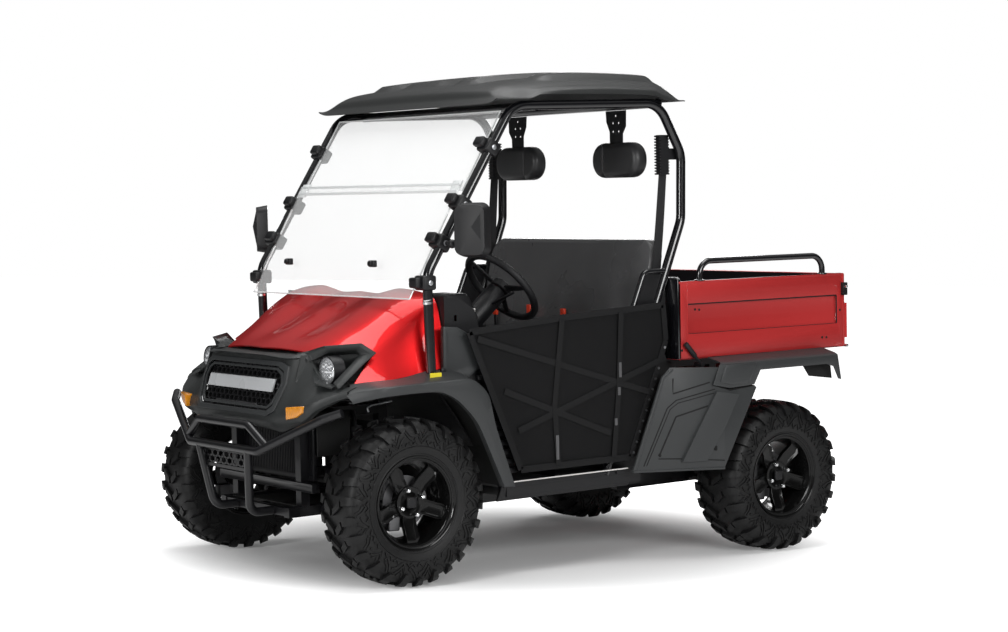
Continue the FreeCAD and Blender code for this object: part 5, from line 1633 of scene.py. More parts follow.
@dataclass
class Nose:
    """The front fascia with its grille, lamp surrounds and lamps."""
    front_x: float = 1.29
    depth: float = .325
    base_z: float = .585
    height: float = .305
    half_width: float = .56
    wall: float = .005
    slope: float = .371
    grille_low: float = .641
    grille_z: float = .738
    cell: float = .034
    strut: float = .006
    mesh_deep: float = .008
    flat: float = .66
    back: Box = ((-.004, -.335, .622), (0, .335, .85))
    bar: Box = ((0, -.242, .724), (.008, .242, .771))
    bar_edge: float = .004
    bar_face: Point = (.003, 0, 0)
    line_radius: float = .003
    lamp: Point = (1.132, .44, .806)
    cup_radius: float = .056
    cup_x: Point = (-.045, .004)
    cup_edge: float = .004
    cup_well: Point = (.004, -.012)
    crystal_radius: float = .047
    bead_radius: float = .013
    bead_circle: float = .027
    beads: int = 8
    glass_radius: float = .053
    cheek: float = .03
    turn_lamp_x: float = 1.284
    turn_lamp_deep: float = .036

    across = [0.0, .3, .5, .56, .64, .8, .9, 1.0, 1.07]
    profile = [
        [(.62, .905), (.25, .885), (.235, .85), (0, .18), (.03, .05), (.1, 0)],
        [(.62, .905), (.26, .885), (.245, .85), (.01, .18), (.04, .05), (.11, 0)],
        [(.62, .905), (.27, .87), (.255, .84), (.02, .18), (.05, .03), (.12, -.03)],
        [(.6, .91), (.31, .87), (.295, .84), (.035, .2), (.07, .04), (.13, -.02)],
        [(.66, .91), (.44, .87), (.42, .84), (.075, .24), (.09, .08), (.15, .03)],
        [(.74, .92), (.56, .8), (.5, .6), (.11, .32), (.115, .13), (.19, .11)],
        [(.7, .7), (.56, .6), (.46, .54), (.19, .38), (.195, .275), (.26, .265)],
        [(.66, .6), (.6, .57), (.52, .54), (.36, .475), (.37, .39), (.42, .385)],
        [(.62, .58), (.58, .56), (.53, .545), (.435, .5), (.44, .43), (.48, .42)]]
    # The grille's outer line as (y, z), and the recess that the lamp looks out of
    octagon = [(.257, .834), (.301, .817), (.313, .756), (.29, .661), (.255, .641)]
    recess = [(.345, .88), (.362, .838), (.43, .768), (.5, .748), (.6, .752), (.6, .95),
              (.345, .95)]
    # How the mesh is cut, as a point and a direction, both in Y and Z
    mesh_cuts = [(.286, 0, 1, 0), (-.286, 0, -1, 0), (0, .824, 0, 1), (0, .652, 0, -1),
                 (.27, .66, .9, -.43), (-.27, .66, -.9, -.43)]
    step_line = [(-.262, .656), (-.18, .657), (-.15, .674), (.15, .674), (.18, .657),
                 (.262, .656)]
    turn_lamp = [(.382, .677), (.382, .63), (.43, .64), (.462, .66), (.462, .684)]
    # The surround's outer edge, its inner edge and the foot of the recess's wall
    surround = [
        [(1.15, .285, .862), (1.14, .335, .872), (1.13, .42, .898), (1.018, .5, .906),
         (.968, .524, .866), (1.02, .532, .835), (1.158, .556, .744)],
        [(1.172, .292, .862), (1.15, .345, .866), (1.118, .424, .889), (1.028, .497, .896),
         (.99, .516, .864), (1.036, .524, .838), (1.16, .544, .752)],
        [(1.18, .312, .852), (1.14, .358, .856), (1.106, .42, .878), (1.03, .482, .884), (1.012, .492, .862),
         (1.04, .5, .842), (1.152, .516, .762)],
        [(1.1, .318, .842), (1.075, .345, .848), (1.06, .4, .864), (1.0, .446, .868), (.992, .452, .856),
         (1.01, .458, .836), (1.09, .48, .77)]]
    back_plate = [(1.13, .44, .76), (1.13, .35, .8)]
    recess_floor = [(1.155, .375, .818), (1.19, .44, .765), (1.165, .52, .75), (1.08, .5, .755),
                    (1.06, .36, .8)]
    recess_wall = [(1.185, .345, .862), (1.215, .345, .765), (1.15, .4, .745),
                   (1.08, .385, .77), (1.08, .36, .862)]

    def leaning(self, obj: Object, out: float) -> Object:
        """Leans a piece drawn in the YZ plane back with the grille.

        Args:
            obj: the object.
            out: how far it stands out from the grille's plane.
        Returns:
            The same object.
        """
        return reshaped(obj, lambda p: Vector((
            p.x + self.front_x + out - self.slope * (p.z - self.grille_low)
            - 1.3 * max(abs(p.y) - .2, 0) ** 2, p.y, p.z)))

    def ring(self, scale_out: float, scale_in: float, thick: float, out: float) -> Object:
        """A raised octagonal line round the grille, between two insets.

        Args:
            scale_out: the outer edge's distance inwards from the outline.
            scale_in: the inner edge's distance inwards from the outline.
            thick: its thickness.
            out: how far it stands out from the grille's plane.
        Returns:
            The line, leant back.
        """
        rings = []
        for inset_by in (scale_out, scale_in):
            left = [(y - inset_by * (1 if y > .26 else .55),
                     z - inset_by * (1 if z > .8 else -1 if z < .7 else 0))
                    for y, z in self.octagon]
            loop = left + [(-y, z) for y, z in reversed(left)]
            rings.append([(0.0, y, z) for y, z in loop + loop[:1]])
        band = outward(walled(outward(skin("ring", rings)), thick, 0))
        return smooth(bevelled(self.leaning(band, out), .0018, 3), 35)

    def fascia(self, bench: Bench) -> None:
        """Builds the fascia.

        Args:
            bench: what dresses and places the pieces.
        """
        rows = []
        for share, line in zip(self.across, self.profile):
            rows.append([(self.front_x - d * self.depth, share * self.half_width,
                          self.base_z + h * self.height) for d, h in line])
        rows = [[flip(p) for p in row] for row in reversed(rows[1:])] + rows
        shell = walled(moulding("fascia_shell", rows, 3, 3, .3), self.wall)
        opening = [(y - .012, z) for y, z in self.octagon]
        opening = opening + [(-y, z) for y, z in reversed(opening)]
        hole = plate("hole", [(1.1, y, z) for y, z in opening], (.3, 0, 0))
        lamp = plate("lamp", [(1.0, y, z) for y, z in self.recess], (.4, 0, 0))
        carved(outward(shell), [hole, copied(lamp, "lamp_other", MIRROR), lamp], "MANIFOLD")
        bench.finish(smooth(shell, 32), "nose_plastic", "chassis", ["front_fascia"], "grey_plastic")

    def grille(self, bench: Bench) -> None:
        """Builds the rings, the mesh, the blank bar and the stepped line under it.

        Args:
            bench: what dresses and places the pieces.
        """
        rings = [self.ring(-.004, .014, .012, .004), self.ring(.021, .03, .01, -.001)]
        bench.finish(joined("grille_rings", rings), "grey_plastic", "chassis", ["grille"],
                     "gloss_black")
        mesh = honeycomb("grille_mesh", self.cell, self.strut, self.mesh_deep, 20, 5, self.flat)
        mesh.data.transform(Matrix.Translation((0, 0, self.grille_z)))
        for y, z, out_y, out_z in self.mesh_cuts:
            trimmed(mesh, (0, y, z), (0, out_y, out_z))
        bench.finish(self.leaning(mesh, -.018), "trim_gloss")
        bench.finish(self.leaning(block("grille_back", *self.back), -.034), "recess_plastic")
        bar_face = block("grille_bar", *self.bar)
        inset(bar_face, facing("x"), self.bar_edge, 0.0)
        moved(bar_face, lambda p, n: n.x > .9 and abs(p.y) < .2, self.bar_face)
        bench.finish(rounded(self.leaning(bar_face, -.006), EASED, 2, 35), "bar_silver")
        steps = [barrel("step", (0, *a), (0, *b), self.line_radius, 10)
                 for a, b in zip(self.step_line, self.step_line[1:])]
        bench.finish(smooth(self.leaning(joined("grille_step", steps), -.004), 40), "trim_gloss")

    def surrounds(self, bench: Bench) -> None:
        """Builds the bands round the headlamps and the recesses that they stand in.

        Args:
            bench: what dresses and places the pieces.
        """
        loop = walled(moulding("lamp_surround", self.surround, 2, 1, .2), .006)
        bench.finish(both(rounded(outward(loop), .0025, 3)), "nose_plastic")
        parts = [plate("lamp_recess", self.surround[3] + self.back_plate, (-.012, 0, 0)),
                 plate("recess_floor", self.recess_floor, (0, 0, -.006)),
                 plate("recess_wall", self.recess_wall, (0, -.005, 0))]
        bench.finish(both(joined("lamp_recess", parts)), "nose_plastic")

    def lamps(self, bench: Bench) -> None:
        """Builds the headlamps and turn lamps of both sides.

        Args:
            bench: what dresses and places the pieces.
        """
        x, y, z = self.lamp
        back, front = self.cup_x
        cup = barrel("headlamp_cup", (x + back, y, z), (x + front, y, z), self.cup_radius, 48)
        inset(cup, facing("x"), self.cup_edge, 0.0)
        inset(cup, lambda p, n: n.x > .9 and p.x > x and (p - Vector(self.lamp)).length < .03,
              *self.cup_well)
        bench.finish(both(smooth(cup, 40)), "black_plastic")
        crystal = bead("headlamp_reflector", (x - .006, y, z), self.crystal_radius, .3, 4)
        bench.finish(both(crystal), "reflector", "chassis", ["headlamps"], "lamp_lens")
        beads = []
        for turn in range(self.beads):
            angle = turn * math.tau / self.beads
            beads.append(bead("bead", (x + .005, y + self.bead_circle * math.cos(angle),
                                       z + self.bead_circle * math.sin(angle)),
                              self.bead_radius, .5, 2))
        beads.append(bead("bead", (x + .009, y, z), self.bead_radius, .5, 2))
        bench.finish(both(joined("headlamp_crystals", beads)), "chrome")
        glass = ball("headlamp_glass", (x - .004, y, z), self.glass_radius, .42, 48)

        def cheeked(p: Vector) -> Vector:
            """Draws the lower part of the glass in."""
            below = max(z - self.cheek - p.z, 0)
            return Vector((p.x, y + (p.y - y) * (1 - .35 * below / .023), p.z - .4 * below))

        bench.finish(both(smooth(reshaped(glass, cheeked), 60)), "lamp_glass")
        amber = front_plate("turn_lamp_lens", self.turn_lamp, self.turn_lamp_x,
                            self.turn_lamp_deep)
        reshaped(amber, lambda p: Vector((p.x - (p.y - .38) * .3, p.y, p.z)))
        inset(amber, facing("x", .8), .004, .003)
        bench.finish(both(rounded(amber, EASED, 3, 35)), "amber_lens", "chassis", ["turn_lamps"],
                     "amber_lens")

    def build(self, bench: Bench) -> None:
        """Builds the whole nose.

        Args:
            bench: what dresses and places the pieces.
        """
        self.fascia(bench)
        self.grille(bench)
        self.surrounds(bench)
        self.lamps(bench)


@dataclass
class FrontFender:
    """The grey fender over each front wheel, its inner panel and louvres."""
    axle: Point = (.9265, .315)
    radius: float = .428
    outer_y: float = .7
    inner_y: float = .586
    wall: float = .004
    taper_from: float = .98
    taper_run: float = .246
    taper: Point = (.075, .1)
    panel_y: float = .606
    panel_thick: float = .022
    # The folded edge as (distance inwards, growth), the shoulder as (share, distance inwards)
    hem: Line = ((.03, -.004), (.006, -.003), (0, 0))
    shoulder: Line = ((.22, .01), (.55, .05))
    liner_y: float = .42
    liner_inset: float = .012
    liner_gap: float = .006
    louvre: Box = ((.5, .592, .742), (.56, .606, .76))
    louvres: int = 11
    louvre_step: Point = (-.0115, 0, -.037)
    label: Box = ((.764, .6535, .7695), (.816, .6555, .7875))
    plug: Box = ((.722, .6, .79), (.722, .612, .79))
    plug_radius: float = .011

    arch = [(.64, .902), (.31, .951), (-.05, .965), (-.3, .955), (-.5, .87), (-.7, .665),
            (-.86, .33), (-.985, .05)]
    lip = [(.7, .955), (.31, 1.005), (-.05, 1.02), (-.3, 1.01), (-.62, 1.01), (-.8, .86),
           (-.885, .56), (-1.075, .04)]
    top = [(.48, 1.03), (.31, 1.045), (-.05, 1.055), (-.36, 1.105), (-.66, 1.08), (-.815, .9),
           (-.895, .58), (-1.09, .04)]
    panel = [(.716, .955), (.65, .95), (.59, .918), (.548, .835), (.548, .788), (.6, .757),
             (.72, .757)]
    louvre_back = [(.6, .77), (.5, .8), (.38, .4), (.44, .37), (.53, .56)]

    def row(self, shares: Line, y: float, grow: float = 0.0) -> list[Point]:
        """Points round the axle at one distance from the middle.

        Args:
            shares: X and Z from the axle, as shares of the radius.
            y: the distance from the middle.
            grow: what is added to the arch's radius.
        Returns:
            The points, from front to back.
        """
        x, z = self.axle
        points = []
        for dx, dz in shares:
            ahead = x + dx * (self.radius + grow)
            draw = ramp(ahead, self.taper_from, self.taper_run) ** 2
            points.append((ahead - self.taper[0] * draw, y - self.taper[1] * draw,
                           z + dz * (self.radius + grow)))
        return points

    def between(self, share: float, y: float) -> list[Point]:
        """A row between the lip's edge and the top's.

        Args:
            share: 0 at the lip's edge, 1 at the top's.
            y: the distance from the middle.
        Returns:
            The points, from front to back.
        """
        mixed = [(a[0] + (b[0] - a[0]) * share, a[1] + (b[1] - a[1]) * share)
                 for a, b in zip(self.lip, self.top)]
        return self.row(mixed, y)

    def build(self, bench: Bench) -> None:
        """Builds both fenders.

        Args:
            bench: what dresses and places the pieces.
        """
        outer = self.outer_y
        rows = [self.row(self.arch, outer - into, grow) for into, grow in self.hem]
        rows.append(self.row(self.lip, outer))
        rows += [self.between(share, outer - into) for share, into in self.shoulder]
        rows.append(self.row(self.top, self.inner_y))
        shell = walled(moulding("fender_shell", rows, 2, 5, .36), -self.wall)
        panel = side_plate("fender_panel", self.panel, self.panel_y, self.panel_thick)
        inset(panel, facing("y"), .014, 0.0)
        inset(panel, lambda p, n: n.y > .9 and abs(p.z - .86) < .05 and p.x < .7, .008, -.004)
        whole = joined("fender_shell", [smooth(outward(shell), 40), rounded(panel, FULL, 3)])
        bench.pair(whole, "fender_shell_{}", "grey_plastic", "chassis", ["front_fender_{}"],
                   "grey_plastic")
        liner = moulding("wheel_liner", [self.row(self.arch, y, self.liner_gap)
                                         for y in (outer - self.liner_inset, self.liner_y)],
                         1, 5, .36)
        bench.finish(both(smooth(walled(liner, .003), 40)), "recess_plastic")
        slats = block("louvre", *self.louvre)
        reshaped(slats, lambda p: Vector((p.x, p.y + (.008 if p.z < .75 else 0), p.z)))
        array(slats, self.louvres, self.louvre_step)
        back = side_plate("louvre_back", self.louvre_back, .592, .006)
        bench.finish(both(joined("louvres", [bevelled(slats, EASED), back])), "black_plastic")
        bench.finish(bevelled(block("fender_label", *self.label), FINE), "plate_yellow")
        plug = barrel("fender_plug", *self.plug, self.plug_radius)
        bench.finish(both(rounded(plug, EASED)), "black_plastic")


@dataclass
class Roof:
    """The domed plastic roof with raised ribs and cut-away sides."""
    front_x: float = .468
    length: float = .963
    half_width: float = .65
    base_z: float = 1.817
    rise: float = .106
    wall: float = .004
    rib_height: float = .019
    rib_edge: float = .022
    skirt_lift: float = .016
    ribs: Line = ((-1, .2), (.34, .56), (.7, .86))
    bolt: Box = ((.335, .4, 1.85), (.345, .405, 1.886))
    bolt_radius: float = .013

    stations = [0.0, .025, .05, .12, .3, .5, .7, .88, .95, .985, 1.0]
    across = [
        [(0, -.17), (.45, -.17), (.8, -.17), (.9, -.15), (.95, -.08), (.975, -.01)],
        [(0, .08), (.45, .07), (.8, .05), (.9, .03), (.955, 0), (.98, -.02)],
        [(0, .42), (.45, .4), (.8, .33), (.89, .2), (.955, .02), (.985, -.02)],
        [(0, .7), (.45, .68), (.8, .58), (.91, .36), (.965, .05), (.99, -.01)],
        [(0, .9), (.45, .88), (.8, .77), (.92, .52), (.972, .18), (.985, .03)],
        [(0, 1), (.45, .98), (.8, .86), (.92, .58), (.975, .25), (.985, .05)],
        [(0, 1), (.45, .98), (.8, .86), (.92, .58), (.975, .25), (.985, .05)],
        [(0, .95), (.45, .93), (.8, .8), (.92, .5), (.975, .2), (.985, 0)],
        [(0, .7), (.45, .68), (.8, .56), (.91, .3), (.97, .05), (.985, 0)],
        [(0, .15), (.45, .13), (.8, .08), (.91, .03), (.96, 0), (.985, 0)],
        [(0, 0), (.45, 0), (.8, 0), (.91, 0), (.96, 0), (.975, -.01)]]

    def lifted(self, point: Vector) -> Vector:
        """Raises the ribs of the dome and the edge over the doors.

        Args:
            point: a point of the shell.
        Returns:
            Its raised place.
        """
        along = (self.front_x - point.x) / self.length
        side = abs(point.y) / self.half_width
        inside = ramp(along, .1, .03) * ramp(-along, -.9, .03)
        rib = 0.0
        for low, high in self.ribs:
            fore = inside if high < .8 else ramp(along, .27, .06) * inside
            rib = max(rib, fore * ramp(side, low, self.rib_edge) * ramp(-side, -high, self.rib_edge))
        skirt = ramp(side, .93, .045) * ramp(along, .17, .05) * ramp(-along, -.88, .05)
        return Vector((point.x, point.y,
                       point.z + rib * self.rib_height + skirt * self.skirt_lift))

    def build(self, bench: Bench) -> None:
        """Builds the shell and its bolts.

        Args:
            bench: what dresses and places the pieces.
        """
        rows = stretched_rows(self.stations, self.across, (self.front_x, 0, self.base_z),
                              (self.length, self.half_width, self.rise))
        shell = walled(reshaped(moulding("roof_shell", rows, 7, 10, .4), self.lifted), self.wall)
        bench.finish(smooth(shell, 30), "roof_plastic", "chassis", ["roof"], "roof_plastic")
        bolts = barrel("roof_bolts", *self.bolt, self.bolt_radius)
        bench.finish(both(rounded(bolts, SOFT)), "black_plastic")


@dataclass
class SidePanels:
    """The grey panels between doors and rear wheels, and the flares on the bed."""
    front_x: float = -.158
    front_y: float = .665
    rear_y: float = .765
    bend_x: float = -.568
    thick: float = .005
    band_thick: float = .008
    band_rise: Point = (0, .012, 0)
    shelf_wall: float = .004
    post_y: float = .6
    shade_y: float = .738
    tip_inset: float = .055

    outline = [(-.158, .329), (-.566, .316), (-.75, .634), (-.738, .64), (-.601, .628),
               (-.519, .655), (-.556, .728), (-.328, .738), (-.302, .712)]
    band = [(-.526, .63), (-.64, .612), (-.478, .35), (-.368, .352)]
    # Creases as chains of x and z with half widths, drawn as dark strips: painted shade.
    grooves = [([(-.339, .693), (-.338, .631), (-.502, .669)], .0028),
               ([(-.205, .345), (-.312, .574), (-.352, .604), (-.526, .64)], .0022),
               ([(-.217, .345), (-.324, .568), (-.36, .592), (-.52, .624)], .0016),
               ([(-.277, .39), (-.35, .537), (-.501, .575)], .0032),
               ([(-.27, .371), (-.368, .365), (-.566, .345)], .002)]
    flare = [(-.545, .738), (-.508, .657), (-.601, .639), (-.738, .645), (-.774, .703),
             (-1.16, .703), (-1.2, .69), (-1.228, .636), (-1.246, .632), (-1.226, .738)]
    tip = [(-1.07, .702), (-1.235, .7), (-1.243, .634), (-1.108, .652)]
    rim = [(-.164, .332), (-.296, .7), (-.337, .731)]
    # A dark plate behind the seam between panel and flare: painted shade in the gap.
    flange = [(-.16, .326), (-.566, .313)]
    seam = [(-.512, .652), (-.6, .63), (-.742, .638)]
    # Plugs as X, Z and radius
    plugs = [(-.527, .398, .01), (-.277, .385, .007)]
    post = [(-.17, .36), (-.3, .4), (-.43, .66), (-.43, .752), (-.392, .758), (-.392, .98),
            (-.35, .98), (-.33, .73)]
    # A dark sheet behind the same gap, also painted shade.
    shade = [(-.49, .625), (-.74, .612), (-.74, .69), (-.49, .69)]
    shelf = [[(-.545, .765, .738), (-.76, .765, .738), (-1.226, .765, .738)],
             [(-.56, .748, .748), (-.76, .748, .748), (-1.224, .748, .748)],
             [(-.56, .672, .765), (-.76, .672, .766), (-1.222, .672, .767)]]
    swell = [(-.575, .735), (-.545, .668), (-.61, .652), (-.706, .655), (-.752, .735)]

    def at(self, x: float) -> float:
        """The panel's distance from the middle at a place along the vehicle."""
        share = (self.front_x - x) / (self.front_x - self.bend_x)
        return self.front_y + min(max(share, 0), 1) * (self.rear_y - self.front_y)

    def fitted(self, obj: Object, lift: float) -> Object:
        """Lays a plate drawn at y = 0 onto the panel."""
        cut_across(obj, 0, (self.bend_x,))
        return reshaped(obj, lambda p: Vector((p.x, p.y + self.at(p.x) + lift, p.z)))

    def panel(self) -> Object:
        """The bent panel with its raised band, rolled rim and flange.

        Returns:
            The left panel.
        """
        face = self.fitted(side_plate("panel", self.outline, 0, self.thick), 0)
        band = side_plate("band", self.band, 0, self.band_thick)
        inset(band, facing("y"), .01, 0.0)
        moved(band, lambda p, n: n.y > .9 and abs(p.z - .48) < .09, self.band_rise)
        rim = self.fitted(ribbon("rim", self.rim, .006, 0, .012), .005)
        return joined("panel", [
            rounded(face, EASED, 2, 30), smooth(self.fitted(band, .001), 30),
            rounded(rim, SOFT, 3), self.fitted(ribbon("flange", self.flange, .004, 0, .02), .002)])

    def grooves_and_plugs(self) -> Object:
        """The painted shade of the panel's creases as dark strips, its plugs, and a dark plate behind the
        seam as painted shade.

        Returns:
            One object that holds the left side's.
        """
        lines = [self.fitted(ribbon("groove", chain, half, 0, .002), .0012)
                 for chain, half in self.grooves]
        for x, z, radius in self.plugs:
            y = self.at(x)
            lines.append(barrel("plug", (x, y - .002, z), (x, y + .0015, z), radius))
        lines.append(self.fitted(ribbon("seam", self.seam, .004, 0, .03), -.004))
        return joined("panel_grooves", lines)

    def arch(self) -> Object:
        """The flare: skirt, shelf under the bed and raised swell.

        Returns:
            The left flare.
        """
        skirt = rounded(side_plate("flare", self.flare, self.rear_y, self.thick), EASED, 2, 30)
        shelf = walled(outward(moulding("shelf", self.shelf, 3, 3, .4)), self.shelf_wall)
        swell = side_plate("swell", self.swell, self.rear_y + .004, self.band_thick)
        inset(swell, facing("y"), .012, .003)
        return joined("flare", [skirt, smooth(shelf, 40), rounded(swell, EASED, 2, 30)])

    def build(self, bench: Bench) -> None:
        """Builds panels, door posts and flares of both sides.

        Args:
            bench: what dresses and places the pieces.
        """
        bench.pair(self.panel(), "side_panel_{}", "grey_plastic", "chassis", ["rear_panel_{}"],
                   "grey_plastic")
        bench.finish(both(self.grooves_and_plugs()), "recess_plastic")
        # The door posts carry the dark sheet behind the gap between panel and flare, as painted shade.
        post = joined("door_posts", [side_plate("post", self.post, self.post_y, .02),
                                     side_plate("shade", self.shade, self.shade_y, .004)])
        bench.finish(both(bevelled(post, FULL)), "recess_plastic")
        bench.pair(self.arch(), "flare_{}", "grey_plastic", "bed", ["rear_flare_{}"],
                   "grey_plastic")
        tip = side_plate("flare_tip", self.tip, self.rear_y - self.tip_inset, .004)
        bench.finish(both(tip), "recess_plastic", "bed")


@dataclass
class CargoBed:
    """The red bed with stamped sides, its black headboard and the tailgate."""
    front_x: float = -.408
    rear_x: float = -1.358
    half: float = .676
    wall: float = .022
    floor_z: float = .762
    top_z: float = 1.079
    floor_thick: float = .004
    stamp: Box = ((-1.313, .666, .865), (-.456, .706, .988))
    stamp_deep: float = .01
    bead_x: Point = (-.4545, -.4515)
    ribs: int = 9
    rib_y: Point = (-.6, -.53)
    rib_pitch: float = .1413
    runner_x: Point = (-1.254, -.43)
    runner_z: float = .7285
    runner_y: float = .24
    runner_half: float = .0095
    bore: Point = (-1.235, .745, .01005)
    bore_half: float = .03
    latch: Box = ((-1.3635, .66, .985), (-1.338, .694, 1.04))
    gate_gap: float = .008
    gate_thick: float = .026
    gate_pin: Point = (-1.345, .776, .006)
    gate_pin_y: Point = (.6, .665)
    mark_radius: float = .0055

    # Screw heads on the side as (x, z), and the dark lines round the stamp with half widths: painted shade
    # along its edges, widest under its top and at its rear
    marks = [(-.503, .963), (-.526, .961), (-1.222, .809), (-1.248, .808), (-1.331, .922),
             (-.42, .8)]
    lines = [([(-.458, .9875), (-1.311, .9875)], .0034), ([(-1.311, .988), (-1.311, .866)], .0034),
             ([(-1.311, .866), (-.456, .866)], .001)]
    # The lever's rod and pivot as both ends, radius and number of sides
    lever = [((-.431, .69, .823), (-.512, .69, .738), .0065, 16),
             ((-.512, .655, .738), (-.512, .7, .738), .01, 20)]
    grip = ((-.427, .69, .828), (-.478, .69, .774), .011, 20)
    latch_pins = [((-1.35, .672, z), (-1.35, .702, z), .0065, 16) for z in (1.022, .768)]

    @property
    def inner(self) -> float:
        """The inside of the side walls."""
        return self.half - self.wall

    def side(self) -> Object:
        """The left side wall with its stamped panel.

        Returns:
            The wall.
        """
        rear, front, half, low, high = self.rear_x, self.front_x, self.half, self.floor_z, self.top_z
        wall = block("bed_side", (rear, self.inner, low), (front, half, high))
        carved(wall, [bevelled(block("stamp", *self.stamp), FULL, 2)])
        fold = block("fold", (rear, half - .002, low + .004), (rear + .012, half + .002, high - .002))
        bead = block("bead", (self.bead_x[0], half - .002, low + .004),
                     (self.bead_x[1], half + .0012, high - .004))
        lip = block("lip", (rear + .002, self.inner - .004, high - .008),
                    (front, half + .001, high + .001))
        return joined("bed_side", [rounded(p, PRESSED, 2, 30) for p in (wall, fold, bead, lip)])

    def runner(self, y: float) -> Object:
        """One runner under the floor, bored for the tilt pin.

        Args:
            y: the distance of the runner's middle from the bed's.
        Returns:
            The runner.
        """
        x, z, radius = self.bore
        beam = block("runner", (self.runner_x[0], y - self.runner_half, self.runner_z),
                     (self.runner_x[1], y + self.runner_half, self.floor_z))
        return carved(beam, [barrel("bore", (x, y - self.bore_half, z), (x, y + self.bore_half, z),
                                    radius)])

    def tub(self, bench: Bench) -> None:
        """Builds the walls, the floor on its runners and the black headboard.

        Args:
            bench: what dresses and places the pieces.
        """
        front, half, low, high = self.front_x, self.half, self.floor_z, self.top_z
        floor = block("bed_floor", (self.rear_x + .034, -half, low),
                      (front, half, low + self.floor_thick))
        parts = [both(self.side()), floor] + [self.runner(y) for y in (-self.runner_y, self.runner_y)]
        bench.finish(joined("bed_tub", parts), "red_bed_paint", "bed", ["bed"], "red_steel")
        head = block("bed_headboard", (front - self.wall, -half + .022, low + .002),
                     (front - .004, half - .022, high + .018))
        cap = block("cap", (front - .01, -half, low + .002), (front + .006, half, high + .014))
        bench.finish(joined("bed_headboard", [rounded(p, SOFT, 2, 30) for p in (head, cap)]),
                     "cage_steel", "bed")

    def liner(self, bench: Bench) -> None:
        """Builds the black inside of the bed.

        Args:
            bench: what dresses and places the pieces.
        """
        rear, front, low, high = self.rear_x + .036, self.front_x - .024, self.floor_z, self.top_z
        inner = self.inner
        rib = block("rib", (self.rear_x + .06, self.rib_y[0], low + .002),
                    (self.front_x - .05, self.rib_y[1], low + .008))
        ribs = bevelled(array(rib, self.ribs, (0, self.rib_pitch, 0)), SOFT)
        side = block("liner", (rear, inner - .0015, low + .004), (front, inner + .002, high - .009))
        sheet = block("sheet", (rear, -inner, low + .0035), (front, inner, low + .0055))
        cap_line = block("cap_line", (self.rear_x + .004, inner - .003, high + .0005),
                         (self.front_x, inner + .008, high + .0016))
        bench.finish(joined("bed_liner", [both(side), sheet, ribs, both(cap_line)]), "guard_steel",
                     "bed")

    def fittings(self, bench: Bench) -> None:
        """Builds the painted shade round the stamp, screws, levers and latches on the sides.

        Args:
            bench: what dresses and places the pieces.
        """
        # Dark strips laid on the side paint the shade along the stamp's top, rear and lower edges.
        lines = [ribbon("line", chain, half, self.half - .0002, .001) for chain, half in self.lines]
        bench.finish(both(joined("bed_lines", lines)), "guard_steel", "bed")
        (rear, _, low), (front, _, high) = self.stamp
        marks = []
        for x, z in self.marks:
            sunk = rear < x < front and low < z < high
            y = self.half - (self.stamp_deep if sunk else 0)
            marks.append(barrel("mark", (x, y - .001, z), (x, y + .0008, z), self.mark_radius, 16))
        bench.finish(both(joined("bed_marks", marks)), "recess_plastic", "bed")
        rod, pivot = (smooth(barrel("lever", *ends), 40) for ends in self.lever)
        grip = rounded(barrel("grip", *self.grip), SOFT)
        bench.finish(both(joined("bed_lever", [rod, grip, pivot])), "black_plastic", "bed")
        latch = block("latch", *self.latch)
        inset(latch, facing("y"), .007, -.003)
        bench.finish(both(rounded(latch, SOFT, 2, 35)), "black_plastic", "bed")
        pins = joined("latch_pins", [barrel("pin", *ends) for ends in self.latch_pins])
        bench.finish(both(rounded(pins, PRESSED)), "chrome", "bed")

    def tailgate(self, bench: Bench) -> None:
        """Builds the tailgate, its lining and its pins.

        Args:
            bench: what dresses and places the pieces.
        """
        rear, low, high = self.rear_x, self.floor_z, self.top_z
        half = self.inner - self.gate_gap
        gate = block("tailgate_panel", (rear, -half, low), (rear + self.gate_thick, half, high))
        inset(gate, facing("-x"), .04, 0.0)
        inset(gate, lambda p, n: n.x < -.9 and abs(p.y) < .1 and .85 < p.z < 1.0, .01, -.008)
        lining = block("tailgate_lining", (rear + .0255, .01 - half, low + .007),
                       (rear + .0275, half - .01, high - .002))
        bench.finish(lining, "guard_steel", "tailgate")
        x, z, radius = self.gate_pin
        start, end = self.gate_pin_y
        pins = [barrel("pin", (x, side * start, z), (x, side * end, z), radius, 20)
                for side in (-1, 1)]
        bench.finish(joined("tailgate_panel", [rounded(gate, SOFT, 2, 30)] + pins),
                     "red_bed_paint", "tailgate", ["tailgate"], "red_steel")

    def build(self, bench: Bench) -> None:
        """Builds the bed, its small parts and the tailgate.

        Args:
            bench: what dresses and places the pieces.
        """
        self.tub(bench)
        self.liner(bench)
        self.fittings(bench)
        self.tailgate(bench)


# Cab

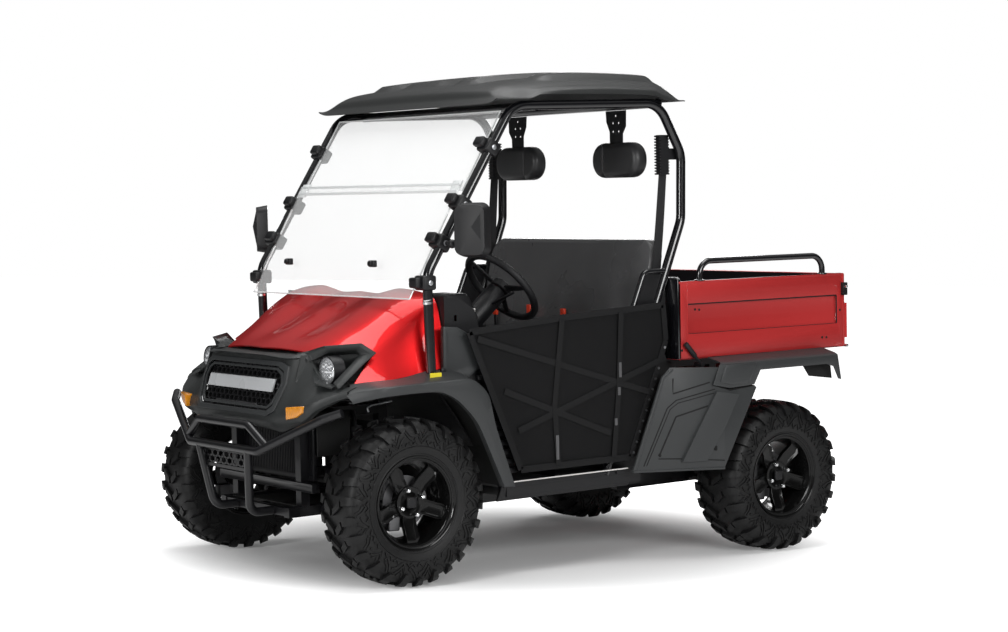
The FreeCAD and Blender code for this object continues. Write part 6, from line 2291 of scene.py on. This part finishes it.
@dataclass
class Screen:
    """The windscreen's band, hooks, edges and clamps."""
    knee: Point = (.788, 1.158)
    top: Point = (.375, 1.79)
    half: float = .573
    heights: Sequence[float] = (1.63, 1.416, 1.271, 1.124)
    band_z: float = 1.478
    band_gap: float = .013
    band_half: float = .0055
    band_thick: float = .006
    lean: float = .6
    front: float = .026
    end_y: float = .545
    end_half: float = .026
    # The panes' side edges as X and Z of both ends, and the places of their cross edges
    sides: Sequence[Box] = (((.846, 1.064), (.606, 1.478)), ((.592, 1.466), (.402, 1.77)))
    crossings: Line = ((.402, 1.77), (.848, 1.064))
    edge_radius: float = .003
    hook: Box = ((.822, .292, 1.18), (.842, .324, 1.206))
    knob: Box = ((.838, .308, 1.193), (.852, .308, 1.195))
    knob_radius: float = .011
    clamp: Box = ((-.03, -.041, -.028), (.03, .027, .028))
    pad: Box = ((.026, -.046, -.019), (.052, .01, .021))
    clamp_y: float = .606
    bolt: Box = ((0, .026, 0), (0, .031, 0))
    bolt_radius: float = .01

    def pillar(self, z: float) -> float:
        """X of the pillar's centre line at a height."""
        share = max(z - self.knee[1], 0) / (self.top[1] - self.knee[1])
        return self.knee[0] + share * (self.top[0] - self.knee[0])

    def panes(self, bench: Bench) -> None:
        """Builds the doubled band between the panes and the panes' edges.

        Args:
            bench: what dresses and places the pieces.
        """
        x, half = self.pillar(self.band_z) + self.front, self.half
        parts = []
        for dz in (-self.band_gap, self.band_gap):
            z, front = self.band_z + dz, x - dz * self.lean
            parts.append(block("band", (front, -half, z - self.band_half),
                               (front + self.band_thick, half, z + self.band_half)))
        for y in (-self.end_y, self.end_y):
            end = block("end", (x - .006, y - self.end_half, self.band_z - .026),
                        (x + .004, y + self.end_half, self.band_z + .028))
            parts.append(reshaped(end, lambda p: Vector((
                p.x - (p.z - self.band_z) * self.lean, p.y, p.z))))
        bench.finish(rounded(joined("screen_bands", parts), CRISP, 2, 30), "sheet_edge")
        edges = [barrel("edge", (a[0], y, a[1]), (b[0], y, b[1]), self.edge_radius, 8)
                 for y in (-half, half) for a, b in self.sides]
        edges += [barrel("edge", (x, -half, z), (x, half, z), self.edge_radius, 8)
                  for x, z in self.crossings]
        bench.finish(smooth(joined("screen_edges", edges), 40), "sheet_edge")

    def build(self, bench: Bench) -> None:
        """Builds the fittings of the screen.

        Args:
            bench: what dresses and places the pieces.
        """
        self.panes(bench)
        hooks = [block("hook", *self.hook), barrel("knob", *self.knob, self.knob_radius, 20)]
        bench.finish(both(joined("screen_hooks", [rounded(p, SOFT) for p in hooks])),
                     "black_plastic")
        pads, bolts = [], []
        lean = math.atan2(self.knee[0] - self.top[0], self.top[1] - self.knee[1])
        for z in self.heights:
            place = Matrix.Translation((self.pillar(z) + .002, self.clamp_y, z)) \
                @ Matrix.Rotation(-lean if z > self.knee[1] else 0, 4, "Y")
            pads.append(joined("clamp", [rounded(block("clamp", *self.clamp), .009, 3),
                                         rounded(block("pad", *self.pad), .008, 3)]))
            bolts.append(barrel("bolt", *self.bolt, self.bolt_radius, 20))
            for piece in (pads[-1], bolts[-1]):
                piece.data.transform(place)
            rounded(bolts[-1], CRISP)
        bench.finish(both(joined("clamp_pads", pads)), "black_plastic", "chassis",
                     ["windscreen_clamps"], "black_plastic")
        bench.finish(both(joined("clamp_bolts", bolts)), "zinc_plate")


@dataclass
class Mirrors:
    """The two mirrors, turned towards the driver."""
    centre: Point = (.69, .758, 1.322)
    toe_degrees: float = 30.0
    housing: Box = ((-.024, -.064, -.104), (.024, .072, .1))
    corner: float = .034
    back: Point = (1, .9, .92)
    # Where the three facets of the back meet, and how far they rise there
    peak: Point = (0, .02, .01)
    peak_rise: Point = (.016, 0, 0)
    glass: Box = ((-.0245, -.055, -.092), (-.0215, .063, .089))
    arm: Line = ((.715, .63, 1.271), (.712, .668, 1.266), (.7, .7, 1.285))
    arm_radius: float = .009
    arm_bend: float = .015
    ball: Point = (.712, .668, 1.268)
    ball_radius: float = .017

    def build(self, bench: Bench) -> None:
        """Builds housing, glass and arm of both sides.

        Args:
            bench: what dresses and places the pieces.
        """
        shell = block("mirror", *self.housing)
        work(shell, lambda p, d: abs(d.x) > .9, bpy.ops.mesh.bevel, Grab.EDGE, offset=self.corner,
             segments=5)
        resized(shell, facing("x"), self.back)
        inset(shell, facing("x"), .016, 0.0)
        for z in (.53, -.53):
            sliced(shell, self.peak, (0, .85, z), facing("x"))
        peak = Vector(self.peak).yz
        moved(shell, lambda p, n: p.x > .02 and (p.yz - peak).length < .03, self.peak_rise,
              Grab.VERT)
        work(shell, facing("-x"), bpy.ops.mesh.inset, thickness=.006, depth=-.003)
        smooth(bevelled(shell, .008, 4, 20), 30)
        glass = block("mirror_glass", *self.glass)
        place = Matrix.Translation(self.centre) \
            @ Matrix.Rotation(math.radians(self.toe_degrees), 4, "Z")
        for piece in (shell, glass):
            piece.data.transform(place)
        arm = bar("arm", self.arm, self.arm_radius, self.arm_bend)
        joint = smooth(ball("ball", self.ball, self.ball_radius, 1, 24), 60)
        bench.finish(both(joined("mirror_housings", [shell, arm, joint])), "black_plastic",
                     "chassis", ["mirrors"], "black_plastic")
        bench.finish(both(bevelled(glass, CRISP)), "chrome")


@dataclass
class DoorNets:
    """The door nets: mesh, hems, straps, buckles and laced edge."""
    y: float = .6335
    thick: float = .0016
    bulge: float = .006
    corners: Line = ((.617, .929), (.183, .961), (-.358, .987), (-.37, .843),
                                (-.173, .383), (.383, .383))
    middle: Point = (.12, .68)
    hem_half: float = .013
    strap_half: float = .0125
    clasp_half: float = .007
    eyelet: Point = (-.362, .815)
    eyelets: int = 11
    eyelet_step: Point = (.0175, 0, -.0415)
    eyelet_radius: float = .0055
    sill: Box = ((-.176, .606, .3335), (.414, .6135, .338))
    apron: Box = ((-.215, .588, .262), (.45, .604, .333))
    apron_draft: Point = (.02, -.012, 0)

    straps = [[(.579, .902), (-.12, .686), (-.3, .632)], [(.393, .535), (-.365, .773)],
              [(.458, .694), (-.068, .489)], [(.171, .951), (.215, .62), (.2, .387)],
              [(-.131, .968), (-.115, .682), (-.082, .392)]]
    # Clasps as X, Z and half of their length
    clasps = [(-.121, .739, .03), (-.114, .654, .016), (-.095, .532, .014), (.205, .455, .048)]

    def bulged(self, p: Vector) -> Vector:
        """Lets the mesh swell a little between its hems.

        Args:
            p: a point of the mesh.
        Returns:
            Its new place.
        """
        x, z = self.middle
        swell = max(0, 1 - ((p.x - x) / .5) ** 2 - ((p.z - z) / .32) ** 2)
        return Vector((p.x, p.y - .004 + self.bulge * swell, p.z))

    def build(self, bench: Bench) -> None:
        """Builds both nets, and the sills under them.

        Args:
            bench: what dresses and places the pieces.
        """
        sheet = side_plate("net_sheet", self.corners, self.y, self.thick)
        cut_across(sheet, 0, [x / 20 for x in range(-6, 12)])
        cut_across(sheet, 2, [z / 20 for z in range(8, 20)])
        smooth(reshaped(sheet, self.bulged), 60)
        for net in bench.pair(sheet, "net_sheet_{}", "net_mesh", "chassis", ["door_nets"],
                              "net_fabric"):
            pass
        loop = list(self.corners) + [self.corners[0]]
        y = self.y + .003
        straps = [ribbon("hem", [a, b], self.hem_half, y, .003) for a, b in zip(loop, loop[1:])]
        for chain in self.straps:
            lift = .0014 + .0007 * len(straps) % .004
            straps.append(ribbon("strap", chain, self.strap_half, y + lift, .0022))
        bench.finish(both(bevelled(joined("net_straps", straps), FINE, 1)), "net_strap")
        clasps = []
        for x, z, tall in self.clasps:
            clasp = block("clasp", (x - self.clasp_half, y + .001, z - tall),
                          (x + self.clasp_half, y + .0055, z + tall))
            inset(clasp, facing("y"), .003, -.001)
            clasps.append(bevelled(clasp, PRESSED))
        bench.finish(both(smooth(joined("net_clasps", clasps), 35)), "cast_metal")
        x, z = self.eyelet
        eye = barrel("eyelet", (x, y - .001, z), (x, y + .002, z), self.eyelet_radius, 12)
        bench.finish(both(smooth(array(eye, self.eyelets, self.eyelet_step), 40)), "zinc_plate")
        bench.finish(both(bevelled(block("sill_line", *self.sill), CRISP)), "plate_pale")
        apron = block("sill_apron", *self.apron)
        moved(apron, facing("-z"), self.apron_draft)
        bench.finish(both(rounded(apron, .006, 3)), "black_plastic")


@dataclass
class Seats:
    """The bench, its back, headrests and seat belts."""
    half: float = .527
    back_half: float = .555
    cushion_x: Point = (-.366, .175)
    cushion_z: Point = (.7425, .853)
    cushion_crown: float = .01
    back_x: float = -.3
    back_thick: float = .066
    back_low: float = .856
    back_high: float = 1.252
    back_corner: float = .085
    back_lean: float = .214
    back_crown: float = .014
    headrest: Box = ((-.427, .192, 1.508), (-.351, .484, 1.654))
    headrest_corner: float = .068
    seam_y: Sequence[float] = (.27, .274, .278)
    seam_centre: Point = (-.389, 1.582)
    arm_x: float = -.3723
    arm_thick: float = .004
    hole_radius: float = .0045
    boot_rib: Box = ((-.446, .552, 1.516), (-.394, .588, 1.523))
    boot_ribs: int = 14
    boot_step: float = .0118
    boot_core: Box = ((-.44, .557, 1.516), (-.4, .5885, 1.678))
    boot_tab: Box = ((-.49, .5827, 1.577), (-.42, .5887, 1.623))
    web_thick: float = .0018
    # Corners of a buckle and its stalk, with Y and the buckle's Z from the buckle's middle
    catch: Box = ((-.286, -.014, -.022), (-.272, .014, .02))
    stalk: Box = ((-.284, -.009, .852), (-.275, .009, 0))

    arm = [(.298, 1.58), (.376, 1.58), (.38, 1.69), (.4, 1.72), (.402, 1.786), (.272, 1.786),
           (.276, 1.74), (.296, 1.7)]
    holes = [(.318, 1.735), (.354, 1.735), (.318, 1.7), (.354, 1.7), (.336, 1.765)]
    # The belt's run from boot to anchor, as X, Y, Z and half of its width
    web = [(-.42, .576, 1.54, .02), (-.402, .574, 1.34, .022), (-.385, .57, 1.158, .023),
           (-.378, .567, 1.0, .023), (-.377, .565, .8, .023)]
    buckles = [(-.155, .95), (.08, .94), (-.4, .94), (.4, .93)]

    def cushion(self) -> Object:
        """The crowned bench cushion.

        Returns:
            The cushion.
        """
        (rear, front), (low, high) = self.cushion_x, self.cushion_z
        seat = block("bench_cushion", (rear, -self.half, low), (front, self.half, high))
        cut_across(seat, 0, (-.33, -.1, .1, .145))
        cut_across(seat, 1, (-.49, -.25, 0, .25, .49))
        cut_across(seat, 2, (.77, .83))
        divided(seat, 3)
        return smooth(reshaped(seat, lambda p: Vector((
            p.x, p.y, min(p.z + self.cushion_crown * max(0, (p.z - .8) / .05)
                          * (1 - (p.y / self.half) ** 4), .8538)))), 60)

    def back(self) -> Object:
        """The bench's back with rounded upper corners.

        Returns:
            The backrest.
        """
        h, r, low, top = self.back_half, self.back_corner, self.back_low, self.back_high
        turn = [(h - r + r * math.cos(a), top - r + r * math.sin(a))
                for a in (math.radians(d) for d in range(0, 91, 10))]
        outline = [(h, low)] + turn + [(-y, z) for y, z in reversed(turn)] + [(-h, low)]
        back = front_plate("bench_back", outline, self.back_x, self.back_thick)
        cut_across(back, 2, (.89, 1.0, 1.1, 1.2))
        cut_across(back, 1, (-.48, -.36, -.12, .12, .36, .48))
        bevelled(back, .03, 6, 60)
        return smooth(reshaped(back, lambda p: Vector((
            p.x - (p.z - .854) * self.back_lean + self.back_crown * max(0, 1 - (p.y / h) ** 4)
            * (1 if p.x > -.32 else 0), p.y, p.z))), 60)

    def headrests(self) -> Object:
        """The rounded headrests with their off-centre seams.

        Returns:
            One object that holds both.
        """
        rest = block("headrest_pads", *self.headrest)
        work(rest, lambda p, d: abs(d.x) > .9, bpy.ops.mesh.bevel, Grab.EDGE,
             offset=self.headrest_corner, segments=7)
        cut_across(bevelled(rest, .026, 5), 1, self.seam_y)
        x, z = self.seam_centre

        def drawn(p: Vector) -> Vector:
            """Draws the seam in.

            Args:
                p: a point of the mesh.
            Returns:
                Its new place.
            """
            if abs(p.y - self.seam_y[1]) > .001:
                return Vector(p)
            return Vector((x + (p.x - x) * .93, p.y, z + (p.z - z) * .965))

        return both(smooth(reshaped(rest, drawn), 60))

    def belts(self, bench: Bench) -> None:
        """Builds the boots, the webbing and the buckles.

        Args:
            bench: what dresses and places the pieces.
        """
        rib = bevelled(block("belt_boots", *self.boot_rib), .0022)
        array(rib, self.boot_ribs, (0, 0, self.boot_step))
        boots = [smooth(rib, 40), block("core", *self.boot_core), block("tab", *self.boot_tab)]
        bench.finish(both(joined("belt_boots", boots)), "black_plastic", "chassis",
                     ["seat_belts"], "belt_fabric")
        rows = [[(x - w, y, z), (x + w, y, z)] for x, y, z, w in self.web]
        web = walled(moulding("belt_webs", rows, 4, 2, .4), self.web_thick)
        for strap in bench.pair(smooth(outward(web), 40), "belt_web_{}", "belt_webbing"):
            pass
        catches, stalks = [], []
        for y, z in self.buckles:
            ends = [(a, y + b, z + c) for a, b, c in self.catch]
            catches.append(rounded(block("catch", *ends), FULL, 3))
            (a, b, low), (c, d, _) = self.stalk
            stalks.append(rounded(block("stalk", (a, y + b, low), (c, y + d, z)), SOFT))
        bench.finish(joined("buckles", catches), "buckle_red")
        bench.finish(joined("buckle_stalks", stalks), "black_plastic")

    def build(self, bench: Bench) -> None:
        """Builds seats and belts.

        Args:
            bench: what dresses and places the pieces.
        """
        # Cushion and back wear the lighter copy of the vinyl, as painted light; the headrests wear its own
        # colour.
        for pad, finish, node, fill in (
                (self.cushion(), "back_vinyl", "seat_cushion", .8),
                (self.back(), "back_vinyl", "seat_back", .8),
                (self.headrests(), "seat_vinyl", "headrests", .9)):
            bench.finish(pad, finish, "chassis", [node], "seat_vinyl")
        arm = front_plate("headrest_arms", self.arm, self.arm_x, self.arm_thick)
        holes = [barrel("hole", (-.39, y, z), (-.36, y, z), self.hole_radius, 16)
                 for y, z in self.holes]
        bench.finish(both(bevelled(carved(arm, holes), FINE, 1)), "frame_steel", "chassis",
                     ["headrest_brackets"], "frame_steel")
        self.belts(bench)


@dataclass
class Controls:
    """The steering wheel, its column and the pod on the dash."""
    centre: Point = (.232, .33, 1.08)
    tilt_degrees: float = 40.0
    radius: float = .165
    grip_radius: float = .0148
    arm: Box = ((.02, -.017, -.014), (.161, .017, -.004))
    arm_tip: Point = (1, .6, .8)
    arm_rise: Point = (0, 0, .006)
    hub: Box = ((0, 0, -.021), (0, 0, .008))
    hub_radius: float = .043
    hub_face: Point = (.01, .005)
    # Column pieces as two distances down the column and a radius
    cover: Point = (.03, .215, .044)
    shaft: Point = (.21, .42, .02)
    # The stalk's corners as a distance down the column, Y and Z
    stalk: Line = ((.1, .04, 0), (.09, .135, .03), (.08, .16, .035))
    stalk_radius: float = .006
    stalk_bend: float = .01
    pod: Box = ((.415, .225, .96), (.6, .435, 1.066))
    pod_top: Point = (.55, .8, 1)
    pod_face: Point = (.01, -.006)
    switch: Box = ((.505, .43, 1.0), (.52, .446, 1.012))
    switches: int = 4
    switch_pitch: float = .026
    knob: Box = ((.622, .552, .968), (.64, .566, .996))

    def wheel(self, axis: Vector) -> Object:
        """The steering wheel, turned to face along the column.

        Args:
            axis: the column's direction.
        Returns:
            The wheel, at its place.
        """
        rim = primitive("steering_wheel_rim", bpy.ops.mesh.primitive_torus_add, major_segments=72,
                        minor_segments=18, major_radius=self.radius,
                        minor_radius=self.grip_radius)
        arm = block("arm", *self.arm)
        resized(arm, facing("x"), self.arm_tip)
        moved(arm, facing("x"), self.arm_rise)
        arms = ringed(bevelled(arm, FULL, 3), 3, (0, 0, 0), "Z", math.radians(90))
        hub = barrel("hub", *self.hub, self.hub_radius, 48)
        inset(hub, facing("z"), *self.hub_face)
        wheel = joined("steering_wheel_grip", [smooth(rim, 60), smooth(arms, 40),
                                               rounded(hub, FULL, 3)])
        wheel.data.transform(Matrix.Translation(self.centre)
                             @ axis.to_track_quat("Z", "X").to_matrix().to_4x4())
        return wheel

    def build(self, bench: Bench) -> None:
        """Builds the wheel, the column and the pod.

        Args:
            bench: what dresses and places the pieces.
        """
        tilt = math.radians(self.tilt_degrees)
        axis = Vector((-math.cos(tilt), 0, math.sin(tilt)))
        bench.finish(self.wheel(axis), "grip_rubber", "steering_wheel", ["steering_wheel"],
                     "grip_rubber")
        centre = Vector(self.centre)
        (start, end, radius), (top, low, thin) = self.cover, self.shaft
        cover = barrel("column_cover", centre - axis * start, centre - axis * end, radius, 40)
        inset(cover, lambda p, n: n.dot(axis) > .9, .008, -.006)
        shaft = barrel("shaft", centre - axis * top, centre - axis * low, thin)
        stalk = bar("stalk", [centre - axis * down + Vector((0, y, z)) for down, y, z in self.stalk],
                    self.stalk_radius, self.stalk_bend)
        column = joined("column_cover", [rounded(cover, SOFT), smooth(shaft, 40), stalk])
        bench.finish(column, "black_plastic", "chassis", ["steering_column"], "black_plastic")
        pod = block("dash_pod", *self.pod)
        resized(pod, facing("z"), self.pod_top)
        inset(pod, facing("-x", .7), *self.pod_face)
        bench.finish(rounded(pod, .022, 6, 60), "black_plastic")
        switches = array(block("dash_switches", *self.switch), self.switches,
                         (0, self.switch_pitch, 0))
        bench.finish(bevelled(switches, EASED), "plate_pale")
        bench.finish(rounded(block("dash_knob", *self.knob), SOFT), "buckle_red")


# Stage, light and camera

@dataclass
class Studio:
    """The pale floor, the soft light and the camera."""
    place: Point = (5.4639, 7.2662, 1.2865)
    yaw: float = 233.054
    pitch: float = -1.9713
    roll: float = .6005
    focal_pixels: float = 2162.86
    picture_width: float = 1008.0
    sensor: float = 36.0
    ambient: float = .28
    room_low: float = .03
    room_high: float = .34

    def camera(self) -> None:
        """Sets the camera at the photograph's view."""
        yaw, pitch, roll = (math.radians(a) for a in (self.yaw, self.pitch, self.roll))
        ahead = Vector((math.cos(yaw) * math.cos(pitch), math.sin(yaw) * math.cos(pitch),
                        math.sin(pitch)))
        right = ahead.cross(Vector((0, 0, 1))).normalized()
        up = right.cross(ahead)
        right, up = (right * math.cos(roll) + up * math.sin(roll),
                     up * math.cos(roll) - right * math.sin(roll))
        data = bpy.data.cameras.new("camera")
        data.sensor_width = self.sensor
        data.lens = self.sensor * self.focal_pixels / self.picture_width
        data.clip_end = 200.0
        camera = bpy.data.objects.new("camera", data)
        bpy.context.scene.collection.objects.link(camera)
        turn = Matrix((right, up, -ahead)).transposed().to_4x4()
        camera.matrix_world = Matrix.Translation(self.place) @ turn
        bpy.context.scene.camera = camera

    def floor(self) -> None:
        """Lays the pale floor, lifted to white for the camera away from the vehicle, with a painted shadow
        where the lift fades out round it.
        """
        ground = primitive("floor", bpy.ops.mesh.primitive_circle_add, vertices=96, radius=60.0,
                           fill_type="NGON")
        shop = Nodes("floor_white")
        camera = shop.node("ShaderNodeLightPath", {}, {}, "Is Camera Ray")
        grain = shop.noise(3.0)
        colour = shop.mix(grain, (.8, .8, .8, 1), (.82, .82, .82, 1))
        # Painted shadow: the white lift fades out within about two metres of the middle, so the floor there
        # stays grey whether or not a shadow falls on it.
        away = shop.node("ShaderNodeVectorMath", {"operation": "LENGTH"}, {0: shop.place()}, "Value")
        far = shop.node("ShaderNodeMapRange", {"interpolation_type": "SMOOTHSTEP"},
                        {0: away, 1: .85, 2: 1.95, 3: .03, 4: 1.0})
        lift = shop.mix(camera * far, (0, 0, 0, 1), (1, 1, 1, 1))
        shop.surface(Base_Color=colour, Roughness=.9, Specular_IOR_Level=.1,
                     Emission_Color=lift, Emission_Strength=1.0)
        ground.data.materials.append(shop.owner)

    def world(self) -> None:
        """White behind the vehicle, and a darker room with a bright ceiling in its gloss."""
        shop = Nodes("studio", world=True)
        bpy.context.scene.world = shop.owner
        camera, through, mirrored = (shop.node("ShaderNodeLightPath", {}, {}, f"Is {ray} Ray")
                                     for ray in ("Camera", "Transmission", "Glossy"))
        around = shop.node("ShaderNodeTexCoord", {}, {}, "Generated")
        up = shop.node("ShaderNodeSeparateXYZ", {}, {0: around}, 2)
        lit = shop.node("ShaderNodeMapRange", {"interpolation_type": "SMOOTHSTEP"},
                        {0: up, 1: .25, 2: .75, 3: self.room_low, 4: self.room_high})
        room = shop.node("ShaderNodeMix", {"data_type": "FLOAT"}, {0: mirrored, 2: self.ambient, 3: lit})
        shade = shop.node("ShaderNodeMix", {"data_type": "FLOAT"},
                          {0: camera.larger(through), 2: room, 3: 1.0})
        shop.ended(shop.node("ShaderNodeBackground", {}, {"Color": (1, 1, 1, 1), "Strength": shade}),
                   "ShaderNodeOutputWorld")

    def lamp(self, name: str, place: Point, aim: Point, size: Point, power: float) -> None:
        """Hangs one soft box.

        Args:
            name: the lamp's name.
            place: where it hangs.
            aim: the point that it faces.
            size: its width and height.
            power: its power in watts.
        """
        data = bpy.data.lights.new(name, "AREA")
        data.shape = "RECTANGLE"
        data.size, data.size_y = size
        data.energy = power
        lamp = bpy.data.objects.new(name, data)
        bpy.context.scene.collection.objects.link(lamp)
        turn = (Vector(aim) - Vector(place)).to_track_quat("-Z", "Y").to_matrix().to_4x4()
        lamp.matrix_world = Matrix.Translation(place) @ turn

    def build(self) -> None:
        """Sets up the whole studio."""
        scene = bpy.context.scene
        scene.view_settings.view_transform = "Standard"
        self.camera()
        self.floor()
        self.world()
        self.lamp("top_box", (.2, .2, 5.0), (0, 0, .8), (4.5, 3.0), 195.0)
        self.lamp("key_box", (.5, 6.5, 3.0), (0, 0, .9), (4.2, 1.7), 225.0)
        self.lamp("nose_box", (6.5, 2.5, 2.2), (.6, 0, .7), (.9, 2.0), 165.0)
        self.lamp("edge_box", (-3.5, -3.5, 2.6), (0, 0, 1.0), (2.0, 1.2), 45.0)


# Frame nodes that keep their shape, by their finish
KEPT = {
    "frame_steel": ["main_frame", "front_frame", "rear_frame", "pedals", "receiver", "tie_rods",
                    "front_arms", "rear_arms"],
    "black_plastic": ["floor_pan", "dashboard", "seat_base"],
    "clear_sheet": ["windscreen_upper", "windscreen_lower"],
    "cast_metal": ["engine", "steering_rack", "final_drive", "knuckle_left", "knuckle_right"],
    "red_lens": ["tail_lamps"], "exhaust_metal": ["exhaust"], "spring_steel": ["shocks"]}


def main() -> None:
    """Builds every sub-assembly in order."""
    logging.basicConfig(level=logging.INFO, format="%(message)s")
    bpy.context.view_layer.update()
    bench = Bench(Palette())
    Studio().build()
    for material, nodes in KEPT.items():
        for node in nodes:
            bench.palette.dress(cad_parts[node], material)
    for assembly in (Wheel("front", .205, .9265, .6175), Wheel("rear", .25, -.9265, .627),
                     FrontGuard(), Radiator(), RollCage(), BedRails(), Hood(), Nose(),
                     FrontFender(), Roof(), SidePanels(), CargoBed(), Screen(), Mirrors(),
                     DoorNets(), Seats(), Controls()):
        assembly.build(bench)


if __name__ == "__main__":
    main()
